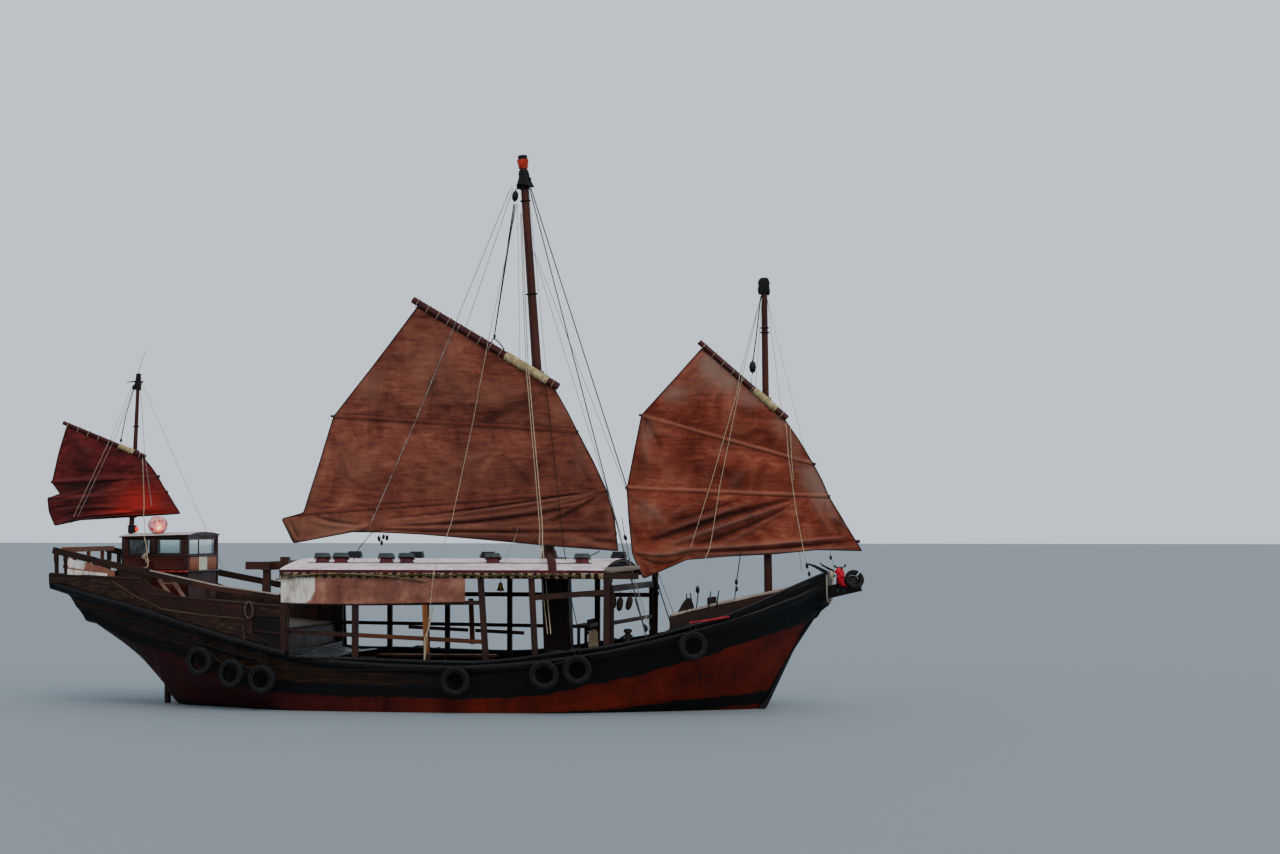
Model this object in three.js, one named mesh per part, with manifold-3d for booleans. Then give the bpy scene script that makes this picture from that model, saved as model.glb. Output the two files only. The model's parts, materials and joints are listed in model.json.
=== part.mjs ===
// A three-masted wooden fishing junk, as named parts at real size.
// Millimetres. +X points to the bow, +Y to port, +Z up. The origin is on the centreline at the waterline.
import * as THREE from "three";
import { mergeVertices } from "three/addons/utils/BufferGeometryUtils.js";
import Module from "manifold-3d";

const wasm = await Module();
wasm.setup();
const V = (x, y, z) => new THREE.Vector3(x, y, z);

// Driving dimensions
const GAP = 0.4; // left between pieces that touch
const PLANK = 90; // bulwark planking
const DECK_THICK = 50;
const DRAUGHT = 1450; // to the bottom of the keel
const KEEL_WIDTH = 260;
const TYRE_RADIUS = 310;
const TYRE_TUBE = 95;
const RUN_CLEARANCE = 12; // between a mast and the rings that turn round it

// Mast axes: foot and top [x, z], radius at foot and top
const MASTS = {
  main: { foot: [2660, 640], top: [1853, 12200], radii: [142, 84] },
  fore: { foot: [7325, 2130], top: [7237, 9400], radii: [92, 66] },
  mizzen: { foot: [-7185, 2440], top: [-6981, 7420], radii: [70, 38] },
};

// Hull sections, one row a station. x, then six points of the starboard half as [half-breadth, height],
// from the bottom on the centreline, up the bilge, to the line of the bulwark's top.
const STATIONS = [
  { x: -8400, half: [[0, 2560], [800, 2562], [1500, 2570], [1700, 2600], [1750, 2750], [1790, 3200]] },
  { x: -8000, half: [[0, 2430], [800, 2432], [1450, 2440], [1700, 2480], [1800, 2750], [1850, 3200]] },
  { x: -7600, half: [[0, 1840], [700, 1845], [1400, 1855], [1620, 1900], [1860, 2480], [1920, 3150]] },
  { x: -7430, half: [[0, 1790], [700, 1800], [1400, 1820], [1620, 1890], [1880, 2420], [1950, 3130]] },
  { x: -7000, half: [[0, 1390], [700, 1420], [1350, 1520], [1640, 1680], [1930, 2250], [2020, 3100]] },
  { x: -6500, half: [[0, 900], [500, 940], [1200, 1120], [1620, 1440], [1990, 2150], [2100, 3000]] },
  { x: -6000, half: [[0, 30], [350, 130], [950, 480], [1600, 1120], [2050, 2000], [2180, 2950]] },
  { x: -5500, half: [[0, -430], [250, -310], [950, 190], [1680, 900], [2110, 1850], [2240, 2850]] },
  { x: -4500, half: [[0, -700], [300, -600], [1100, -50], [1850, 550], [2260, 1600], [2360, 2750]] },
  { x: -3000, half: [[0, -950], [400, -880], [1450, -500], [2080, 50], [2450, 1250], [2500, 2500]] },
  { x: -1000, half: [[0, -1100], [500, -1050], [1650, -750], [2230, -100], [2570, 1150], [2600, 2200]] },
  { x: 1200, half: [[0, -1150], [500, -1100], [1650, -780], [2250, -100], [2580, 1080], [2610, 1900]] },
  { x: 3000, half: [[0, -1050], [450, -1000], [1450, -700], [2100, -50], [2530, 1250], [2570, 1900]] },
  { x: 4500, half: [[0, -850], [350, -780], [1050, -450], [1700, 150], [2370, 1500], [2430, 2100]] },
  { x: 5800, half: [[0, -600], [200, -500], [600, -200], [1150, 350], [2080, 1800], [2180, 2500]] },
  { x: 6700, half: [[0, -380], [100, -280], [330, -20], [720, 500], [1720, 2030], [1880, 2750]] },
  { x: 7300, half: [[0, 110], [60, 200], [200, 460], [470, 900], [1380, 2150], [1560, 2950]] },
  { x: 7857, half: [[0, 1279], [70, 1330], [190, 1480], [360, 1680], [1080, 2320], [1260, 3050]] },
  { x: 8360, half: [[0, 2041], [80, 2060], [240, 2130], [460, 2240], [880, 2520], [1010, 3150]] },
  { x: 8640, half: [[0, 2290], [200, 2300], [520, 2330], [760, 2390], [860, 2620], [930, 3200]] },
];

// Side profiles, [x, z] from the stern to the bow
const DECK_LINE = [
  [-8500, 2690], [-7600, 2500], [-6500, 2220], [-5000, 1930], [-3000, 1760], [-3000, 620], [0, 560],
  [3000, 620], [5350, 900], [5350, 1620], [6500, 1850], [7500, 2150], [8700, 2560],
];
const PLANK_TOP = [
  [-8500, 2920], [-6700, 2835], [-6050, 2815], [-6000, 2480], [-3850, 2310], [-2800, 2240],
  [-2740, 1150], [-1300, 1140], [240, 1090], [1430, 1070], [2550, 1200], [3150, 1300], [4090, 1410],
  [4920, 1570], [5610, 1780], [6650, 2070], [7360, 2390], [8120, 2750], [8700, 2990],
];
const WALE_LINE = [
  [-8300, 2640], [-7000, 2330], [-6360, 2180], [-5000, 1770], [-3750, 1440], [-2100, 1060],
  [-500, 960], [1200, 930], [2550, 1030], [4090, 1240], [5610, 1600], [6650, 1880], [7360, 2130],
  [8120, 2440], [8560, 2620],
];

// Solids

/** A closed geometry as a solid. */
function solid(geometry) {
  const loose = geometry.index ? geometry.toNonIndexed() : geometry;
  const bare = new THREE.BufferGeometry().setAttribute("position", loose.getAttribute("position"));
  const merged = mergeVertices(bare, 1e-3);
  const vertProperties = merged.attributes.position.array;
  const make = (index) =>
    new wasm.Manifold(new wasm.Mesh({ numProp: 3, vertProperties, triVerts: new Uint32Array(index) }));
  const index = Array.from(merged.index.array);
  const made = make(index);
  if (made.volume() >= 0) return made;
  for (let i = 0; i < index.length; i += 3) [index[i + 1], index[i + 2]] = [index[i + 2], index[i + 1]];
  return make(index);
}

const join = (...parts) => parts.flat().reduce((a, b) => a.add(b));

/** The largest of the separate bodies in a solid. */
const largest = (made) => made.decompose().sort((a, b) => b.volume() - a.volume())[0];

/** A closed body through loops of points, all with the same count. The end loops are filled, or closed as a
 * strip between the loop's two halves. */
function loft(loops, strip = false) {
  const count = loops[0].length;
  const points = loops.flat();
  const index = [];
  for (let i = 0; i + 1 < loops.length; i++)
    for (let j = 0; j < count; j++) {
      const [a, b] = [i * count + j, i * count + ((j + 1) % count)];
      index.push(a, b, a + count, b, b + count, a + count);
    }
  const fill = (loop, first, turned) => {
    const normal = loop.reduce((n, p, i) => {
      const q = loop[(i + 1) % count];
      return n.add(V((p.y - q.y) * (p.z + q.z), (p.z - q.z) * (p.x + q.x), (p.x - q.x) * (p.y + q.y)));
    }, V(0, 0, 0));
    const big = ["x", "y", "z"].reduce((m, k) => (Math.abs(normal[k]) > Math.abs(normal[m]) ? k : m), "x");
    const [u, v] = { x: ["y", "z"], y: ["z", "x"], z: ["x", "y"] }[big];
    const sign = Math.sign(normal[big]);
    const flat = loop.map((p) => new THREE.Vector2(p[u], p[v]));
    const order = sign > 0 ? loop.map((_, i) => i) : loop.map((_, i) => count - 1 - i);
    for (const [a, b, c] of THREE.ShapeUtils.triangulateShape(order.map((i) => flat[i]), [])) {
      const tri = [order[a], order[b], order[c]].map((i) => i + first);
      if ((sign > 0) === turned) tri.reverse();
      index.push(...tri);
    }
  };
  const close = (first, turned) => {
    for (let i = 0; i + 1 < count / 2; i++)
      for (const tri of [[i, i + 1, count - 2 - i], [i, count - 2 - i, count - 1 - i]])
        index.push(...(turned ? tri.reverse() : tri).map((k) => k + first));
  };
  const last = (loops.length - 1) * count;
  if (strip) {
    close(0, true);
    close(last, false);
  } else {
    fill(loops[0], 0, true);
    fill(loops.at(-1), last, false);
  }
  const geometry = new THREE.BufferGeometry().setFromPoints(points);
  geometry.setIndex(index);
  return solid(geometry);
}

function box(x0, x1, y0, y1, z0, z1) {
  const block = new THREE.BoxGeometry(x1 - x0, y1 - y0, z1 - z0);
  return solid(block.translate((x0 + x1) / 2, (y0 + y1) / 2, (z0 + z1) / 2));
}

/** A square-edged timber from a to b, `wide` across and `deep` in height. */
function beam(a, b, wide, deep) {
  const along = b.clone().sub(a);
  const x = along.clone().normalize();
  const side = Math.abs(x.z) > 0.99 ? V(0, 1, 0) : V(0, 0, 1).cross(x).normalize();
  const up = x.clone().cross(side);
  const place = new THREE.Matrix4().makeBasis(x, side, up).setPosition(a.clone().add(b).multiplyScalar(0.5));
  return solid(new THREE.BoxGeometry(along.length(), wide, deep).applyMatrix4(place));
}

/** A round spar from a to b. */
function spar(a, b, radiusA, radiusB = radiusA, sides = 8) {
  const along = b.clone().sub(a);
  const turn = new THREE.Quaternion().setFromUnitVectors(V(0, 1, 0), along.clone().normalize());
  const geometry = new THREE.CylinderGeometry(radiusB, radiusA, along.length(), sides).applyQuaternion(turn);
  const mid = a.clone().add(b).multiplyScalar(0.5);
  return solid(geometry.translate(mid.x, mid.y, mid.z));
}

/** A flat shape drawn in side view, [x, z] points, from y0 to y1. */
function sideShape(points, y0, y1) {
  const shape = new THREE.Shape(points.map(([x, z]) => new THREE.Vector2(x, z)));
  const geometry = new THREE.ExtrudeGeometry(shape, { depth: y1 - y0, bevelEnabled: false });
  return solid(geometry.rotateX(Math.PI / 2).translate(0, y1, 0));
}

/** A ring with its axis along `axis`, turned from a [radius, height] outline that closes on itself. */
function ring(centre, axis, outline, segments) {
  const points = [...outline, outline[0]].map(([r, h]) => new THREE.Vector2(r, h));
  const turn = new THREE.Quaternion().setFromUnitVectors(V(0, 1, 0), axis.clone().normalize());
  const geometry = new THREE.LatheGeometry(points, segments).applyQuaternion(turn);
  return solid(geometry.translate(centre.x, centre.y, centre.z));
}

const heightOn = (line, x) => {
  const i = Math.max(1, line.findIndex((p, k) => k > 0 && p[0] >= x));
  const [a, b] = [line[i - 1], line[i]];
  return a[1] + ((b[1] - a[1]) * (x - a[0])) / (b[0] - a[0] || 1);
};

/** The hull's half-breadth at x and z, by the same straight lines as the hull's faces. */
function halfBreadth(x, z) {
  const i = Math.min(STATIONS.length - 1, Math.max(1, STATIONS.findIndex((s) => s.x >= x)));
  const [a, b] = [STATIONS[i - 1], STATIONS[i]];
  const t = (x - a.x) / (b.x - a.x);
  const half = a.half.map(([y, h], k) => [y + (b.half[k][0] - y) * t, h + (b.half[k][1] - h) * t]);
  const k = Math.max(1, half.findIndex(([, h]) => h >= z));
  const [p, q] = [half[k - 1], half[k]];
  return p[0] + ((q[0] - p[0]) * (z - p[1])) / (q[1] - p[1]);
}

// Parts list

const junk = new THREE.Group();
const FINISH = {
  blackPaint: [0x14141a, 0.45],
  darkWood: [0x34200f, 0.6],
  brownWood: [0x6a3a1c, 0.55],
  deckWood: [0x7c6650, 0.8],
  redWood: [0x5a2014, 0.5],
  canvas: [0x8a4630, 0.95],
  cover: [0xd9cdcf, 0.9],
  rubber: [0x17171a, 0.9],
  bronze: [0x9a7238, 0.35],
  steel: [0x8d9094, 0.4],
  paper: [0xd86f78, 0.8],
  cloth: [0x7d4a42, 0.9],
};
const finishes = {};
for (const [name, [color, roughness]] of Object.entries(FINISH)) {
  const metalness = name === "bronze" || name === "steel" ? 0.9 : 0;
  finishes[name] = new THREE.MeshStandardMaterial({ name, color, roughness, metalness });
}

function part(name, made, finish) {
  const { vertProperties, triVerts, numProp } = made.getMesh();
  const count = vertProperties.length / numProp;
  const positions = new Float32Array(count * 3);
  for (let i = 0; i < count; i++) positions.set(vertProperties.subarray(i * numProp, i * numProp + 3), i * 3);
  const geometry = new THREE.BufferGeometry();
  geometry.setAttribute("position", new THREE.BufferAttribute(positions, 3));
  geometry.setIndex(new THREE.BufferAttribute(triVerts, 1));
  geometry.computeVertexNormals();
  const mesh = new THREE.Mesh(geometry, finishes[finish]);
  mesh.name = name;
  junk.add(mesh);
}

const SIDES = [["starboard", -1], ["port", 1]];

// Hull, keel and planking

/** The hull's sections as one body, drawn in by `inset` at the sides. */
function hullForm(inset) {
  return loft(STATIONS.map(({ x, half }) => {
    const side = half.map(([y, z], k) => [Math.max(k ? 8 : 0, y - inset), z]);
    const starboard = side.map(([y, z]) => V(x, -y, z));
    const port = side.slice(1).reverse().map(([y, z]) => V(x, y, z));
    return [...starboard, ...port];
  }));
}

/** All that lies under a side profile, let down by `drop`. */
function under(line, drop = 0) {
  const [first, last] = [line[0][1], line.at(-1)[1]];
  const outline = [...line, [9500, last], [9500, -3000 + drop], [-9500, -3000 + drop], [-9500, first]];
  return sideShape(outline.map(([x, z]) => [x, z - drop]), -4000, 4000);
}

const form = hullForm(0);
const inner = hullForm(PLANK);
const hole = spar(V(-6250, 0, -400), V(-6250, 0, 3200), 95, 95, 12);
const belowDeck = under(DECK_LINE, DECK_THICK + GAP);
part("hull", form.intersect(belowDeck).subtract(hole), "blackPaint");

const decking = inner.intersect(under(DECK_LINE)).subtract(under(DECK_LINE, DECK_THICK)).subtract(hole);
const DECKS = [["poop_deck", -8319, -3010], ["main_deck", -2990, 5340], ["fore_deck", 5360, 8560]];
for (const [name, aft, fore] of DECKS)
  part(name, decking.intersect(box(aft, fore, -3000, 3000, -500, 4000)), "deckWood");

// The planking between the deck's edge and the top line, one run a side, a board across stern and bow.
const endBoards = form.intersect(under(PLANK_TOP)).subtract(under(DECK_LINE, DECK_THICK));
const planking = endBoards.subtract(hullForm(PLANK + GAP - 1));
for (const [side, s] of SIDES) {
  const [y0, y1] = s < 0 ? [-3000, -20] : [20, 3000];
  part("bulwark_" + side, planking.intersect(box(-8319, 8560, y0, y1, 0, 4000)), "darkWood");
}
part("stern_board", endBoards.intersect(box(-9000, -8320, -3000, 3000, 0, 4000)), "blackPaint");
part("bow_board", endBoards.intersect(box(8561, 9000, -3000, 3000, 0, 4000)), "blackPaint");

// Keel and deadwood follow the hull's bottom, with the screw's space left open aft.
const bottomLine = STATIONS.map(({ x, half }) => [x, half[0][1]]);
const KEEL_AFT = -5350;
const keelLine = bottomLine.filter(([x]) => x > KEEL_AFT && x < 7300).map(([x, z]) => [x, z + 60]);
const keelShape = [
  [KEEL_AFT, heightOn(bottomLine, KEEL_AFT) + 60], ...keelLine, [6900, -420], [6300, -820],
  [4800, -DRAUGHT + 150], [3000, -DRAUGHT], [-4700, -DRAUGHT], [KEEL_AFT, -DRAUGHT],
];
const shaftBore = spar(V(-5800, 0, -900), V(-4700, 0, -800), 48, 48, 10);
const keel = sideShape(keelShape, -KEEL_WIDTH / 2, KEEL_WIDTH / 2).subtract(form).translate([0, 0, -GAP]);
part("keel", keel.subtract(shaftBore), "blackPaint");

// Stem post: a heavy board standing proud of the bow's edge
const STEM_PROUD = 12;
const STEM_EDGE = [[6900, -430], [7120, -170], [7300, 105], [7857, 1279], [8360, 2041], [8660, 2300]];
const stemFace = STEM_EDGE.map(([x, z]) => [x + STEM_PROUD, z - STEM_PROUD / 2]);
const stemBack = STEM_EDGE.slice().reverse().map(([x, z]) => [x - 90, z + 60]);
const stem = sideShape([...stemFace, ...stemBack], -85, 85).subtract(form).subtract(sideShape(keelShape, -200, 200));
part("stem_post", largest(stem.translate([GAP, 0, -GAP])), "blackPaint");

// Wales: heavy half-timbers along the side
function wale(line, deep, proud, s) {
  const [aft, fore] = [line[0][0], line.at(-1)[0]];
  const xs = [aft, ...STATIONS.map((st) => st.x).filter((x) => x > aft && x < fore), fore];
  const made = loft(xs.map((x) => {
    const z = heightOn(line, x);
    const [foot, top] = [z - deep / 2, z + deep / 2];
    const [low, high] = [halfBreadth(x, foot), halfBreadth(x, top)];
    const outline = [
      [low - 60, foot], [low + proud * 0.7, foot], [(low + high) / 2 + proud, z],
      [high + proud * 0.7, top], [high - 60, top],
    ];
    return outline.map(([y, height]) => V(x, s * y, height));
  }));
  return largest(made.subtract(form)).translate([0, s * GAP, 0]);
}
for (const [side, s] of SIDES) {
  part("wale_" + side, wale(WALE_LINE, 190, 85, s), "blackPaint");
}

// Steps in the deck are closed by a panel athwart
part("poop_bulkhead", box(-2995, -2945, -2300, 2300, 625, 1700).intersect(hullForm(PLANK + 2)), "brownWood");
part("fore_bulkhead", box(5295, 5345, -2200, 2200, 905, 1580).intersect(hullForm(PLANK + 2)), "brownWood");

// Masts

const mastAxis = {};
for (const [name, { foot, top, radii }] of Object.entries(MASTS)) {
  const [a, b] = [V(foot[0], 0, foot[1]), V(top[0], 0, top[1])];
  mastAxis[name] = { a, b, dir: b.clone().sub(a).normalize(), radii };
  part(name + "_mast", spar(a, b, radii[0], radii[1], 12), "redWood");
}
const upMast = ({ a, b }, z) => (z - a.z) / (b.z - a.z);
const onMast = (name, z) => mastAxis[name].a.clone().lerp(mastAxis[name].b, upMast(mastAxis[name], z));
const mastRadius = (name, z) => THREE.MathUtils.lerp(...mastAxis[name].radii, upMast(mastAxis[name], z));

// The main mast's case: two cheeks and a front board
const caseFoot = heightOn(DECK_LINE, 3005) + 2;
part("main_mast_case", join(
  beam(V(2700, -215, caseFoot), V(2620, -215, 2830), 90, 560),
  beam(V(2700, 215, caseFoot), V(2620, 215, 2830), 90, 560),
  beam(V(2960, 0, caseFoot), V(2880, 0, 2830), 440, 90),
).intersect(box(2000, 3500, -400, 400, caseFoot, 2830)), "redWood");

// Sails: cloth, yard, battens and boom, with rings that turn round the mast

/** Cloth between a leech and a luff, from rows of SAILS, top row first. */
function cloth(rows, y, thick) {
  const columns = 5;
  const grid = rows.map(([ax, az, fx, fz, belly, rises = []]) =>
    Array.from({ length: columns + 1 }, (_, c) => {
      const t = c / columns;
      const out = y - belly * Math.sin(Math.PI * t);
      return V(ax + (fx - ax) * t, out, az + (fz - az) * t + (rises[c - 1] ?? 0));
    }));
  const loops = grid.map((row) => [...row, ...row.slice().reverse().map((p) => p.clone().setY(p.y + thick))]);
  return loft(loops, true);
}

/** A ring round the mast at height z, with an arm out to y on the sail's side. */
function parrel(mast, z, y) {
  const centre = onMast(mast, z);
  const inner = mastRadius(mast, z - 50) + RUN_CLEARANCE;
  const outline = [[inner, -35], [inner + 35, -35], [inner + 35, 35], [inner, 35]];
  const collar = ring(centre, mastAxis[mast].dir, outline, 14);
  const arm = box(centre.x - 35, centre.x + 35, y, -(inner + 8), centre.z - 30, centre.z + 30);
  return collar.add(arm);
}

// y: the cloth's plane. rows: aft x, aft z, fore x, fore z, belly, rise of the four inner points over a
// straight edge. yard and boom: aft end, fore end, radius. battens: aft end, fore end.
const SAILS = {
  main: {
    y: -300,
    rows: [
      [-453, 8819, 2640, 6970, 10],
      [-1406, 7600, 2930, 6480, 150],
      [-2361, 6400, 3154, 6036, 30],
      [-2680, 5380, 3500, 5390, 150],
      [-3040, 4260, 3800, 4740, 30],
      [-3540, 4130, 3880, 4460, 50],
      [-3400, 3860, 3970, 4150, 60],
      [-3270, 3590, 4050, 3430, 10, [300, 265, 175, 75]],
    ],
    yard: [[-560, 8990], [2720, 7030], 88],
    battens: [[[-2440, 6420], [3160, 6050]], [[-3100, 4250], [3830, 4750]]],
    boom: [[-3100, 3880], [4010, 3800], 45],
  },
  fore: {
    y: -260,
    rows: [
      [5901, 7842, 7738, 6232, 10],
      [5239, 7130, 8042, 5800, 110],
      [4567, 6402, 8356, 5270, 30],
      [4410, 5640, 8520, 4960, 110],
      [4239, 4790, 8668, 4610, 30],
      [4285, 4110, 8927, 4180, 80],
      [4363, 3370, 9160, 3790, 40],
      [4608, 2826, 9372, 3440, 10, [292, 249, 172, 144]],
    ],
    yard: [[5840, 7992], [7760, 6308], 68],
    battens: [[[4500, 6410], [8380, 5310]], [[4190, 4810], [8690, 4620]]],
    boom: [[4390, 3440], [9330, 3640], 38],
  },
  mizzen: {
    y: -200,
    rows: [
      [-8597, 6214, -6760, 5472, 10],
      [-8800, 5560, -6580, 5270, 70],
      [-8934, 4951, -6440, 5080, 20],
      [-8743, 4700, -6330, 4880, 30],
      [-9035, 4587, -6230, 4730, 20],
      [-9000, 4300, -6060, 4470, 50],
      [-8860, 3978, -5920, 4250, 10, [67, 82, 66, 35]],
    ],
    yard: [[-8680, 6306], [-6740, 5526], 52],
    battens: [[[-8980, 4960], [-6420, 5090]], [[-9040, 4600], [-6230, 4740]]],
    boom: [[-8800, 4085], [-5990, 4260], 28],
  },
};
const CLOTH_THICK = 26;
for (const [name, { y, rows, yard, battens, boom }] of Object.entries(SAILS)) {
  const at = ([x, z], out) => V(x, y + out, z);
  const lineZ = ([[x0, z0], [x1, z1]], x) => z0 + ((z1 - z0) * (x - x0)) / (x1 - x0);
  const pole = (ends, radiusA, radiusB, out) => spar(at(ends[0], out), at(ends[1], out), radiusA, radiusB, 8);
  const ringFor = (ends) => {
    const x = onMast(name, lineZ(ends, onMast(name, ends[0][1]).x)).x;
    return parrel(name, onMast(name, lineZ(ends, x)).z, y + 40);
  };
  part(name + "_sail", cloth(rows, y, CLOTH_THICK), "canvas");
  // The yard lies over the cloth's head, in its plane
  part(name + "_yard", join(pole(yard, yard[2] * 0.9, yard[2], CLOTH_THICK / 2), ringFor(yard)), "darkWood");
  battens.forEach((ends, i) => part(name + "_batten_" + (i + 1), pole(ends, 26, 30, 60), "brownWood"));
  part(name + "_boom", join(pole(boom, boom[2] * 0.8, boom[2], 40 + boom[2]), ringFor(boom)), "darkWood");
}

// Standing lines that lead forward from the main mast's head
for (const [side, s] of SIDES) {
  const foot = V(4975, s * (halfBreadth(4975, 1480) - PLANK - 25), 1480);
  part("main_stay_" + side, spar(V(2025, s * 95, 11480), foot, 13, 13, 6), "steel");
}

// Deckhouse: posts and rails a side, roof with lamps, benches

// posts: x at the top, x at the foot, width. rails: aft end, fore end as [x, z], thickness, depth.
const FRAMES = {
  starboard: {
    posts: [
      [-2870, -2860, 130], [-1330, -1330, 130], [200, 260, 120],
      [1400, 1560, 120], [2500, 2620, 120], [4133, 4112, 130],
    ],
    rails: [
      [[-2900, 1715], [1560, 1510], 60, 90],
      [[-2100, 2310], [1460, 2345], 60, 90],
      [[2479, 2449], [4170, 2582], 70, 120],
    ],
    eaveEnd: 4800,
  },
  port: {
    posts: [
      [-2870, -2860, 130], [-1690, -1690, 110], [-330, -330, 110],
      [1130, 1130, 110], [3170, 3170, 120], [4500, 4500, 130],
    ],
    rails: [
      [[-2900, 1740], [3170, 1670], 60, 80],
      [[-2900, 2400], [4500, 2400], 60, 100],
    ],
    eaveEnd: 4570,
  },
};
const ROOF_SIDE = 2980;
const FRAME_Y = 2290;
const clearOfPlanking = (made) => largest(made.subtract(form.subtract(hullForm(PLANK + 6))));
for (const [side, s] of SIDES) {
  const y = s * FRAME_Y;
  const { posts, rails, eaveEnd } = FRAMES[side];
  const uprights = posts.map(([top, foot, wide]) =>
    beam(V(foot, y, heightOn(DECK_LINE, foot) + 12), V(top, y, ROOF_SIDE - 30), 100, wide));
  const eave = beam(V(-2960, y, ROOF_SIDE - 61), V(eaveEnd, y, ROOF_SIDE - 61), 110, 130);
  const runs = rails.map(([[x0, z0], [x1, z1], wide, deep]) => beam(V(x0, y, z0), V(x1, y, z1), wide, deep));
  part("deckhouse_frame_" + side, clearOfPlanking(join(uprights, eave, runs)), "brownWood");
}

// The frame athwart at the deckhouse's fore end: two beams on a short post each side
const foreFrameX = (y) => 4320 + (y / FRAME_Y) * 120;
const reach = FRAME_Y - 55;
const across = (z, deep) =>
  beam(V(foreFrameX(-reach), -reach, z), V(foreFrameX(reach), reach, z), deep * 0.8, deep);
const shortPosts = [-2140, 2140].map((y) =>
  beam(V(foreFrameX(y), y, heightOn(DECK_LINE, 4320) + 20), V(foreFrameX(y), y, 2700), 90, 90));
const inboard = hullForm(PLANK + 8).add(box(4000, 4800, -reach, reach, 1700, 2800));
const foreFrame = join(across(2650, 130), across(1920, 80), shortPosts);
part("fore_frame", largest(foreFrame.intersect(inboard)), "brownWood");

// A plain cloth hung along the eave
const BANNER_THICK = 12;
part("side_banner", box(-2950, 1090, -2366 - BANNER_THICK, -2366, 2330, 2960), "cloth");

// The roof: boards under a pale cover, crowned in the middle, with lamps in two rows
const ROOF = { aft: -2970, fore: 4060, halfWide: 2360, side: 2985, crown: 3190, thick: 60 };
const crownZ = (y) => ROOF.crown - (ROOF.crown - ROOF.side) * (y / ROOF.halfWide) ** 2;
const roofLoop = (x) => {
  const ys = [-1, -0.66, -0.33, 0, 0.33, 0.66, 1].map((t) => t * ROOF.halfWide);
  const top = ys.map((y) => V(x, y, crownZ(y) + ROOF.thick));
  return [...top, ...ys.slice().reverse().map((y) => V(x, y, crownZ(y)))];
};
// x of each lamp and its side
const LAMPS = [
  [-2290, -1], [-1880, -1], [-861, -1], [-414, -1], [1495, -1], [3452, -1],
  [-2314, 1], [-869, 1], [796, 1], [3800, 1],
];
const LAMP_Y = 1300;
const lamps = LAMPS.map(([x, s]) => {
  const [y, z] = [s * LAMP_Y, crownZ(LAMP_Y) + ROOF.thick];
  const head = beam(V(x - 190, y, z + 42), V(x + 190, y, z + 52), 150, 70);
  return join(box(x - 110, x + 110, y - 70, y + 70, z - 60, z + 20), head);
});
const ROOF_MAST_HOLE = 150; // radius
const roofBoards = loft([roofLoop(ROOF.aft), roofLoop(ROOF.fore)]);
const roofPlank = box(4000, 4790, -2330, -1900, 2985, 3075);
const roofHole = spar(mastAxis.main.a, mastAxis.main.b, ROOF_MAST_HOLE, ROOF_MAST_HOLE, 12);
part("deckhouse_roof", join(roofBoards, lamps, roofPlank).subtract(roofHole), "cover");

/** A box between two distances out from the centreline, on side s. */
const sideBox = (s, x0, x1, near, far, z0, z1) =>
  (s > 0 ? box(x0, x1, near, far, z0, z1) : box(x0, x1, -far, -near, z0, z1));
for (const [side, s] of SIDES) {
  const legs = [-2500, -1400, -300, 800].map((x) =>
    sideBox(s, x, x + 60, 1750, 1810, heightOn(DECK_LINE, x) + 8, 1010));
  part("bench_" + side, join(sideBox(s, -2550, 900, 1650, 2050, 990, 1040), legs), "brownWood");
}

// The pin rail by the mast: two posts, a shelf and five belaying pins
part("pin_rail", join(
  SIDES.map(([, s]) => sideBox(s, 3180, 3240, 430, 500, 660, 1830)),
  box(3170, 3470, -560, 560, 1760, 1830),
  [-400, -200, 0, 200, 400].map((y) => spar(V(3400, y, 1600), V(3400, y, 1930), 18, 18, 6)),
), "darkWood");

// Poop: rails, taffrail, cabin, mast crutch, ladder

// x, half-breadth, top of the sloping rail
const RAIL = [
  [-8300, 1700, 3510], [-7332, 1800, 3284], [-6231, 1960, 3060], [-4376, 2190, 2690], [-3000, 2320, 2515],
];
for (const [side, s] of SIDES) {
  const runs = RAIL.slice(1).map(([x, y, z], i) =>
    beam(V(RAIL[i][0] - 20, s * RAIL[i][1], RAIL[i][2] - 70), V(x + 20, s * y, z - 70), 80, 140));
  const posts = [-8250, -8020, -7100, -4650].map((x) => {
    const y = s * THREE.MathUtils.lerp(1700, 2190, (x + 8300) / 3924);
    return beam(V(x, y, heightOn(DECK_LINE, x) + 20), V(x, y, 3480 - (x + 8250) * 0.209), 80, 90);
  });
  const panel = beam(V(-6740, s * 1890, 2950), V(-6000, s * 1985, 2900), 40, 300);
  part("poop_rail_" + side, clearOfPlanking(join(runs, posts, panel)), "darkWood");
}
const TAFFRAIL_X = -8130;
part("taffrail", join(
  beam(V(TAFFRAIL_X, -1600, 3450), V(TAFFRAIL_X, 1600, 3450), 80, 110),
  beam(V(TAFFRAIL_X, -1560, 3080), V(TAFFRAIL_X, 1560, 3080), 40, 70),
  [-900, 0, 900].map((y) => beam(V(TAFFRAIL_X, y, 2640), V(TAFFRAIL_X, y, 3420), 70, 70)),
), "redWood");

// A plain cloth laced under the sloping rail
const STERN_CLOTH = [[-7937, 2905], [-6800, 2865], [-6800, 3010], [-7937, 3270]];
const sternClothSide = (x) => -1845 - (x + 7937) * 0.139;
const sternCloth = (out) => STERN_CLOTH.map(([x, z]) => V(x, sternClothSide(x) - out, z));
part("stern_banner", loft([sternCloth(0), sternCloth(BANNER_THICK)]), "cloth");

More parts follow.
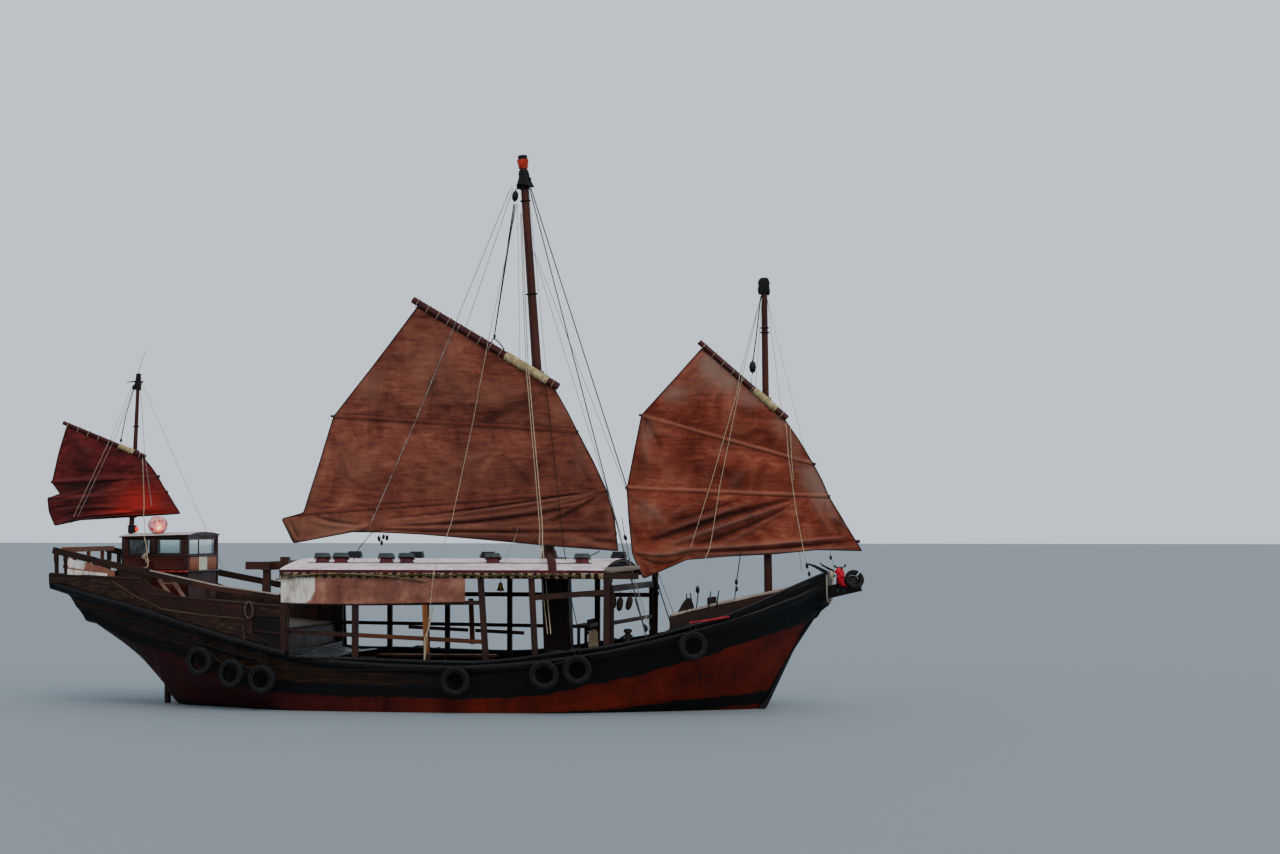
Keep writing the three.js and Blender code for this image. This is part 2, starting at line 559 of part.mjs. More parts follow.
const CABIN = { aft: -6950, fore: -5450, halfWide: 1080, wall: 60, sill: 3325, lintel: 3690 };
const WALL_TOP = [[CABIN.aft, 3715], [CABIN.fore, 3755]];
const CABIN_FLOOR = [[CABIN.aft, 2345], [-6500, 2228], [CABIN.fore, 2025]];
const cabinShell = sideShape([...CABIN_FLOOR, ...WALL_TOP.slice().reverse()], -CABIN.halfWide, CABIN.halfWide);
const inset = (d) => box(CABIN.aft + d, CABIN.fore - d, -CABIN.halfWide + d, CABIN.halfWide - d, 1000, 5000);
// side windows: aft x, fore x
const SIDE_WINDOWS = [[-6830, -6310], [-6180, -5575]];
const cuts = [
  ...SIDE_WINDOWS.map(([a, f]) => box(a, f, -1300, 1300, CABIN.sill, CABIN.lintel)),
  box(-7200, -5200, -960, 960, CABIN.sill, CABIN.lintel),
  box(-6280, -5620, 900, 1300, 2240, CABIN.lintel),
];
part("cabin", cabinShell.subtract(inset(CABIN.wall)).subtract(join(cuts)), "brownWood");
// [y, height over the wall's top]
const CABIN_ROOF = [[-1130, 0], [1130, 0], [1130, 28], [0, 85], [-1130, 28]];
const cabinRoofLoop = (x, base) => CABIN_ROOF.map(([y, up]) => V(x, y, base + GAP + up));
part("cabin_roof", loft([cabinRoofLoop(-7010, 3713.4), cabinRoofLoop(-5415, 3756)]), "deckWood");
// A round lantern on a low foot
const GLOBE = [[1, -207], [75, -207], [75, -184], [120, -180], [205, -80], [215, 0], [205, 80], [120, 180], [1, 185]];
part("lantern", ring(V(-6250, -760, 3995), V(0, 0, 1), GLOBE, 12), "paper");

// Crutch across the fore end of the poop
part("poop_gallows", join(
  [-1900, 1900].map((y) => beam(V(-3400, y, 1802), V(-3400, y, 3060), 120, 150)),
  beam(V(-3400, -2060, 3110), V(-3400, 2060, 3110), 170, 180),
  beam(V(-3950, -1600, 3110), V(-2990, -1600, 3110), 180, 170),
  box(-3170, -2990, -1690, -1510, 3150, 3300),
), "redWood");

// Ladder outside the planking, two stringers and three rungs
const LADDER_Y = -1880;
const STRINGERS = [
  [V(-5848, LADDER_Y, 2817), V(-5259, LADDER_Y, 2043)],
  [V(-5540, LADDER_Y, 2800), V(-4995, LADDER_Y, 2045)],
];
const rungs = [0.12, 0.5, 0.85].map((t) => {
  const [a, b] = STRINGERS.map(([top, foot]) => top.clone().lerp(foot, t));
  return spar(a, b, 16, 16, 6);
});
part("ladder", join(STRINGERS.map(([top, foot]) => beam(top, foot, 40, 70)), rungs), "brownWood");

// Bow: fender beam with its tyre, bitts, inner coaming

const BOW_TYRE = { centre: V(9205, -225, 2815), axis: V(0.35, -0.85, 0.4).normalize(), radius: 215, tube: 62 };
const roomEnds = [-90, 90].map((out) => BOW_TYRE.centre.clone().addScaledVector(BOW_TYRE.axis, out));
const tyreRoom = spar(...roomEnds, BOW_TYRE.radius + 12, BOW_TYRE.radius + 12, 16);
const bowBeam = beam(V(8640, 0, 2540), V(9330, 0, 2700), 300, 270);
part("bow_beam", largest(bowBeam.subtract(form).subtract(tyreRoom)).translate([GAP, 0, 0]), "darkWood");
// x, half-breadth, top of the inner board round the fore deck
const COAMING = [
  [5400, 1830, 2080], [6139, 1560, 2270], [6803, 1330, 2418], [7683, 1060, 2608], [8400, 860, 2790],
];
const coamings = SIDES.map(([, s]) => loft(COAMING.map(([x, wide, z]) => {
  const y = Math.min(wide, halfBreadth(x, heightOn(DECK_LINE, x)) - PLANK - 45);
  const foot = heightOn(DECK_LINE, x) + 4;
  return [V(x, s * y, foot), V(x, s * (y - 60), foot), V(x, s * (y - 60), z), V(x, s * y, z)];
})));
part("fore_coaming", join(coamings, box(8330, 8390, -700, 700, 2530, 2740)), "deckWood");
part("fore_bitts", join(
  SIDES.map(([, s]) => sideBox(s, 6030, 6130, 320, 420, 1782, 2420)),
  box(6010, 6150, -620, 620, 2140, 2260),
), "darkWood");

// Tyres along the sides, hung from one line
function tyre(centre, axis, radius = TYRE_RADIUS, tube = TYRE_TUBE) {
  const [bead, tread] = [tube * 0.6, tube * 0.65];
  const half = [[radius - 1.35 * tube, bead], [radius - tube / 2, tube], [radius, tread]];
  return ring(centre, axis, [...half.map(([r, h]) => [r, -h]), ...half.slice().reverse()], 16);
}
const TYRES = [[-4778, 1055], [-4040, 800], [-3324, 694], [963, 700], [2857, 846], [3546, 956], [5931, 1456]];
const tyreOut = (x, z) => Math.max(...[-200, 0, 260].map((up) => halfBreadth(x, z + up))) + 195;
for (const [side, s] of SIDES) {
  const hung = TYRES.map(([x, z]) => {
    const turn = (halfBreadth(x + 200, z) - halfBreadth(x - 200, z)) / 400;
    return tyre(V(x, s * tyreOut(x, z), z), V(-turn, s, 0));
  });
  const lineAt = ([x, z]) => V(x, s * tyreOut(x, z), z + TYRE_RADIUS - 60);
  const line = TYRES.slice(1).map((t, i) => beam(lineAt(TYRES[i]), lineAt(t), 30, 30));
  part("tyres_" + side, join(hung, line), "rubber");
}
part("bow_tyre", tyre(BOW_TYRE.centre, BOW_TYRE.axis, BOW_TYRE.radius, BOW_TYRE.tube), "rubber");

// Rudder on its stock, and the screw on its shaft

const STOCK_X = -6250;
const BLADE = [[-5960, -90], [-7150, -60], [-7330, -700], [-7150, -1420], [-6000, -1420]];
const tiller = beam(V(STOCK_X - 140, 0, 2717), V(STOCK_X + 600, 0, 2740), 90, 110);
const stock = spar(V(STOCK_X, 0, -1300), V(STOCK_X, 0, 2720), 75, 75, 12);
part("rudder", join(sideShape(BLADE, -45, 45), stock, tiller), "darkWood");

const SHAFT = { from: V(-5700, 0, -895), to: V(-4760, 0, -810) };
const shaftDir = SHAFT.to.clone().sub(SHAFT.from).normalize();
const blades = [0, 1, 2, 3].map((k) => {
  const blade = solid(new THREE.BoxGeometry(36, 190, 330).translate(0, 0, 205).rotateZ(0.6));
  return blade.rotate([(k * 360) / 4, 0, 0]);
});
const boss = solid(new THREE.CylinderGeometry(70, 85, 200, 12).rotateZ(Math.PI / 2));
const screw = join(boss, blades, spar(V(0, 0, 0), V(900, 0, 0), 32, 32, 10));
const rake = (Math.asin(shaftDir.z) * 180) / Math.PI;
part("propeller", screw.rotate([0, -rake, 0]).translate(SHAFT.from.toArray()), "bronze");

export default junk;
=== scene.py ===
# %% [markdown]
# # A three-masted fishing junk, dressed over its frame
# The frame gives every timber of the boat at its real size: hull, decks, masts, spars, deckhouse and cabin.
# Here each surface gets what the eye expects of it, such as planks, tarred paint, tanned canvas and rope.
# Metres throughout. +X points to the bow, +Y to port, +Z up, and z = 0 is the water.

# %% Load the frame
import json
import math

import bpy
import numpy as np
from mathutils import Matrix, Vector, noise
from mathutils.bvhtree import BVHTree

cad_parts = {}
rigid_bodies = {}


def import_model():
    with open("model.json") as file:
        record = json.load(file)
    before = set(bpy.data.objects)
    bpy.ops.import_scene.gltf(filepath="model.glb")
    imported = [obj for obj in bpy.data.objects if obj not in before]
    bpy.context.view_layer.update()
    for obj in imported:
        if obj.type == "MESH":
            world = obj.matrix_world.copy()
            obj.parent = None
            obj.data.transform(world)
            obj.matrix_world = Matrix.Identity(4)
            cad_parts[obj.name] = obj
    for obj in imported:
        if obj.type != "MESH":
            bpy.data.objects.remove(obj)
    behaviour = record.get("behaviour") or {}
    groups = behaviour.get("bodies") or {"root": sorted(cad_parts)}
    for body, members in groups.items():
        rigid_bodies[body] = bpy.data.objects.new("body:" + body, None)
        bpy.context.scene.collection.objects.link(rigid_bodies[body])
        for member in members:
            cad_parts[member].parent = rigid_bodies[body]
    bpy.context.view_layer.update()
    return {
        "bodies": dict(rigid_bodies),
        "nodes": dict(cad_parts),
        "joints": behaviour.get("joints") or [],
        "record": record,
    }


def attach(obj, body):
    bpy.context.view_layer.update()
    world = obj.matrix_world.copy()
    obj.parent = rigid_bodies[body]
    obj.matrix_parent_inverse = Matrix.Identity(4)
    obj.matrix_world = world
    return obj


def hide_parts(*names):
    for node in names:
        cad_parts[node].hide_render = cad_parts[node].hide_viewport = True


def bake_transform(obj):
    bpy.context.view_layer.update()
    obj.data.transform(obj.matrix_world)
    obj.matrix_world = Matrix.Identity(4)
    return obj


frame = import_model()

nodes = frame["nodes"]

# %% [markdown]
# ## Camera and light
# The boat is seen from 60 m away on its starboard side, four metres above the water, through a long lens.
# An overcast evening sky lights it, so one wide soft light comes from above and ahead, and the rest from
# all round.

# %% Camera
CAMERA_PLACE = (13.264, -58.684, 4.06)
CAMERA_TILT = math.radians(92.015)
CAMERA_HEADING = math.radians(8.5)
bpy.ops.object.camera_add(location=CAMERA_PLACE, rotation=(CAMERA_TILT, 0, CAMERA_HEADING))
camera = bpy.context.object
camera.name = "camera"
camera.data.sensor_width = 36
camera.data.lens = 75.94
camera.data.clip_end = 2000
bpy.context.scene.camera = camera

# %% [markdown]
# ## One function for colour and one for shader nodes
# Paint and cloth colours are easiest to name as they look on a screen, in hex, but the shader works in
# linear light. `add` makes any shader node, sets its options and its inputs, and links the inputs that are
# given a socket.

# %% Colours and nodes
def linear(code):
    """A hex colour as linear red, green, blue and alpha."""
    values = [int(code[i:i + 2], 16) / 255 for i in (0, 2, 4)]
    return [v / 12.92 if v <= 0.04045 else ((v + 0.055) / 1.055) ** 2.4 for v in values] + [1.0]


def add(material, kind, settings=None, inputs=None):
    """Adds a shader node; stops are a ramp's (place, colour) pairs, an input is a value or a socket."""
    tree = material.node_tree
    node = tree.nodes.new("ShaderNode" + kind)
    for name, value in (settings or {}).items():
        if name == "stops":
            while len(node.color_ramp.elements) < len(value):
                node.color_ramp.elements.new(0.5)
            for element, (place, colour) in zip(node.color_ramp.elements, value):
                element.position = place
                element.color = linear(colour)
        else:
            setattr(node, name, value)
    for name, value in (inputs or {}).items():
        socket = node.inputs[name]
        if isinstance(value, bpy.types.NodeSocket):
            tree.links.new(value, socket)
        else:
            socket.default_value = value
    return node


def start(name, roughness=0.6, metallic=0.0, ior=1.5, specular=0.5):
    """A material with a Principled shader, whose constants are set on its own sockets."""
    material = bpy.data.materials.new(name)
    material.use_nodes = True
    shader = material.node_tree.nodes["Principled BSDF"]
    shader.inputs["Roughness"].default_value = roughness
    shader.inputs["Metallic"].default_value = metallic
    shader.inputs["IOR"].default_value = ior
    shader.inputs["Specular IOR Level"].default_value = specular
    return material, shader


def link(material, source, target):
    """Joins two sockets of a material."""
    material.node_tree.links.new(source, target)


# %% Floor, sky and lights
sky = bpy.data.worlds.new("evening_sky")
bpy.context.scene.world = sky
sky.use_nodes = True
sky.node_tree.nodes["Background"].inputs["Color"].default_value = linear("dce7f3")
sky.node_tree.nodes["Background"].inputs["Strength"].default_value = 1.15

bpy.ops.mesh.primitive_plane_add(size=900, location=(0, 0, 0))
floor = bpy.context.object
floor.name = "floor"
floor_finish, floor_shader = start("matt_grey_floor", roughness=0.85, specular=0.2)
floor_shader.inputs["Base Color"].default_value = linear("7f898f")
floor.data.materials.append(floor_finish)

bpy.ops.object.light_add(type="SUN", location=(10, -40, 50), rotation=(math.radians(48), 0, math.radians(28)))
sun = bpy.context.object
sun.data.energy = 1.6
sun.data.angle = math.radians(35)
sun.data.color = linear("fff1e2")[:3]
print("camera and light set")

# %% [markdown]
# ## Timber
# Most of the boat is sawn hardwood: oiled, sunned, wetted and walked on. What the eye reads first is the
# direction of the grain, so every timber finish stretches its noise along the piece. Boards add dark seams
# at their real width. Colour runs from a dark heart to a lighter, worn face, and the fine grain also lifts
# the surface a little.

# %% Timber finishes
TURNS = {"X": (0, 0, 0), "Y": (0, 0, math.pi / 2), "Z": (0, math.pi / 2, 0)}


def timber(name, colours, along="X", roughness=0.62, board=None, upright=False, wear=0.35):
    """Sawn wood with its grain along an axis; board is (length, width) in metres, upright means on a wall."""
    material, shader = start(name, roughness=roughness, ior=1.48, specular=0.22)
    place = add(material, "TexCoord")
    turned = add(material, "Mapping", None, {"Vector": place.outputs["Object"], "Rotation": TURNS[along]})
    fine = add(material, "Mapping", None, {"Vector": turned.outputs["Vector"], "Scale": (1.2, 34, 34)})
    grain = add(material, "TexNoise", None, {"Vector": fine.outputs["Vector"], "Scale": 1.6, "Detail": 6.0,
                                             "Roughness": 0.62, "Distortion": 0.6})
    broad = add(material, "Mapping", None, {"Vector": turned.outputs["Vector"], "Scale": (0.5, 2.2, 2.2)})
    patches = add(material, "TexNoise", None, {"Vector": broad.outputs["Vector"], "Scale": 1.5, "Detail": 5.0,
                                               "Roughness": 0.7})
    blend = add(material, "Math", {"operation": "MULTIPLY_ADD"},
                {0: grain.outputs["Fac"], 1: wear, 2: 0.5 - wear / 2})
    shade = add(material, "Mix", {"data_type": "FLOAT"},
                {0: 0.45, 2: blend.outputs[0], 3: patches.outputs["Fac"]})
    colour = add(material, "ValToRGB", {"stops": [(0.32, colours[0]), (0.5, colours[1]), (0.68, colours[2])]},
                 {"Fac": shade.outputs[0]})
    height = grain.outputs["Fac"]
    result = colour.outputs["Color"]
    if board:
        length, width = board
        flat = turned.outputs["Vector"]
        if upright:
            stood = add(material, "Mapping", None,
                        {"Vector": place.outputs["Object"], "Rotation": (math.pi / 2, 0, 0)})
            flat = add(material, "Mapping", None, {"Vector": stood.outputs["Vector"]}).outputs["Vector"]
        rows = add(material, "TexBrick", {"offset": 0.37, "offset_frequency": 2},
                   {"Vector": flat, "Scale": 1.0, "Brick Width": length, "Row Height": width,
                    "Mortar Size": 0.004, "Mortar Smooth": 0.35, "Bias": 0.0, "Color1": (0.72, 0.72, 0.72, 1),
                    "Color2": (1.12, 1.12, 1.12, 1), "Mortar": (0.2, 0.2, 0.2, 1)})
        toned = add(material, "Mix", {"data_type": "RGBA", "blend_type": "MULTIPLY"},
                    {0: 0.9, 6: colour.outputs["Color"], 7: rows.outputs["Color"]})
        result = toned.outputs[2]
        height = add(material, "Math", {"operation": "SUBTRACT"},
                     {0: grain.outputs["Fac"], 1: rows.outputs["Fac"]}).outputs[0]
    bump = add(material, "Bump", None, {"Height": height, "Strength": 0.35, "Distance": 0.006})
    rough = add(material, "MapRange", None, {"Value": patches.outputs["Fac"], "From Min": 0.3,
                                             "From Max": 0.7,
                                             "To Min": roughness - 0.12, "To Max": roughness + 0.15})
    link(material, result, shader.inputs["Base Color"])
    link(material, rough.outputs[0], shader.inputs["Roughness"])
    link(material, bump.outputs["Normal"], shader.inputs["Normal"])
    return material


DARK_OIL = ("120906", "22120c", "3c2216")
RED_OIL = ("200b07", "3a1710", "5a2e20")
oiled_beam = timber("oiled_hardwood_beam", DARK_OIL)
oiled_beam_athwart = timber("oiled_hardwood_beam_athwart", DARK_OIL, along="Y")
oiled_post = timber("oiled_hardwood_post", ("160b07", "2a1610", "46291b"), along="Z")
mast_fir = timber("oiled_fir_mast", RED_OIL, along="Z", roughness=0.5)
spar_fir = timber("painted_fir_spar", ("1e0808", "380f10", "521b18"), along="X", roughness=0.5)
cabin_teak = timber("varnished_teak_boards", ("1c0906", "34130b", "54220f"), along="Z", roughness=0.5)
deck_board = timber("bare_deck_boards", ("30241b", "4c3c2e", "705d4a"), board=(2.6, 0.16), wear=0.5)
case_board = timber("oiled_case_boards", ("100806", "1e0f0a", "341a11"), along="Z")
bench_plank = timber("worn_bench_plank", ("3e1d0c", "663618", "8a5630"))
print("timber finishes ready")

# %% [markdown]
# ## Paint, iron, rubber and rope
# The rest of the deck gear is painted or tarred. Old gloss paint is smooth between scuffs, iron is dull
# with rust, a worn-out tyre is nearly matt, and a laid rope shows its strands as slanting ridges.

# %% Gear finishes
def plain(name, colours, roughness=0.6, metallic=0.0, scale=6.0, bump_mm=1.5, ior=1.5):
    """Paint, iron, rubber or cloth whose colour is mottled at one real scale, in patches a metre."""
    material, shader = start(name, roughness=roughness, metallic=metallic, ior=ior, specular=0.22)
    place = add(material, "TexCoord")
    mottle = add(material, "TexNoise", None, {"Vector": place.outputs["Object"], "Scale": scale,
                                              "Detail": 7.0,
                                              "Roughness": 0.65})
    colour = add(material, "ValToRGB", {"stops": [(0.35, colours[0]), (0.52, colours[1]), (0.7, colours[2])]},
                 {"Fac": mottle.outputs["Fac"]})
    grit = add(material, "TexNoise", None, {"Vector": place.outputs["Object"], "Scale": scale * 9,
                                            "Detail": 4.0})
    bump = add(material, "Bump", None, {"Height": grit.outputs["Fac"], "Strength": 0.4,
                                        "Distance": bump_mm / 1000})
    rough = add(material, "MapRange", None, {"Value": mottle.outputs["Fac"], "From Min": 0.3, "From Max": 0.7,
                                             "To Min": max(0.05, roughness - 0.1),
                                             "To Max": roughness + 0.12})
    link(material, colour.outputs["Color"], shader.inputs["Base Color"])
    link(material, rough.outputs[0], shader.inputs["Roughness"])
    link(material, bump.outputs["Normal"], shader.inputs["Normal"])
    return material


black_enamel = plain("old_black_enamel", ("050506", "0a0a0c", "141213"), roughness=0.5)
tarred_iron = plain("tarred_iron", ("070708", "100f0d", "221913"), roughness=0.6, scale=20)
red_enamel = plain("faded_red_enamel", ("2e090e", "4a1116", "682223"), roughness=0.55, scale=9)
lamp_casting = plain("grey_painted_casting", ("23282a", "33393b", "454c4e"), roughness=0.5, scale=12)
pale_rope = plain("weathered_hemp_rope", ("6e6250", "a09078", "c4b8a0"), roughness=0.9, scale=40, bump_mm=4)
tarred_rope = plain("tarred_hemp_rope", ("0c0b0a", "1c1814", "302a22"), roughness=0.85, scale=40, bump_mm=4)
wire = plain("galvanised_wire_rope", ("2a2a2a", "3e3e3c", "585650"), roughness=0.45, metallic=0.7, scale=30)
bronze = plain("cast_bronze", ("5a3d18", "8a6228", "b08a44"), roughness=0.4, metallic=1.0, scale=5)
hemp_serving = plain("hemp_canvas_serving", ("7c6f52", "a09068", "bfb38c"), roughness=0.9, scale=12,
                     bump_mm=3)
print("gear finishes ready")

# %% [markdown]
# ## The hull's planking
# The frame's hull is a coarse loft. A real junk's side is strakes: long planks laid edge to edge from stern
# to bow. A ray from outside finds the frame's side at every height of every station, so the planking can't
# leave the hull. Each station's points are spread evenly round the girth, smoothed along the length, and
# the plank edges are let in by a few millimetres, so that the seams are real grooves.

# %% Measuring the frame
def tree_of(*names):
    """The faces of some frame nodes, ready to be measured by rays."""
    corners, faces = [], []
    for name in names:
        mesh = nodes[name].data
        first = len(corners)
        corners += [vertex.co.copy() for vertex in mesh.vertices]
        faces += [[first + i for i in polygon.vertices] for polygon in mesh.polygons]
    return BVHTree.FromPolygons(corners, faces)


def level(line, x):
    """The height of a side profile at x."""
    xs, heights = zip(*line)
    return float(np.interp(x, xs, heights))


SHEER = [(-8.4, 2.87), (-8.0, 2.74), (-7.0, 2.42), (-6.0, 2.12), (-5.0, 1.82), (-4.0, 1.52), (-2.74, 1.15),
         (-1.3, 1.14), (0.24, 1.09), (1.43, 1.07), (2.55, 1.2), (3.15, 1.3), (4.09, 1.41), (4.92, 1.57),
         (5.61, 1.78), (6.65, 2.07), (7.36, 2.39), (8.12, 2.75), (8.64, 2.965)]
PLANK_TOP = [(-8.4, 2.916), (-6.7, 2.835), (-6.05, 2.815), (-6.0, 2.48), (-3.85, 2.31), (-2.8, 2.24),
             (-2.74, 1.15)]
WALE = [(-8.3, 2.64), (-7.0, 2.33), (-6.36, 2.18), (-5.0, 1.77), (-3.75, 1.44), (-2.1, 1.06), (-0.5, 0.96),
        (1.2, 0.93), (2.55, 1.03), (4.09, 1.24), (5.61, 1.6), (6.65, 1.88), (7.36, 2.13), (8.12, 2.44),
        (8.5, 2.6)]
PAINT_EDGE = [(-8.4, 2.3), (-6.56, 1.41), (-5.3, 1.15), (-4.65, 0.8), (-3.89, 0.48), (-3.03, 0.38),
              (-1.11, 0.32),
              (1.83, 0.31), (3.02, 0.42), (3.58, 0.59), (4.78, 0.82), (5.47, 1.0), (6.45, 1.33), (8.14, 1.87),
              (8.64, 2.05)]
# the boot-top band is black paint and a wet band, and aft it is also a painted shadow along the waterline
BOOT_TOP_AND_SHADE = [(-8.4, 0.1), (-6.0, 0.08), (-3.5, 0.04), (0.0, -0.12), (4.1, 0.07), (7.25, 0.39), (8.64, 0.55)]


def smooth_line(line):
    """A side profile with its knees eased, as a batten bent through its points would run."""
    xs = np.linspace(line[0][0], line[-1][0], 260)
    heights = np.array([level(line, x) for x in xs])
    for _ in range(40):
        heights[1:-1] = heights[:-2] * 0.25 + heights[1:-1] * 0.5 + heights[2:] * 0.25
    return list(zip(xs, heights))


sheer, wale_line, paint_edge, boot_top_and_shade = (smooth_line(line) for line in (SHEER, WALE, PAINT_EDGE, BOOT_TOP_AND_SHADE))
side_tree = tree_of("hull", "bulwark_starboard", "stern_board", "bow_board")
print("hull length", round(SHEER[-1][0] - SHEER[0][0], 2), "m")

# %% Surfaces through rows of points
def patch(name, rows, uvs=None, wrap=False, caps=False):
    """A surface through rows of points; wrap closes each row, and caps fill the first and last row."""
    rows = np.asarray(rows, float)
    count, width = rows.shape[:2]
    faces = [(r * width + c, r * width + (c + 1) % width, (r + 1) * width + (c + 1) % width,
              (r + 1) * width + c)
             for r in range(count - 1) for c in range(width if wrap else width - 1)]
    if caps:
        faces += [tuple(reversed(range(width))), tuple(range((count - 1) * width, count * width))]
    mesh = bpy.data.meshes.new(name)
    mesh.from_pydata(rows.reshape(-1, 3).tolist(), [], faces)
    if uvs is not None:
        spread = np.asarray(uvs, float).reshape(-1, 2)
        corner = np.empty(len(mesh.loops), int)
        mesh.loops.foreach_get("vertex_index", corner)
        mesh.uv_layers.new(name="cut").data.foreach_set("uv", spread[corner].ravel())
    piece = bpy.data.objects.new(name, mesh)
    bpy.context.collection.objects.link(piece)
    return piece


def mark(piece, name, values):
    """Stores one number a point, for a material to read."""
    piece.data.attributes.new(name, "FLOAT", "POINT").data.foreach_set("value",
            np.asarray(values, float).ravel())


def alone(piece):
    """Selects one piece and makes it the active one."""
    bpy.ops.object.select_all(action="DESELECT")
    piece.select_set(True)
    bpy.context.view_layer.objects.active = piece


def outward(piece):
    """Turns a piece's faces outwards."""
    alone(piece)
    bpy.ops.object.mode_set(mode="EDIT")
    bpy.ops.mesh.select_all(action="SELECT")
    bpy.ops.mesh.normals_make_consistent(inside=False)
    bpy.ops.object.mode_set(mode="OBJECT")


def apply(piece, kind, **settings):
    """Adds a modifier and applies it."""
    alone(piece)
    modifier = piece.modifiers.new(kind.lower(), kind)
    for name, value in settings.items():
        setattr(modifier, name, value)
    bpy.ops.object.modifier_apply(modifier=modifier.name)


def fit_out(piece, body, material, angle=40):
    """Gives a finished piece its body, its material and soft shading."""
    alone(piece)
    bpy.ops.object.transform_apply(location=True, rotation=True, scale=True)
    bpy.ops.object.shade_smooth_by_angle(angle=math.radians(angle))
    if material:
        piece.data.materials.clear()
        piece.data.materials.append(material)
    if body:
        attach(piece, body)
    return piece


# %% Stations and strakes
STRAKES = 16
ROWS_A_STRAKE = 4
TOP_ROWS = 6
SEAM_DEPTH = 0.007
STRAKE_WIDTH = 0.2


def hull_ray(x, z, angle):
    """The distance from (x, 0, z) to the side, looking down by an angle from athwartships."""
    out = Vector((0, -math.cos(angle), -math.sin(angle)))
    centre = Vector((x, 0, z))
    hit = side_tree.ray_cast(centre + out * 7, -out)[0]
    return (hit - centre).length if hit else None


def section(x):
    """Half the section at x as (half-breadth, height), from the top line down to the centreline."""
    inside = min(max(x, -8.398), 8.638)
    z = level(sheer, x)
    points = []
    for angle in np.linspace(0, math.pi / 2, 240):
        reach = hull_ray(inside, z, angle)
        if reach is not None:
            points.append((reach * math.cos(angle), z - reach * math.sin(angle)))
    points = np.array(points)
    steps = np.concatenate([[0], np.cumsum(np.hypot(*np.diff(points, axis=0).T))])
    at = np.linspace(0, steps[-1], STRAKES * ROWS_A_STRAKE + 1)
    girth = np.column_stack([np.interp(at, steps, points[:, k]) for k in (0, 1)])
    top = max(level(PLANK_TOP, x) if x < -2.74 else z, z)
    above = []
    for height in np.linspace(top, z, TOP_ROWS + 1)[:-1]:
        reach = hull_ray(inside, height - 0.002, 0)
        above.append((reach if reach is not None else girth[0, 0], height))
    return np.vstack([above, girth])


aft_xs = [-8.4, -8.2, -8.0, -7.8, -7.6, -7.515, -7.43, -7.3, -7.15, -7.0]
long_xs = np.linspace(-7.0, 8.64, 118)[1:]
xs = np.array(sorted(set(np.round(np.concatenate([aft_xs, long_xs, [-6.05, -6.0, -2.8, -2.74]]), 4))))
half = np.array([section(x) for x in xs])
for _ in range(3):
    eased = half.copy()
    eased[1:-1, TOP_ROWS:] = half[:-2, TOP_ROWS:] * 0.25 + half[1:-1, TOP_ROWS:] * 0.5 + half[2:,
            TOP_ROWS:] * 0.25
    eased[xs < -6.9] = half[xs < -6.9]
    eased[-2:] = half[-2:]
    eased[:, TOP_ROWS:, 1] = np.where(np.arange(half.shape[1] - TOP_ROWS) == 0, half[:, TOP_ROWS:, 1],
                                      eased[:, TOP_ROWS:, 1])
    half = eased
along = np.gradient(half, axis=1)
out = np.stack([-along[..., 1], along[..., 0]], axis=-1)
out /= np.maximum(np.linalg.norm(out, axis=-1, keepdims=True), 1e-9)
groove = np.zeros(half.shape[1])
groove[TOP_ROWS + ROWS_A_STRAKE:-1:ROWS_A_STRAKE] = SEAM_DEPTH
half = half - out * groove[None, :, None]
half[:, -1, 0] = 0
print(len(xs), "stations of", half.shape[1], "points a side")

# %% The planked shell
rows, uvs = [], []
strake = np.concatenate([np.full(TOP_ROWS, 0.0), np.arange(STRAKES * ROWS_A_STRAKE + 1) / ROWS_A_STRAKE])
for x, side in zip(xs, half):
    starboard = [(x, -y, z) for y, z in side]
    port = [(x, y, z) for y, z in side[-2::-1]]
    rows.append(starboard + port)
    height = -(side[:TOP_ROWS, 1] - side[TOP_ROWS, 1]) / STRAKE_WIDTH
    v = np.concatenate([height, strake[TOP_ROWS:]])
    uvs.append([(x / STRAKE_WIDTH, k) for k in v] + [(x / STRAKE_WIDTH, k + 0.0) for k in v[-2::-1]])
points = np.array(rows)
shell = patch("hull_planking", points, uvs, caps=True)
flat = points.reshape(-1, 3)
for name, line in (("paint", paint_edge), ("wale", wale_line), ("boot", boot_top_and_shade)):
    mark(shell, name, [z - level(line, x) for x, _, z in flat])
alone(shell)
bpy.ops.object.mode_set(mode="EDIT")
bpy.ops.mesh.select_all(action="SELECT")
bpy.ops.mesh.remove_doubles(threshold=0.0004)
bpy.ops.mesh.normals_make_consistent(inside=False)
bpy.ops.object.mode_set(mode="OBJECT")
skin = BVHTree.FromObject(shell, bpy.context.evaluated_depsgraph_get())
apply(shell, "SOLIDIFY", thickness=0.075, offset=-1, use_even_offset=False)
print("planked shell:", len(shell.data.polygons), "faces")


def breadth(x, z):
    """The planking's half-breadth at x and z."""
    hit = skin.ray_cast(Vector((x, -7, z)), Vector((0, 1, 0)))[0]
    return -hit.y if hit else 0.0


# %% [markdown]
# ## Hull paint
# Below the wale the planks carry thick gloss enamel, brushed on over tar; the bottom is dull red
# antifouling paint. The quarters above the wale are only oiled. The paint lines run by height above a
# curved line, which the mesh holds as one number a point, and noise moves each line by a centimetre or two,
# as a brush does.

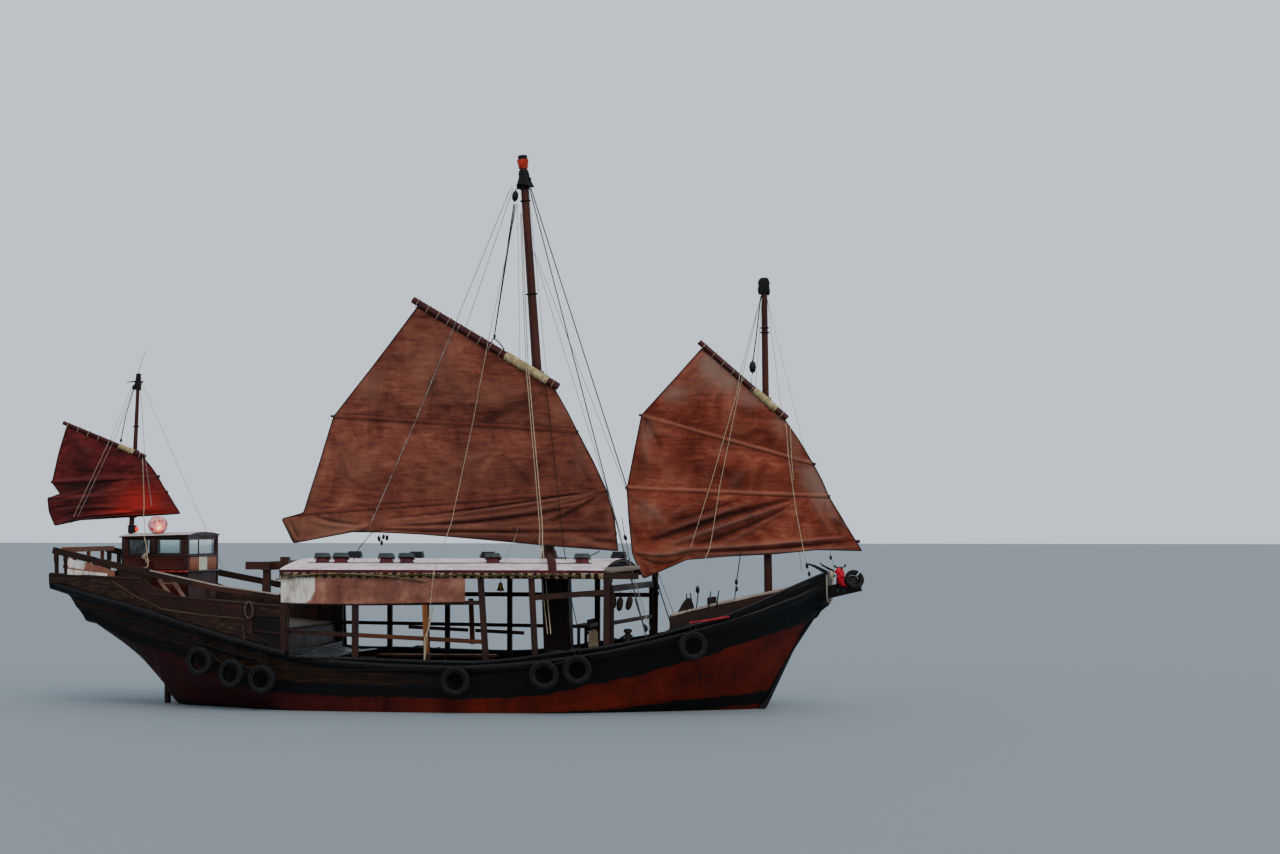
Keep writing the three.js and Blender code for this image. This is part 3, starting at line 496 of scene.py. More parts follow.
# %% Hull finish
hull_paint, shader = start("enamel_and_antifouling_on_planks", roughness=0.5, specular=0.18)
place = add(hull_paint, "TexCoord")
edge_noise = add(hull_paint, "TexNoise", None, {"Vector": place.outputs["Object"], "Scale": 2.2,
                                                "Detail": 6.0})
edge = add(hull_paint, "MapRange", None, {"Value": edge_noise.outputs["Fac"], "From Min": 0.3,
                                          "From Max": 0.7,
                                          "To Min": -0.035, "To Max": 0.035})
streak_place = add(hull_paint, "Mapping", None, {"Vector": place.outputs["Object"],
                                                 "Scale": (4.5, 1.0, 0.45)})
streaks = add(hull_paint, "TexNoise", None, {"Vector": streak_place.outputs["Vector"], "Scale": 2.4,
                                             "Detail": 8.0,
                                             "Roughness": 0.7})
grain_place = add(hull_paint, "Mapping", None, {"Vector": place.outputs["Object"], "Scale": (0.5, 14, 14)})
hull_grain = add(hull_paint, "TexNoise", None, {"Vector": grain_place.outputs["Vector"], "Scale": 2.0,
                                                "Detail": 8.0,
                                                "Roughness": 0.66})
worn_coat = add(hull_paint, "TexNoise", None, {"Vector": place.outputs["Object"], "Scale": 0.9,
                                               "Detail": 10.0,
                                               "Roughness": 0.6})
coat = add(hull_paint, "Mix", {"data_type": "FLOAT"},
           {0: 0.3, 2: worn_coat.outputs["Fac"], 3: streaks.outputs["Fac"]})
STEM_BAND = 7.08
layers = {}
for name, tones in (("bottom", ("350a04", "521105", "681a09")),
                    ("bottom_aft", ("200609", "310a0c", "40120f")),
                    ("topside", ("040406", "080809", "100d0d")), ("quarter", ("130c09", "281812", "47301f")),
                    ("strake", ("100a07", "22150b", "3a2413"))):
    source = hull_grain.outputs["Fac"] if name in ("quarter", "strake") else coat.outputs[0]
    layers[name] = add(hull_paint, "ValToRGB",
                       {"stops": [(0.36, tones[0]), (0.5, tones[1]), (0.66, tones[2])]},
                       {"Fac": source}).outputs["Color"]


def over(attribute, low, high, invert=False):
    """1 where a height above a line passes from low to high, moved by the brushed edge."""
    height = add(hull_paint, "Attribute", {"attribute_name": attribute})
    moved = add(hull_paint, "Math", {"operation": "ADD"}, {0: height.outputs["Fac"], 1: edge.outputs[0]})
    ends = (1.0, 0.0) if invert else (0.0, 1.0)
    return add(hull_paint, "MapRange", None, {"Value": moved.outputs[0], "From Min": low, "From Max": high,
                                              "To Min": ends[0], "To Max": ends[1]}).outputs[0]


def times(*factors):
    """The product of some factors."""
    result = factors[0]
    for factor in factors[1:]:
        result = add(hull_paint, "Math", {"operation": "MULTIPLY"}, {0: result, 1: factor}).outputs[0]
    return result


def cover(under, layer, factor):
    """Paints a layer over another where the factor is 1."""
    return add(hull_paint, "Mix", {"data_type": "RGBA"}, {0: factor, 6: under, 7: layer}).outputs[2]


position = add(hull_paint, "SeparateXYZ", None, {"Vector": place.outputs["Object"]}).outputs["X"]
aft = add(hull_paint, "MapRange", None, {"Value": position, "From Min": -2.3, "From Max": -3.2, "To Min": 0.0,
                                         "To Max": 1.0}).outputs[0]
waist = add(hull_paint, "MapRange", None, {"Value": position, "From Min": 1.6, "From Max": -0.6,
                                           "To Min": 0.0,
                                           "To Max": 1.0}).outputs[0]
crimson = add(hull_paint, "MapRange", None, {"Value": position, "From Min": 1.5, "From Max": -4.0,
                                             "To Min": 0.0,
                                             "To Max": 1.0}).outputs[0]
bottom = cover(layers["bottom"], layers["bottom_aft"], crimson)
colour = cover(bottom, layers["topside"], over("paint", -0.01, 0.01))
# boot-top band: black paint and a wet band, with a painted shadow along the waterline aft
colour = cover(colour, layers["topside"], times(over("boot", -0.27, -0.25),
                                                over("boot", -0.01, 0.01, invert=True)))
colour = cover(colour, layers["strake"], times(waist, over("paint", 0.25, 0.29),
                                               over("wale", -0.16, -0.12, invert=True)))
colour = cover(colour, layers["quarter"], times(aft, over("wale", 0.08, 0.12)))
height_at = add(hull_paint, "SeparateXYZ", None, {"Vector": place.outputs["Object"]}).outputs["Z"]
behind_stem = add(hull_paint, "Math", {"operation": "MULTIPLY_ADD"},
                  {0: height_at, 1: -0.573, 2: position}).outputs[0]
stem_band = add(hull_paint, "MapRange", None, {"Value": behind_stem, "From Min": STEM_BAND,
                                               "From Max": STEM_BAND + 0.02, "To Min": 0.0,
                                               "To Max": 1.0}).outputs[0]
colour = cover(colour, layers["topside"], stem_band)
own_uv = add(hull_paint, "UVMap", {"uv_map": "cut"})
planks = add(hull_paint, "TexBrick", {"offset": 0.43, "offset_frequency": 2},
             {"Vector": own_uv.outputs["UV"], "Scale": 1.0, "Brick Width": 19.0, "Row Height": 1.0,
              "Mortar Size": 0.02, "Mortar Smooth": 0.6, "Color1": (0.9, 0.9, 0.9, 1),
              "Color2": (1.08, 1.08, 1.08, 1),
              "Mortar": (0.45, 0.42, 0.4, 1)})
planked = add(hull_paint, "Mix", {"data_type": "RGBA", "blend_type": "MULTIPLY"},
              {0: 0.55, 6: colour, 7: planks.outputs["Color"]})
scuff_place = add(hull_paint, "Mapping", None, {"Vector": place.outputs["Object"], "Scale": (1.0, 3.0, 9.0)})
scuffs = add(hull_paint, "TexNoise", None, {"Vector": scuff_place.outputs["Vector"], "Scale": 3.2,
                                            "Detail": 9.0,
                                            "Roughness": 0.72})
worn = add(hull_paint, "MapRange", None, {"Value": scuffs.outputs["Fac"], "From Min": 0.64, "From Max": 0.78,
                                          "To Min": 0.0, "To Max": 0.3})
scuffed = add(hull_paint, "Mix", {"data_type": "RGBA"}, {0: worn.outputs[0], 6: planked.outputs[2],
                                                        7: linear("5c4a40")})
relief = add(hull_paint, "Math", {"operation": "SUBTRACT"},
             {0: hull_grain.outputs["Fac"], 1: planks.outputs["Fac"]})
bump = add(hull_paint, "Bump", None, {"Height": relief.outputs[0], "Strength": 0.4, "Distance": 0.006})
gloss = add(hull_paint, "MapRange", None, {"Value": streaks.outputs["Fac"], "From Min": 0.3, "From Max": 0.7,
                                           "To Min": 0.42, "To Max": 0.7})
link(hull_paint, scuffed.outputs[2], shader.inputs["Base Color"])
link(hull_paint, gloss.outputs[0], shader.inputs["Roughness"])
link(hull_paint, bump.outputs["Normal"], shader.inputs["Normal"])
fit_out(shell, "hull", hull_paint, angle=50)
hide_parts("hull", "bulwark_starboard", "bulwark_port", "stern_board", "bow_board")
print("hull painted")

# %% [markdown]
# ## Wales, rubbing strakes and cap rails
# A wale is a heavy half-round timber that takes the knocks. It follows a curved line on the planking, so
# its section is placed at each station from the planking's own half-breadth. The cap rail closes the tops
# of the planks the same way, and a thin lower moulding runs under the wale. The ends of the wales and of
# the moulding are tapered, as a shipwright would fair them in.

# %% Long timbers on the planking
def along_side(name, line, side, section_at, stops, body="hull", finish=None, taper=0.3):
    """A timber whose section is laid round a line on the planking, with faired ends."""
    first, last = stops
    stations = np.linspace(first, last, max(12, int((last - first) / 0.12)))
    loops = []
    for x in stations:
        ease = min(1, (x - first) / taper + 0.08, (last - x) / taper + 0.08) if taper else 1
        loops.append([(x, side * y, z) for y, z in section_at(x, level(line, x), ease)])
    if side > 0:
        loops = [loop[::-1] for loop in loops]
    piece = patch(name, loops, wrap=True, caps=True)
    outward(piece)
    return fit_out(piece, body, finish or black_enamel, angle=45)


def half_round(deep, proud, buried=0.03):
    """A half-round section against the side."""
    def at(x, z, ease):
        points = []
        for angle in np.linspace(-90, 90, 9):
            up = math.sin(math.radians(angle)) * deep / 2
            reach = math.cos(math.radians(angle)) ** 0.6 * proud * ease
            points.append((breadth(x, z + up) + reach, z + up))
        return points + [(breadth(x, z + deep / 2) - buried, z + deep / 2),
                         (breadth(x, z - deep / 2) - buried, z - deep / 2)]
    return at


def capping(wide, deep, over_edge):
    """A flat rail with eased edges that sits on the plank ends."""
    def at(x, z, ease):
        outer = breadth(x, z - 0.05) + over_edge
        inner = outer - wide
        low, high, bite = z - 0.012, z - 0.012 + deep, deep * 0.3
        return [(outer, low), (outer + 0.004, low + bite), (outer, high - bite), (outer - bite, high),
                (inner + bite, high), (inner, high - bite), (inner, low)]
    return at


QUARTER_TOP = [(-8.4, 2.916), (-6.7, 2.835), (-6.05, 2.815)]
STEP_TOP = [(-6.0, 2.48), (-3.85, 2.31), (-2.8, 2.24)]
LOWER_MOULDING = [(x, z - 0.3) for x, z in wale_line if x < -3.4]
for side_name, side in (("starboard", -1), ("port", 1)):
    made = along_side("wale_timber_" + side_name, wale_line, side, half_round(0.19, 0.085), (-8.28, 8.5))
    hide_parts("wale_" + side_name)
    along_side("lower_moulding_" + side_name, LOWER_MOULDING, side, half_round(0.07, 0.035), (-7.35, -3.5))
    along_side("cap_rail_fore_" + side_name, sheer, side, capping(0.16, 0.05, 0.03), (-2.76, 8.56), taper=0)
    along_side("cap_rail_step_" + side_name, STEP_TOP, side, capping(0.13, 0.045, 0.02), (-6.02, -2.77),
               taper=0,
               finish=oiled_beam)
    along_side("cap_rail_aft_" + side_name, QUARTER_TOP, side, capping(0.13, 0.045, 0.02), (-8.38, -6.03),
               taper=0,
               finish=oiled_beam)
print("wales and rails laid")

# %% [markdown]
# ## Sails
# A junk sail is one cloth between yard, battens and boom. Between the battens it bags to leeward, along
# each batten a sleeve is sewn, and where a line pulls at it the cloth gathers in creases that fan out from
# that point. A dense grid is laid between the frame's leech and luff. Its bagging comes from the frame's
# rows, and every crease is a ridge or a hollow along a curved line of a short table, so folds can be moved
# one by one.

# %% Sail tables
# aft x, aft z, fore x, fore z, belly; rows from the yard down, as in the frame
SAIL_ROWS = {
    "main": [(-0.453, 8.831, 2.64, 6.98, 0.01), (-1.406, 7.6, 2.93, 6.48, 0.15),
             (-2.361, 6.4, 3.154, 6.036, 0.03),
             (-2.68, 5.38, 3.5, 5.39, 0.15), (-3.04, 4.26, 3.8, 4.74, 0.03), (-3.54, 4.13, 3.88, 4.46, 0.05),
             (-3.4, 3.86, 3.97, 4.15, 0.06), (-3.27, 3.59, 4.05, 3.43, 0.03)],
    "fore": [(5.901, 7.855, 7.738, 6.245, 0.01), (5.239, 7.13, 8.042, 5.8, 0.11),
             (4.567, 6.402, 8.356, 5.27, 0.03),
             (4.41, 5.64, 8.52, 4.96, 0.11), (4.239, 4.79, 8.668, 4.61, 0.03),
             (4.285, 4.11, 8.927, 4.18, 0.08),
             (4.363, 3.37, 9.16, 3.79, 0.04), (4.608, 2.826, 9.372, 3.44, 0.02)],
    "mizzen": [(-8.597, 6.226, -6.76, 5.482, 0.01), (-8.8, 5.56, -6.58, 5.27, 0.07),
               (-8.934, 4.951, -6.44, 5.08, 0.02),
               (-8.743, 4.7, -6.33, 4.88, 0.03), (-9.035, 4.587, -6.23, 4.73, 0.02),
               (-9.0, 4.3, -6.06, 4.47, 0.05),
               (-8.86, 3.978, -5.92, 4.25, 0.01)],
}
FOOT_RISE = {"main": (0, 0.3, 0.265, 0.175, 0.075, 0), "fore": (0, 0.292, 0.249, 0.172, 0.144, 0),
             "mizzen": (0, 0.067, 0.082, 0.066, 0.035, 0)}
SAIL_PLANE = {"main": -0.3, "fore": -0.26, "mizzen": -0.2}
BATTENS = {"main": [((-2.44, 6.42), (3.16, 6.05)), ((-3.1, 4.25), (3.83, 4.75))],
           "fore": [((4.5, 6.41), (8.38, 5.31)), ((4.19, 4.81), (8.69, 4.62))],
           "mizzen": [((-8.98, 4.96), (-6.42, 5.09)), ((-9.04, 4.6), (-6.23, 4.74))]}
# start x, start z, end x, end z, sag, half width, height; a height below zero is a hollow
CREASES = {
    "main": [
        (3.6, 4.7, -1.45, 4.05, -0.06, 0.06, 0.05), (3.6, 4.77, -1.35, 4.1, -0.06, 0.04, -0.04),
        (3.35, 4.5, -1.4, 4.0, -0.09, 0.05, 0.05), (3.15, 4.4, -1.1, 3.97, -0.1, 0.04, -0.045),
        (2.85, 4.2, -0.65, 3.95, -0.08, 0.05, 0.045), (3.95, 4.0, -1.35, 3.95, -0.06, 0.06, 0.06),
        (3.95, 3.88, -1.2, 3.88, -0.03, 0.04, -0.05), (4.1, 3.75, -1.3, 3.83, -0.02, 0.07, 0.06),
        (3.65, 4.7, 3.3, 4.05, 0.02, 0.06, 0.03), (3.6, 4.62, 2.5, 4.06, -0.03, 0.05, -0.035),
        (3.5, 4.67, 1.8, 4.24, -0.02, 0.05, 0.04), (3.55, 4.66, 2.1, 4.0, -0.05, 0.05, 0.04),
        (2.65, 3.74, 4.1, 3.44, 0.02, 0.07, 0.045), (2.95, 3.8, 4.05, 3.6, 0.0, 0.05, -0.04),
        (-1.5, 4.0, -2.95, 4.12, -0.09, 0.07, 0.04), (-1.5, 3.97, -3.0, 3.65, 0.0, 0.07, 0.055),
        (-1.5, 3.95, -2.75, 3.6, -0.05, 0.05, -0.04), (-1.55, 4.0, -2.8, 4.2, -0.05, 0.05, -0.03),
        (-3.02, 4.16, -3.12, 3.56, 0.0, 0.05, 0.045), (-3.5, 4.1, -3.15, 3.6, 0.02, 0.05, 0.04),
        (-3.6, 4.05, -3.2, 3.55, -0.08, 0.05, -0.04), (-3.35, 4.14, -3.15, 3.7, 0.0, 0.03, -0.03),
        (-2.3, 5.95, -1.85, 4.9, 0.0, 0.08, 0.016), (-2.45, 5.95, -2.8, 4.45, 0.05, 0.08, 0.02),
        (-1.2, 4.7, -2.25, 5.95, 0.1, 0.14, 0.02), (0.7, 5.7, 0.65, 4.7, 0.05, 0.16, 0.018),
        (1.4, 5.65, 2.15, 4.8, 0.05, 0.09, -0.016), (3.1, 5.95, 3.6, 4.9, 0.02, 0.06, 0.022),
        (3.0, 5.9, 3.45, 4.85, -0.04, 0.06, -0.02), (2.65, 6.85, 3.05, 6.15, 0.02, 0.06, 0.018),
        (-0.4, 8.7, -1.6, 6.8, -0.1, 0.13, 0.022), (-0.15, 8.6, 0.65, 6.75, 0.15, 0.17, 0.018),
        (2.45, 6.95, 0.9, 6.2, -0.06, 0.14, -0.018), (-2.25, 6.45, 1.4, 6.65, 0.12, 0.1, 0.014),
        (-0.55, 4.8, 1.65, 5.9, -0.04, 0.18, 0.02), (0.2, 8.3, 1.3, 6.6, 0.1, 0.12, 0.014),
    ],
    "fore": [
        (4.3, 4.65, 5.15, 4.0, 0.06, 0.12, 0.035), (4.3, 4.6, 4.4, 3.45, 0.02, 0.06, 0.02),
        (7.85, 4.55, 4.75, 3.65, 0.05, 0.08, -0.06), (7.85, 4.48, 5.15, 3.55, 0.0, 0.07, 0.055),
        (7.8, 4.4, 5.7, 3.53, -0.05, 0.06, -0.045), (7.05, 4.52, 4.85, 3.78, -0.02, 0.08, 0.045),
        (6.7, 4.55, 5.15, 4.05, -0.03, 0.06, -0.03), (6.0, 4.6, 5.15, 4.2, -0.02, 0.06, 0.025),
        (7.95, 4.45, 6.25, 3.53, -0.04, 0.06, 0.035), (9.1, 3.75, 5.2, 3.45, -0.04, 0.07, 0.055),
        (9.2, 3.67, 5.7, 3.4, -0.05, 0.05, -0.05), (9.3, 3.53, 5.7, 3.35, -0.03, 0.08, 0.055),
        (4.4, 3.42, 5.65, 3.46, -0.09, 0.07, 0.045), (4.4, 3.37, 5.5, 3.28, -0.16, 0.06, -0.035),
        (4.4, 3.35, 4.6, 2.85, 0.0, 0.07, 0.035), (4.5, 3.3, 4.85, 2.9, 0.05, 0.06, 0.03),
        (8.55, 4.48, 8.95, 3.78, -0.1, 0.06, -0.035), (8.3, 4.55, 8.7, 3.85, -0.03, 0.07, 0.035),
        (8.0, 4.48, 8.35, 3.74, -0.1, 0.09, 0.022), (8.75, 4.2, 9.15, 3.85, 0.0, 0.06, 0.028),
        (4.55, 6.35, 4.7, 5.2, 0.02, 0.08, 0.026), (4.65, 6.3, 5.05, 5.6, 0.03, 0.08, -0.02),
        (4.7, 6.3, 5.5, 5.85, -0.05, 0.09, 0.018), (4.6, 5.75, 4.9, 4.95, -0.05, 0.07, 0.02),
        (5.9, 7.75, 5.15, 6.7, 0.06, 0.1, 0.02), (6.05, 7.7, 6.55, 6.3, 0.15, 0.15, 0.018),
        (7.7, 6.3, 6.5, 6.55, -0.05, 0.13, -0.016), (7.75, 6.15, 8.0, 5.1, 0.0, 0.08, 0.02),
        (6.9, 5.25, 6.5, 4.75, 0.02, 0.12, 0.02), (6.0, 5.45, 6.0, 4.85, 0.1, 0.13, 0.018),
    ],
    "mizzen": [
        (-8.9, 5.0, -7.05, 5.1, 0.0, 0.05, 0.035), (-8.85, 4.93, -7.5, 5.0, -0.08, 0.06, -0.05),
        (-9.0, 4.6, -6.9, 5.3, -0.12, 0.06, 0.045), (-8.95, 4.56, -6.95, 5.2, -0.1, 0.05, -0.04),
        (-9.0, 4.52, -7.3, 4.8, -0.03, 0.07, 0.04), (-8.95, 4.38, -7.5, 4.5, 0.0, 0.06, -0.035),
        (-8.9, 4.3, -7.2, 4.33, 0.1, 0.06, 0.04), (-8.7, 4.2, -6.8, 4.28, 0.1, 0.06, -0.04),
        (-8.5, 4.15, -6.0, 4.4, 0.0, 0.06, 0.04), (-8.5, 4.13, -6.0, 4.26, 0.03, 0.05, -0.04),
        (-8.5, 4.12, -6.0, 4.2, 0.0, 0.05, 0.04), (-8.85, 4.0, -8.5, 4.14, 0.0, 0.06, 0.035),
        (-6.85, 5.43, -6.25, 4.55, 0.0, 0.07, 0.022), (-6.8, 5.4, -7.4, 4.6, 0.0, 0.1, 0.026),
        (-6.85, 5.35, -7.75, 4.85, 0.0, 0.07, -0.026), (-6.8, 5.43, -6.8, 4.4, 0.0, 0.08, 0.02),
        (-8.6, 6.2, -8.0, 5.6, -0.05, 0.08, 0.015), (-7.05, 4.33, -6.0, 4.5, 0.0, 0.06, 0.03),
    ],
}
# centre x, centre z, reach in x, reach in z, strength; the cloth is washed out there
PALE = {
    "main": [(-1.55, 7.1, 0.3, 0.4, 0.8), (-0.1, 7.6, 0.8, 0.9, 0.55), (1.5, 6.9, 0.9, 0.35, 0.45),
             (-1.9, 5.3, 0.7, 0.6, 0.45), (-2.3, 3.9, 0.8, 0.3, 1.0), (-3.3, 3.95, 0.25, 0.3, 0.9),
             (3.2, 5.5, 0.2, 0.6, 0.65), (2.8, 6.5, 0.2, 0.35, 0.6), (-2.85, 5.0, 0.15, 0.8, 0.55),
             (0.7, 5.5, 1.0, 0.5, 0.25), (3.9, 4.2, 0.12, 0.4, 0.6), (3.3, 3.65, 0.5, 0.1, 0.5)],
    "fore": [(6.1, 7.55, 0.3, 0.3, 1.0), (6.5, 7.15, 0.35, 0.3, 0.9), (7.0, 6.75, 0.35, 0.25, 0.8),
             (7.6, 6.2, 0.25, 0.3, 0.6), (5.25, 6.85, 0.35, 0.25, 0.7), (7.95, 5.75, 0.2, 0.3, 0.5),
             (8.3, 5.05, 0.3, 0.35, 1.0), (8.55, 4.6, 0.25, 0.35, 0.9), (8.75, 4.2, 0.15, 0.2, 0.5),
             (4.7, 6.0, 0.2, 0.4, 0.6), (4.7, 4.25, 0.4, 0.3, 0.5), (5.9, 7.1, 0.5, 0.5, 0.35),
             (4.8, 3.25, 0.3, 0.2, 0.3), (6.5, 5.7, 0.8, 0.3, 0.25)],
    "mizzen": [(-8.05, 5.7, 0.2, 0.12, 0.35), (-8.3, 6.0, 0.3, 0.2, 0.15)],
}
# the same columns, for places where the cloth's colour is made darker
DARK = {
    "main": [(1.8, 4.15, 1.4, 0.25, 0.45), (3.5, 3.95, 0.4, 0.25, 0.5), (-3.45, 3.9, 0.2, 0.25, 0.5),
             (0.0, 3.75, 2.6, 0.08, 0.8), (2.0, 6.15, 1.4, 0.14, 0.3), (1.0, 5.2, 1.4, 0.5, 0.25)],
    "fore": [(8.95, 4.05, 0.25, 0.18, 1.0), (5.8, 3.95, 1.1, 0.3, 0.6), (4.5, 5.2, 0.2, 0.4, 0.5),
             (6.9, 5.9, 1.1, 0.3, 0.45), (5.3, 5.3, 0.7, 0.35, 0.4), (7.2, 5.0, 1.0, 0.2, 0.4),
             (7.0, 3.38, 2.2, 0.06, 0.7), (5.1, 6.4, 0.5, 0.25, 0.4)],
    "mizzen": [(-8.4, 4.85, 0.7, 0.12, 0.8), (-8.6, 4.3, 0.5, 0.3, 0.4), (-6.15, 4.5, 0.2, 0.12, 0.6)],
}
# painted light: the lantern's red light on the mizzen's lower fore part, mixed into the cloth's colour; same columns
# as above
GLOW = {"main": [], "fore": [], "mizzen": [(-6.85, 4.55, 0.5, 0.35, 1.0), (-6.9, 4.3, 0.8, 0.1, 1.0)]}
print("sail tables hold", sum(len(table) for table in CREASES.values()), "creases")

# %% Tanned canvas
def tanned_canvas(name, tones, washed, sleeve, lit=None):
    """Cotton canvas dyed with tan bark: blotched in the dip, bleached by the sun, with painted shade in the troughs of
    its creases and a painted highlight on their ridges.
    """
    material, shader = start(name, roughness=0.9, specular=0.12)
    shader.inputs["Sheen Weight"].default_value = 0.05
    shader.inputs["Sheen Roughness"].default_value = 0.6
    place = add(material, "TexCoord")
    cut = add(material, "UVMap", {"uv_map": "cut"})
    cloud = add(material, "TexNoise", None, {"Vector": place.outputs["Object"], "Scale": 1.1, "Detail": 9.0,
                                             "Roughness": 0.68, "Distortion": 0.8})
    brushed_place = add(material, "Mapping", None,
                        {"Vector": place.outputs["Object"], "Scale": (1.2, 1.0, 6.5)})
    brushed = add(material, "TexNoise", None, {"Vector": brushed_place.outputs["Vector"], "Scale": 2.0,
                                               "Detail": 9.0,
                                               "Roughness": 0.7})
    dip = add(material, "Mix", {"data_type": "FLOAT"},
              {0: 0.42, 2: cloud.outputs["Fac"], 3: brushed.outputs["Fac"]})
    dyed = add(material, "ValToRGB",
               {"stops": [(0.36, tones[0]), (0.46, tones[1]), (0.54, tones[2]), (0.64, tones[3])]},
               {"Fac": dip.outputs[0]})
    spots = add(material, "TexNoise", None, {"Vector": place.outputs["Object"], "Scale": 7.0, "Detail": 8.0,
                                             "Roughness": 0.7})
    pale = add(material, "Attribute", {"attribute_name": "pale"})
    ragged = add(material, "Math", {"operation": "MULTIPLY_ADD"}, {0: spots.outputs["Fac"], 1: 1.4, 2: -0.7})
    pale_edge = add(material, "Math", {"operation": "MULTIPLY_ADD"},
                    {0: ragged.outputs[0], 1: 0.6, 2: pale.outputs["Fac"]})
    pale_amount = add(material, "MapRange", None,
                      {"Value": pale_edge.outputs[0], "From Min": 0.15, "From Max": 1.1,
                                                   "To Min": 0.0, "To Max": 0.85})
    colour = add(material, "Mix", {"data_type": "RGBA"}, {0: pale_amount.outputs[0], 6: dyed.outputs["Color"],
                                                         7: linear(washed)}).outputs[2]
    # the dark spots darken the cloth; the troughs of the creases get painted shade
    for attribute, tone, strength in (("dark", tones[0], 0.85), ("hollow", "1c0a07", 0.75)):
        amount = add(material, "Attribute", {"attribute_name": attribute})
        limited = add(material, "MapRange", None,
                      {"Value": amount.outputs["Fac"], "From Min": 0.0, "From Max": 1.0,
                                                   "To Min": 0.0, "To Max": strength})
        colour = add(material, "Mix", {"data_type": "RGBA"},
                     {0: limited.outputs[0], 6: colour, 7: linear(tone)}).outputs[2]
    # sleeves and stitching are sewn colour; the ridges of the creases get a painted highlight in the washed tone
    for attribute, tone, strength in (("sleeve", sleeve, 0.55), ("stitch", "170806", 0.8),
                                      ("crest", washed, 0.35)):
        amount = add(material, "Attribute", {"attribute_name": attribute})
        limited = add(material, "Math", {"operation": "MULTIPLY"}, {0: amount.outputs["Fac"], 1: strength})
        colour = add(material, "Mix", {"data_type": "RGBA"},
                     {0: limited.outputs[0], 6: colour, 7: linear(tone)}).outputs[2]
    widths = add(material, "TexBrick", {"offset": 0.0}, {"Vector": cut.outputs["UV"], "Scale": 1.0,
                                                         "Brick Width": 0.78, "Row Height": 40.0,
                                                         "Mortar Size": 0.007, "Mortar Smooth": 0.6,
                                                         "Color1": (0.88, 0.88, 0.88, 1),
                                                         "Color2": (1.06, 1.06, 1.06, 1),
                                                         "Mortar": (0.62, 0.6, 0.6, 1)})
    colour = add(material, "Mix", {"data_type": "RGBA", "blend_type": "MULTIPLY"},
                 {0: 0.7, 6: colour, 7: widths.outputs["Color"]}).outputs[2]
    # painted light: the lantern's red light, mixed into the base colour where glow is marked
    if lit:
        glow = add(material, "Attribute", {"attribute_name": "glow"})
        colour = add(material, "Mix", {"data_type": "RGBA"},
                     {0: glow.outputs["Fac"], 6: colour, 7: linear(lit)}).outputs[2]
    warp = add(material, "TexWave", {"wave_type": "BANDS", "bands_direction": "X"},
               {"Vector": cut.outputs["UV"], "Scale": 40.0, "Distortion": 1.2, "Detail": 2.0})
    weft = add(material, "TexWave", {"wave_type": "BANDS", "bands_direction": "Y"},
               {"Vector": cut.outputs["UV"], "Scale": 40.0, "Distortion": 1.2, "Detail": 2.0})
    weave = add(material, "Math", {"operation": "MAXIMUM"}, {0: warp.outputs["Fac"], 1: weft.outputs["Fac"]})
    crinkle = add(material, "TexNoise", None, {"Vector": place.outputs["Object"], "Scale": 5.0, "Detail": 8.0,
                                               "Roughness": 0.65})
    fine = add(material, "Bump", None, {"Height": weave.outputs[0], "Strength": 0.12, "Distance": 0.002})
    rumpled = add(material, "Bump", None, {"Height": crinkle.outputs["Fac"], "Strength": 0.55,
                                           "Distance": 0.03,
                                           "Normal": fine.outputs["Normal"]})
    link(material, colour, shader.inputs["Base Color"])
    link(material, rumpled.outputs["Normal"], shader.inputs["Normal"])
    return material


SAIL_FINISH = {
    "main": tanned_canvas("tan_bark_canvas_main", ("3a1610", "602f25", "743f31", "8b5644"), "805645",
                          "5f2a22"),
    "fore": tanned_canvas("tan_bark_canvas_fore", ("3c120c", "66291c", "7c3a29", "93553d"), "80665a",
                          "99614d"),
    "mizzen": tanned_canvas("tan_bark_canvas_mizzen", ("220909", "421212", "581a1a", "702824"), "6e3c38",
                            "6a2826", lit="93211a"),
}

# %% Cloth with creases
SAIL_GRID = {"main": (176, 180), "fore": (160, 150), "mizzen": (110, 120)}
CLOTH_THICK = 0.004
STITCH_ABOVE = {"main": 0.8, "fore": 0.15, "mizzen": 0.3}
FOLD_DEPTH = {"main": 1.35, "fore": 1.15, "mizzen": 1.1}
SLEEVE_HALF = 0.035


def spots_at(table, x, z):
    """The strength of a table's soft spots at x and z."""
    total = np.zeros_like(x)
    for cx, cz, rx, rz, strength in table:
        total += strength * np.exp(-(((x - cx) / rx) ** 2 + ((z - cz) / rz) ** 2))
    return total


def creases_at(table, x, z):
    """The height of a table's creases at x and z."""
    total = np.zeros_like(x)
    for x0, z0, x1, z1, sag, half_width, height in table:
        length = math.hypot(x1 - x0, z1 - z0)
        ux, uz = (x1 - x0) / length, (z1 - z0) / length
        along = ((x - x0) * ux + (z - z0) * uz) / length
        inside = np.clip(along, 0, 1)
        nearest_x = x0 + (x1 - x0) * inside
        nearest_z = z0 + (z1 - z0) * inside + 4 * sag * inside * (1 - inside)
        gap = np.hypot(x - nearest_x, z - nearest_z)
        swell = np.clip(4 * inside * (1 - inside), 0, 1) ** 0.45
        wide = half_width * (0.55 + 0.6 * inside)
        total += height * swell / (1 + (gap / wide) ** 2) ** 2
    return total


def rumple(x, z, scale, seed):
    """Smooth noise over the cloth."""
    return np.array([noise.noise(Vector((a * scale, b * scale, seed))) for a,
                     b in zip(x.ravel(), z.ravel())]).reshape(x.shape)


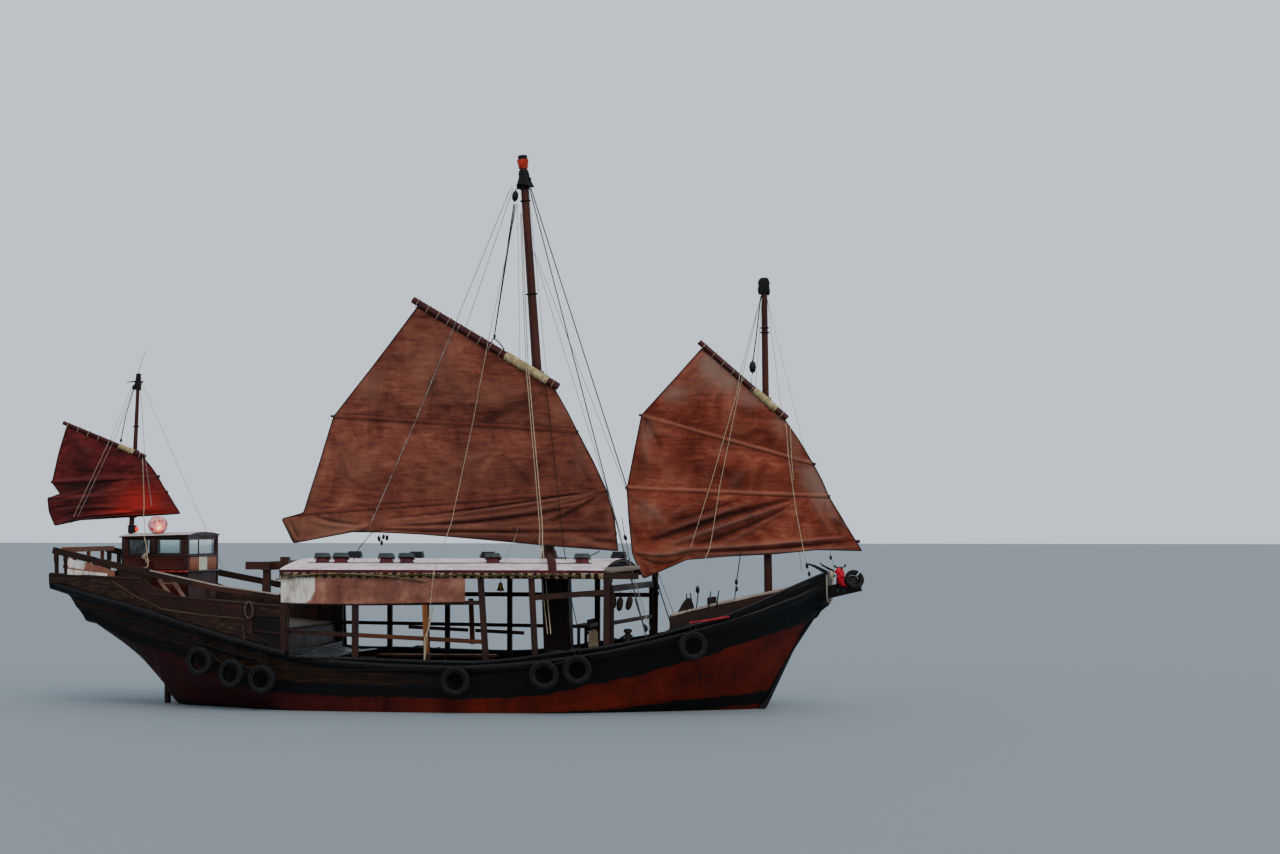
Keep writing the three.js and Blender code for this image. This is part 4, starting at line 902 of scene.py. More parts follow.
def sail_cloth(name):
    """The cloth of one sail as a closed thin sheet."""
    rows = np.array(SAIL_ROWS[name])
    down, across = SAIL_GRID[name]
    at = np.arange(len(rows))
    depth = np.concatenate([[0], np.cumsum(np.hypot(*np.diff(rows[:, :2], axis=0).T))])
    finer = np.linspace(0, 1, down) ** 0.82
    s = np.interp(finer * depth[-1], depth, at)[:, None]
    t = np.linspace(0, 1, across)[None, :]
    aft_x, aft_z, fore_x, fore_z = (np.interp(s, at, rows[:, k]) for k in range(4))
    step = s - np.floor(s)
    eased = np.floor(s) + step * step * (3 - 2 * step)
    belly = np.interp(eased, at, rows[:, 4])
    x = aft_x + (fore_x - aft_x) * t
    rise = np.interp(t, np.linspace(0, 1, 6), FOOT_RISE[name])
    z = aft_z + (fore_z - aft_z) * t + rise * np.clip(s - (len(rows) - 2), 0, 1)
    ridges = FOLD_DEPTH[name] * creases_at(CREASES[name], x, z)
    wide = rumple(x, z, 1.3, 3.0)
    fine = rumple(x, z * 1.6, 4.0, 7.0)
    sleeve = np.zeros_like(x)
    stitch = np.zeros_like(x)
    for (x0, z0), (x1, z1) in BATTENS[name]:
        above = z - (z0 + (z1 - z0) * (x - x0) / (x1 - x0))
        sleeve += np.exp(-((above - 0.01) / SLEEVE_HALF) ** 4)
        stitch += np.exp(-((above + 0.045) / 0.014) ** 2) + STITCH_ABOVE[name] * np.exp(-((above
                - 0.07) / 0.012) ** 2)
    rim = np.minimum(np.minimum(t, 1 - t) * (fore_x - aft_x),
                     np.minimum(finer, 1 - finer)[:, None] * depth[-1])
    hem = np.exp(-(rim / 0.03) ** 2)
    quiet = 1 - np.clip(sleeve, 0, 1) * 0.8
    swell = belly * np.sin(np.pi * t) ** 0.85 + (ridges + 0.022 * wide + 0.007
                                                 * fine) * quiet + 0.018 * sleeve + 0.006 * hem
    y = np.minimum(SAIL_PLANE[name] + 0.013 - swell, SAIL_PLANE[name] + 0.024)
    piece = patch(name + "_sail_cloth", np.stack([x, y, z], axis=-1), np.stack([x, z], axis=-1))
    mark(piece, "pale", spots_at(PALE[name], x, z))
    mark(piece, "dark", spots_at(DARK[name], x, z))
    mark(piece, "glow", np.clip(spots_at(GLOW[name], x, z), 0, 1))
    # amounts of painted shade in the crease troughs and of painted highlight on the crease ridges
    mark(piece, "hollow", np.clip(-ridges / 0.03, 0, 1))
    mark(piece, "crest", np.clip(ridges / 0.05, 0, 1))
    mark(piece, "sleeve", np.clip(sleeve, 0, 1))
    mark(piece, "stitch", np.clip(stitch + 0.6 * hem, 0, 1))
    apply(piece, "SOLIDIFY", thickness=CLOTH_THICK, offset=0)
    area = sum(polygon.area for polygon in piece.data.polygons) / 2
    fit_out(piece, name + "_sail_set", SAIL_FINISH[name], angle=180)
    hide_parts(name + "_sail")
    luff = np.column_stack([x[:, -1], y[:, -1], z[:, -1]])
    leech = np.column_stack([x[:, 0], y[:, 0], z[:, 0]])[::-1]
    rim_path = np.vstack([np.column_stack([x[0], y[0], z[0]]), luff[1:],
                          np.column_stack([x[-1], y[-1], z[-1]])[::-1][1:],
                          leech[1:-1]])
    print(name, "sail", round(area, 1), "square metres of mesh")
    return piece, area, rim_path


# %% [markdown]
# ## Rope, and what holds the sails
# A rope is a thin tube along a path. A bolt rope is sewn round each sail, robands lash its head to the
# yard every quarter metre, and hemp canvas is served round the yard where it chafes on the mast.

# %% Tubes
def tube(name, path, radius, sides=8, closed=False):
    """A tube along a path; radius is one number or one for each point."""
    path = np.asarray(path, float)
    radii = np.broadcast_to(np.asarray(radius, float), len(path))
    if closed:
        tangents = np.roll(path, -1, axis=0) - np.roll(path, 1, axis=0)
    else:
        tangents = np.gradient(path, axis=0)
    tangents /= np.maximum(np.linalg.norm(tangents, axis=1, keepdims=True), 1e-9)
    normal = np.cross(tangents[0], (0.31, 0.87, 0.38))
    loops, turns = [], np.linspace(0, 2 * np.pi, sides, endpoint=False)
    for point, tangent, r in zip(path, tangents, radii):
        normal = normal - tangent * (normal @ tangent)
        normal /= np.linalg.norm(normal)
        side = np.cross(tangent, normal)
        loops.append([point + r * (math.cos(a) * normal + math.sin(a) * side) for a in turns])
    if closed:
        loops.append(loops[0])
    piece = patch(name, loops, wrap=True, caps=not closed)
    if closed:
        alone(piece)
        bpy.ops.object.mode_set(mode="EDIT")
        bpy.ops.mesh.select_all(action="SELECT")
        bpy.ops.mesh.remove_doubles(threshold=0.0002)
        bpy.ops.object.mode_set(mode="OBJECT")
    return piece


def joined(name, pieces):
    """Joins some pieces into one."""
    bpy.ops.object.select_all(action="DESELECT")
    for piece in pieces:
        piece.select_set(True)
    bpy.context.view_layer.objects.active = pieces[0]
    if len(pieces) > 1:
        bpy.ops.object.join()
    made = bpy.context.object
    made.name = name
    made.data.name = name
    return made


def circle(centre, axis, radius, steps=14):
    """Points round a circle."""
    axis = Vector(axis).normalized()
    across = axis.orthogonal().normalized()
    other = axis.cross(across)
    return [Vector(centre) + radius * (math.cos(a) * across + math.sin(a) * other)
            for a in np.linspace(0, 2 * math.pi, steps, endpoint=False)]


# aft end, fore end and radius, as in the frame, and where the serving starts and ends along it
YARDS = {"main": ((-0.56, 8.99), (2.72, 7.03), 0.088, (0.64, 0.93)),
         "fore": ((5.84, 7.992), (7.76, 6.308), 0.068, (0.63, 0.88)),
         "mizzen": ((-8.68, 6.306), (-6.74, 5.526), 0.052, (0.68, 0.86))}
for name, ((x0, z0), (x1, z1), thick, (served_from, served_to)) in YARDS.items():
    cloth, area, rim_path = sail_cloth(name)
    body = name + "_sail_set"
    y = SAIL_PLANE[name] + 0.013
    spar_dir = Vector((x1 - x0, 0, z1 - z0))
    bolt = tube(name + "_bolt_rope", rim_path[::2], 0.011, sides=6, closed=True)
    fit_out(bolt, body, tarred_rope)
    count = int(spar_dir.length / 0.26)
    robands = []
    for k in range(count):
        f = (k + 0.5) / count
        centre = (x0 + (x1 - x0) * f, y, z0 + (z1 - z0) * f - 0.015)
        tilt = spar_dir + Vector((0.08 * math.sin(5 * k), 0, 0.06 * math.cos(3 * k)))
        robands.append(tube("roband", circle(centre, tilt, thick + 0.02, 14), 0.007, sides=6, closed=True))
    lashing = joined(name + "_robands", robands)
    fit_out(lashing, body, pale_rope)
    steps = np.linspace(served_from, served_to, 60)
    served = [(x0 + (x1 - x0) * f, y, z0 + (z1 - z0) * f) for f in steps]
    widths = [thick * 1.02 + 0.008 + 0.003 * math.sin(k * 1.9) for k in range(60)]
    wrap = tube(name + "_yard_serving", served, widths, sides=16)
    fit_out(wrap, body, hemp_serving, angle=60)
    flat = (round(float(rim_path[:, 0].max() - rim_path[:, 0].min()), 2),
            round(float(rim_path[:, 2].max() - rim_path[:, 2].min()), 2))

# %% [markdown]
# ## Deckhouse roof
# The frame's roof is one crowned slab. The real one is boards on bent carlines under a pale coated cover
# that is pulled down over the eaves, with a thatch edge below it and floodlights along the top. Each is
# made as its own piece on the same crown, so the roof reads right from above, from the side and from the
# deck below.

# %% Boards and carlines
ROOF_AFT, ROOF_FORE, ROOF_HALF, ROOF_SIDE, ROOF_CROWN, ROOF_THICK = -2.97, 4.06, 2.36, 2.985, 3.19, 0.06
MAST_FOOT, MAST_TOP = Vector((2.66, 0, 0.64)), Vector((1.853, 0, 12.2))


def crown(y):
    """The height of the roof's underside at y."""
    return ROOF_CROWN - (ROOF_CROWN - ROOF_SIDE) * (y / ROOF_HALF) ** 2


def mast_at(z):
    """The main mast's centre at a height."""
    return MAST_FOOT.lerp(MAST_TOP, (z - MAST_FOOT.z) / (MAST_TOP.z - MAST_FOOT.z))


def cut_round(piece, centre, radius, height=1.0):
    """Cuts a round hole through a piece, upright at centre."""
    bpy.ops.object.select_all(action="DESELECT")
    bpy.ops.mesh.primitive_cylinder_add(vertices=32, radius=radius, depth=height, location=centre)
    cutter = bpy.context.object
    apply(piece, "BOOLEAN", object=cutter, operation="DIFFERENCE", solver="EXACT")
    bpy.data.objects.remove(cutter)


ys = np.linspace(-ROOF_HALF + 0.01, ROOF_HALF - 0.01, 41)
boards = patch("roof_boards", [[(x, y, crown(y) + 0.02) for y in ys[::-1]] for x in np.linspace(ROOF_AFT,
        ROOF_FORE, 30)])
apply(boards, "SOLIDIFY", thickness=0.03, offset=0)
cut_round(boards, mast_at(3.2), 0.17)
fit_out(boards, "hull", timber("unpainted_roof_boards", ("241a12", "46341f", "6e5434"),
                                             board=(1.9, 0.14), wear=0.45))
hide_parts("deckhouse_roof")
carlines = []
for x in np.linspace(ROOF_AFT + 0.12, ROOF_FORE - 0.12, 10):
    loops = [[(x - 0.025, y, crown(y) - 0.055), (x + 0.025, y, crown(y) - 0.055), (x + 0.03, y, crown(y)),
              (x - 0.03, y, crown(y))] for y in np.linspace(-2.23, 2.23, 25)]
    if abs(x - mast_at(3.1).x) > 0.25:
        carlines.append(patch("carline", loops, wrap=True, caps=True))
fit_out(joined("roof_carlines", carlines), "hull", oiled_beam_athwart)
print(len(carlines), "carlines under the roof")

# %% [markdown]
# ## The awning and its thatch edge
# Coated awning cloth is smooth and pale, a little pink here, and shows each carline as a soft ridge. Its
# edge is bound in red. Below it hangs a thatch of split bamboo and straw: many thin blades of one shape,
# each with its own length and tone, in bunches that read as stripes from a distance. Blades of only twelve
# faces keep it light.

# %% Coated cloth
awning_cloth, shader = start("coated_awning_cloth", roughness=0.55, specular=0.35)
place = add(awning_cloth, "TexCoord")
stain = add(awning_cloth, "TexNoise", None, {"Vector": place.outputs["Object"], "Scale": 1.6, "Detail": 9.0,
                                             "Roughness": 0.7})
tone = add(awning_cloth, "ValToRGB", {"stops": [(0.34, "a8979a"), (0.47, "d6c6ca"), (0.62, "e9dde0")]},
           {"Fac": stain.outputs["Fac"]})
run_place = add(awning_cloth, "Mapping", None, {"Vector": place.outputs["Object"], "Scale": (7.0, 0.9, 1.0)})
runs = add(awning_cloth, "TexNoise", None, {"Vector": run_place.outputs["Vector"], "Scale": 1.5,
                                            "Detail": 6.0})
run_amount = add(awning_cloth, "MapRange", None,
                 {"Value": runs.outputs["Fac"], "From Min": 0.52, "From Max": 0.72,
                                                  "To Min": 0.0, "To Max": 0.35})
streaked = add(awning_cloth, "Mix", {"data_type": "RGBA"},
               {0: run_amount.outputs[0], 6: tone.outputs["Color"],
                                                           7: linear("8d7f7c")})
crinkle = add(awning_cloth, "TexNoise", None, {"Vector": place.outputs["Object"], "Scale": 6.0,
                                               "Detail": 6.0})
bump = add(awning_cloth, "Bump", None, {"Height": crinkle.outputs["Fac"], "Strength": 0.4, "Distance": 0.02})
link(awning_cloth, streaked.outputs[2], shader.inputs["Base Color"])
link(awning_cloth, bump.outputs["Normal"], shader.inputs["Normal"])

# %% The cover
EDGE_DROP = 0.07
AWNING_THICK = 0.003
half_curve = [(y, crown(y) + ROOF_THICK + 0.004) for y in np.linspace(0, ROOF_HALF, 34)]
turn_down = [(ROOF_HALF + 0.012 * math.sin(a), crown(ROOF_HALF) + ROOF_THICK - 0.008 + 0.012 * math.cos(a))
             for a in np.linspace(0.3, 1.57, 4)]
turn_down += [(ROOF_HALF + 0.013, turn_down[-1][1] - EDGE_DROP * f) for f in (0.33, 0.66, 1.0)]
curve = half_curve + turn_down
curve = [(-y, z) for y, z in curve[:0:-1]] + curve
stations = np.linspace(ROOF_AFT - 0.015, ROOF_FORE + 0.015, 150)
rows = []
for x in stations:
    ridge = 0.008 * abs(math.cos(math.pi * (x - ROOF_AFT - 0.12) / 0.755)) ** 6
    rows.append([(x, y, z - 0.008 + ridge + 0.004 * noise.noise(Vector((x * 1.5, y * 1.5, 2.0)))
                  * (1 if abs(y) < ROOF_HALF else 0)) for y, z in curve[::-1]])
awning = patch("awning_cover", rows)
apply(awning, "SOLIDIFY", thickness=AWNING_THICK, offset=1)
cut_round(awning, mast_at(3.25), 0.17)
fit_out(awning, "hull", awning_cloth, angle=60)
span = 2 * sum(math.dist(curve[k], curve[k + 1]) for k in range(len(curve) // 2))
collar = tube("mast_collar", [mast_at(3.22), mast_at(3.26), mast_at(3.32), mast_at(3.42), mast_at(3.43)],
            [0.21, 0.2, 0.17, 0.16, 0.15], sides=24)
fit_out(collar, "hull", mast_fir, angle=60)
# In the photograph the mast shows in front of the near half of the roof. The build has no slot there.
# These boards stand in for it, and their slant is chosen for the photograph's viewpoint alone.
COVER_X, COVER_SLANT, COVER_HALF, COVER_THICK = 2.5, 0.2, 0.09, 0.035
covers = []
for side in (-1, 1):
    rows = []
    for y in np.linspace(0.1, ROOF_HALF + 0.03, 18):
        x, z = COVER_X + COVER_SLANT * y, crown(min(y, ROOF_HALF)) + ROOF_THICK
        rows.append([(x - COVER_HALF, side * y, z), (x - COVER_HALF, side * y, z + COVER_THICK),
                     (x + COVER_HALF, side * y, z + COVER_THICK), (x + COVER_HALF, side * y, z)])
    covers.append(patch("cover", rows, wrap=True, caps=True))
fit_out(joined("halyard_slot_covers", covers), "hull",
        timber("worn_red_cover_board", ("220e0b", "3c1c17", "542d24"), along="Y"))
for side_name, side in (("starboard", -1), ("port", 1)):
    z = crown(ROOF_HALF) + ROOF_THICK - 0.035
    y = side * (ROOF_HALF + 0.02)
    binding = patch("awning_binding_" + side_name,
                    [[(x, y - 0.008, z - 0.03), (x, y + 0.008, z - 0.03), (x, y + 0.008, z + 0.03),
                      (x, y - 0.008, z + 0.03)]
                     for x in np.linspace(ROOF_AFT - 0.02, ROOF_FORE + 0.02, 40)], wrap=True, caps=True)
    fit_out(binding, "hull", red_enamel)
print("awning", round(span, 2), "m wide over its eaves")

# %% Thatch
thatch, shader = start("split_bamboo_and_straw", roughness=0.85, specular=0.2)
tone = add(thatch, "Attribute", {"attribute_name": "tone"})
place = add(thatch, "TexCoord")
speck = add(thatch, "TexNoise", None, {"Vector": place.outputs["Object"], "Scale": 30.0, "Detail": 6.0})
mixed = add(thatch, "Math", {"operation": "MULTIPLY_ADD"},
            {0: speck.outputs["Fac"], 1: 0.4, 2: tone.outputs["Fac"]})
straw = add(thatch, "ValToRGB", {"stops": [(0.2, "120b09"), (0.45, "2c1a14"), (0.75, "7d6848"),
                                           (1.0, "ab9872")]},
            {"Fac": mixed.outputs[0]})
bump = add(thatch, "Bump", None, {"Height": speck.outputs["Fac"], "Strength": 0.4, "Distance": 0.004})
link(thatch, straw.outputs["Color"], shader.inputs["Base Color"])
link(thatch, bump.outputs["Normal"], shader.inputs["Normal"])


def straw_edge(name, side, seed):
    """A row of hanging blades under one eave."""
    draw = np.random.default_rng(seed)
    corners, faces, tones = [], [], []
    for x in np.arange(ROOF_AFT, ROOF_FORE, 0.02):
        bunch = int((x - ROOF_AFT) / 0.095) % 2
        long = draw.random() < 0.05
        drop = 0.125 + 0.015 * draw.random() + (0.09 * draw.random() if long else 0)
        wide = 0.0125 + 0.004 * draw.random() - (0.007 if long else 0)
        lean = (draw.random() - 0.5) * 0.03
        shade = 0.08 + 0.5 * bunch + 0.16 * draw.random()
        y0 = side * (ROOF_HALF + 0.006 + 0.012 * draw.random())
        top = crown(ROOF_HALF) + 0.012
        first = len(corners)
        for f in (0, 0.35, 0.7, 1.0):
            spread = wide * (1 - 0.45 * f)
            cx, cz = x + lean * f * f, top - drop * f
            cy = y0 + side * 0.012 * f
            corners += [(cx - spread, cy, cz), (cx, cy + side * 0.009 * (1 - 0.6 * f), cz),
                        (cx + spread, cy, cz)]
            tones += [shade - 0.12 * f] * 3
        for k in range(3):
            a = first + 3 * k
            for i in range(3):
                j = (i + 1) % 3
                faces.append((a + i, a + j, a + 3 + j, a + 3 + i))
        faces += [(first + 2, first + 1, first), (first + 9, first + 10, first + 11)]
    mesh = bpy.data.meshes.new(name)
    mesh.from_pydata(corners, [], faces)
    piece = bpy.data.objects.new(name, mesh)
    bpy.context.collection.objects.link(piece)
    mark(piece, "tone", tones)
    outward(piece)
    return fit_out(piece, "hull", thatch)


straw_edge("thatch_edge_starboard", -1, 11)
straw_edge("thatch_edge_port", 1, 12)
POLE = [(-3.05, -2.42, 2.83), (-2.6, -2.44, 2.9), (-2.1, -2.44, 2.95), (-1.2, -2.44, 2.94),
        (-0.4, -2.43, 2.88), (0.25, -2.41, 2.8)]


def eased_path(points, steps):
    """A smooth curve through points."""
    points = np.asarray(points, float)
    at = np.concatenate([[0], np.cumsum(np.linalg.norm(np.diff(points, axis=0), axis=1))])
    slopes = np.gradient(points, at, axis=0)
    result = []
    for s in np.linspace(0, at[-1], steps):
        k = min(int(np.searchsorted(at, s, side="right")) - 1, len(at) - 2)
        span_length = at[k + 1] - at[k]
        t = (s - at[k]) / span_length
        a, b, c, d = 2 * t**3 - 3 * t**2 + 1, t**3 - 2 * t**2 + t, -2 * t**3 + 3 * t**2, t**3 - t**2
        result.append(a * points[k] + b * span_length * slopes[k] + c * points[k + 1] + d * span_length
                      * slopes[k + 1])
    return np.array(result)


pole_path = eased_path(POLE, 70)
knots = [0.019 + (0.006 if k % 12 == 6 else 0) for k in range(70)]
smoked_bamboo = plain("smoked_bamboo", ("2a2216", "5c4e33", "8f7c55"), roughness=0.6, scale=9)
fit_out(tube("bamboo_pole", pole_path, knots, sides=10), "hull", smoked_bamboo)
swag_points = [(-2.95 + 0.5 * k, -2.415, 2.945 - 0.035 * (k % 2)) for k in range(14)]
twist = eased_path(swag_points, 240)
strands = []
for phase in (0, math.pi):
    wound = [(x, y - 0.012 * math.cos(k * 0.55 + phase), z + 0.014 * math.sin(k * 0.55 + phase)) for k,
             (x, y, z) in enumerate(twist)]
    strands.append(tube("strand", wound, 0.012, sides=6))
brown_straw = plain("brown_straw_rope", ("241c11", "4c3f26", "7d6d48"), roughness=0.9, scale=24, bump_mm=3)
fit_out(joined("straw_garland", strands), "hull", brown_straw)
print("thatch hung")

# %% [markdown]
# ## Floodlights
# Ten floodlights stand on red pedestals along the roof. One is modelled from a cube: its casing tapered,
# its front inset for the glass, its back cut into cooling fins. The others are copies, each tilted a little
# differently, as hands leave them.

# %% One floodlight
def block(name, size, centre, bevel=0.004, segments=2, taper=1.0):
    """A beveled block from a cube; taper narrows its top."""
    bpy.ops.object.select_all(action="DESELECT")
    bpy.ops.mesh.primitive_cube_add(size=1, location=centre)
    piece = bpy.context.object
    piece.name = name
    piece.scale = size
    bpy.ops.object.transform_apply(location=False, rotation=False, scale=True)
    if taper != 1.0:
        for vertex in piece.data.vertices:
            if vertex.co.z > 0:
                vertex.co.x *= taper
                vertex.co.y *= taper
    bpy.ops.object.transform_apply(location=True, rotation=False, scale=False)
    if bevel:
        apply(piece, "BEVEL", width=bevel, segments=segments, limit_method="ANGLE")
    return piece


def turned(piece, matrix):
    """Moves a piece's mesh by a matrix."""
    piece.data.transform(matrix)
    return piece


def floodlight(x, y, tilt, heading):
    """A floodlight head on its pedestal."""
    base = crown(y) + ROOF_THICK
    head = block("flood", (0.34, 0.18, 0.085), (0, 0, 0), bevel=0.007, segments=2, taper=0.92)
    bpy.ops.object.mode_set(mode="EDIT")
    bpy.ops.mesh.select_all(action="DESELECT")
    bpy.ops.object.mode_set(mode="OBJECT")
    lowest = min(head.data.polygons, key=lambda f: f.center.z)
    lowest.select = True
    bpy.ops.object.mode_set(mode="EDIT")
    bpy.ops.mesh.select_mode(type="FACE")
    bpy.ops.mesh.inset(thickness=0.018, depth=-0.012)
    bpy.ops.object.mode_set(mode="OBJECT")
    fins = [block("fin", (0.3, 0.006, 0.022), (0, -0.07 + 0.028 * k, 0.05), bevel=0) for k in range(6)]
    arms = [block("arm", (0.012, 0.03, 0.08), (0.182 * s, 0, -0.03), bevel=0.003) for s in (-1, 1)]
    arms.append(block("yoke", (0.376, 0.03, 0.01), (0, 0, -0.07), bevel=0.003))
    lean = Matrix.Rotation(math.radians(tilt), 4, "X")
    for part in [head] + fins:
        turned(part, lean)
    lamp = joined("flood", [head] + fins + arms)
    turned(lamp, Matrix.Translation((x, y, base + 0.135)) @ Matrix.Rotation(math.radians(heading), 4, "Z"))
    stand = block("pedestal", (0.3, 0.19, 0.1), (x, y, base + 0.046), bevel=0.01, taper=0.72)
    return lamp, stand


LAMPS = [(-2.29, -1), (-1.88, -1), (-0.861, -1), (-0.414, -1), (1.495, -1), (3.452, -1), (-2.314, 1),
         (-0.869, 1),
         (0.796, 1), (3.8, 1)]
heads, stands = [], []
for k, (x, side) in enumerate(LAMPS):
    lamp, stand = floodlight(x, side * 1.42, side * (17 + 5 * math.sin(k * 2.3)), 7 * math.sin(k * 1.7))
    heads.append(lamp)
    stands.append(stand)
fit_out(joined("floodlight_heads", heads), "hull", lamp_casting)
fit_out(joined("floodlight_pedestals", stands), "hull", red_enamel)
feed = eased_path([(-2.6, -1.56, crown(1.56) + 0.075), (-1.4, -1.54, crown(1.54) + 0.073),
                   (0.2, -1.58, crown(1.58) + 0.075),
                   (1.9, -1.54, crown(1.54) + 0.075), (3.7, -1.57, crown(1.57) + 0.073)], 90)
fit_out(tube("lamp_feed_pipe", feed, 0.009, sides=8), "hull", lamp_casting)
print(len(LAMPS), "floodlights")

# %% [markdown]
# ## Cloths along the side
# Two lengths of coated cloth are laced along the eave and under the stern rail. Real ones carry lettering,
# and these are left plain: faded red-brown with a bare pale field at one end. They hang from their lacing,
# so each is a hanging sheet that ripples most along its lower edge.

# %% Banners
banner_cloth, shader = start("faded_coated_banner_cloth", roughness=0.62, specular=0.3)
place = add(banner_cloth, "TexCoord")
bleach = add(banner_cloth, "TexNoise", None, {"Vector": place.outputs["Object"], "Scale": 1.9, "Detail": 9.0,
                                              "Roughness": 0.66})
red_brown = add(banner_cloth, "ValToRGB", {"stops": [(0.33, "52291f"), (0.5, "7b4a3a"), (0.66, "9c6e5c")]},
                {"Fac": bleach.outputs["Fac"]})
grime_place = add(banner_cloth, "Mapping", None,
                  {"Vector": place.outputs["Object"], "Scale": (5.0, 1.0, 1.4)})
grime = add(banner_cloth, "TexNoise", None, {"Vector": grime_place.outputs["Vector"], "Scale": 2.0,
                                             "Detail": 7.0})
grey_field = add(banner_cloth, "ValToRGB", {"stops": [(0.35, "9b9086"), (0.55, "cfc8bf")]},
                 {"Fac": grime.outputs["Fac"]})
field = add(banner_cloth, "Attribute", {"attribute_name": "field"})
colour = add(banner_cloth, "Mix", {"data_type": "RGBA"},
             {0: field.outputs["Fac"], 6: red_brown.outputs["Color"],
                                                         7: grey_field.outputs["Color"]})
weave = add(banner_cloth, "TexNoise", None, {"Vector": place.outputs["Object"], "Scale": 90.0, "Detail": 2.0})
bump = add(banner_cloth, "Bump", None, {"Height": weave.outputs["Fac"], "Strength": 0.25, "Distance": 0.003})
link(banner_cloth, colour.outputs[2], shader.inputs["Base Color"])
link(banner_cloth, bump.outputs["Normal"], shader.inputs["Normal"])


def banner(name, aft, fore, top, foot, out_at, node, cells, field_at):
    """A cloth hung between two heights; top and foot are functions of x."""
    across, down = cells
    xs_here = np.linspace(aft, fore, across)
    rows, marks = [], []
    for f in np.linspace(0, 1, down):
        row = []
        for x in xs_here:
            scallop = 0.012 * abs(math.sin(math.pi * (x - aft) / 0.45)) * (1 - f) ** 3
            z = top(x) + (foot(x) - top(x)) * f - scallop
            ripple = f**1.3 * (0.012 * math.sin(3.9 * x + 1.7 * f) + 0.009 * math.sin(11 * x + 4 * f)
                               + 0.01 * noise.noise(Vector((x * 2.2, z * 2.2, 5.0))))
            row.append((x, out_at(x) - 0.009 - ripple, z))
            marks.append(field_at(x, f))
        rows.append(row)
    piece = patch(name, rows)
    mark(piece, "field", marks)
    apply(piece, "SOLIDIFY", thickness=0.002, offset=0)
    fit_out(piece, "hull", banner_cloth, angle=180)
    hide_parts(node)
    ties = []
    for x in np.linspace(aft + 0.04, fore - 0.04, max(3, int((fore - aft) / 0.45) + 1)):
        ties.append(tube("tie", circle((x, out_at(x) + 0.012, top(x) + 0.005), (1, 0.1, 0), 0.03, 12), 0.004,
                         sides=6, closed=True))
    lacing = joined(name + "_lacing", ties)
    fit_out(lacing, "hull", pale_rope)
    round(max(top(x) - foot(x) for x in xs_here), 2)


banner("side_banner_cloth", -2.95, 1.09, lambda x: 2.93, lambda x: 2.33 + 0.03 * math.sin(x),
       lambda x: -2.366,
       "side_banner", (150, 26),
       lambda x, f: float(x < -2.95 + (0.74 if f < 0.45 else 0.74 - 0.3
                                       * (1 - math.sqrt(max(0, 1 - ((f - 0.45) / 0.55) ** 2))))))
banner("stern_banner_cloth", -7.937, -6.8, lambda x: 3.27 - (x + 7.937) * 0.2287,
       lambda x: 2.905 - (x + 7.937) * 0.0352,
       lambda x: -1.845 - (x + 7.937) * 0.139, "stern_banner", (70, 20),
       lambda x, f: float((x < -7.5 and f < 0.55 and (x + 7.72) ** 2 + ((f - 0.25) * 0.4) ** 2 < 0.045)
                          or (f > 0.68 and x < -6.98)))
# %% [markdown]
# ## Steering cabin
# The cabin is a varnished teak box on the poop. The frame gives its walls and openings. Joinery makes it
# real: corner posts and a sill stand proud, sunk panels fill the sides, upright boards close the front,
# mitred sashes hold the glass, and a ledge runs round below. The roof is boarded and covered with painted
# canvas.

# %% Joinery helpers
def pick_faces(piece, test):
    """Opens a piece for editing with only the faces selected that pass a test."""
    alone(piece)
    bpy.ops.object.mode_set(mode="EDIT")
    bpy.ops.mesh.select_mode(type="FACE")
    bpy.ops.mesh.select_all(action="DESELECT")
    bpy.ops.object.mode_set(mode="OBJECT")
    for face in piece.data.polygons:
        face.select = test(face)
    bpy.ops.object.mode_set(mode="EDIT")


def sunk_panel(size, centre, out, frame, depth):
    """A board whose outer face is inset and sunk, as stiles and rails round a panel."""
    piece = block("panel", size, centre, bevel=0)
    aim = Vector(out)
    pick_faces(piece, lambda face: face.normal.dot(aim) > 0.9)
    bpy.ops.mesh.inset(thickness=frame, depth=0)
    bpy.ops.mesh.inset(thickness=depth * 1.4, depth=-depth)
    bpy.ops.object.mode_set(mode="OBJECT")
    apply(piece, "BEVEL", width=0.003, segments=2, limit_method="ANGLE")
    return piece


def sash(corners, out, wide, deep):
    """A mitred frame inside four corners of an opening."""
    corners = [Vector(corner) for corner in corners]
    middle = sum(corners, Vector()) / 4
    half_deep = Vector(out) * deep / 2
    rows = []
    for corner in corners + corners[:1]:
        inward = Vector([-math.copysign(wide, d) if abs(d) > 0.001 else 0 for d in corner - middle])
        rows.append([corner + half_deep, corner + inward + half_deep, corner + inward - half_deep,
                     corner - half_deep])
    piece = patch("sash", rows, wrap=True)
    alone(piece)
    bpy.ops.object.mode_set(mode="EDIT")
    bpy.ops.mesh.select_all(action="SELECT")
    bpy.ops.mesh.remove_doubles(threshold=0.0002)
    bpy.ops.mesh.normals_make_consistent(inside=False)
    bpy.ops.object.mode_set(mode="OBJECT")
    apply(piece, "BEVEL", width=0.003, segments=2, limit_method="ANGLE")
    return piece


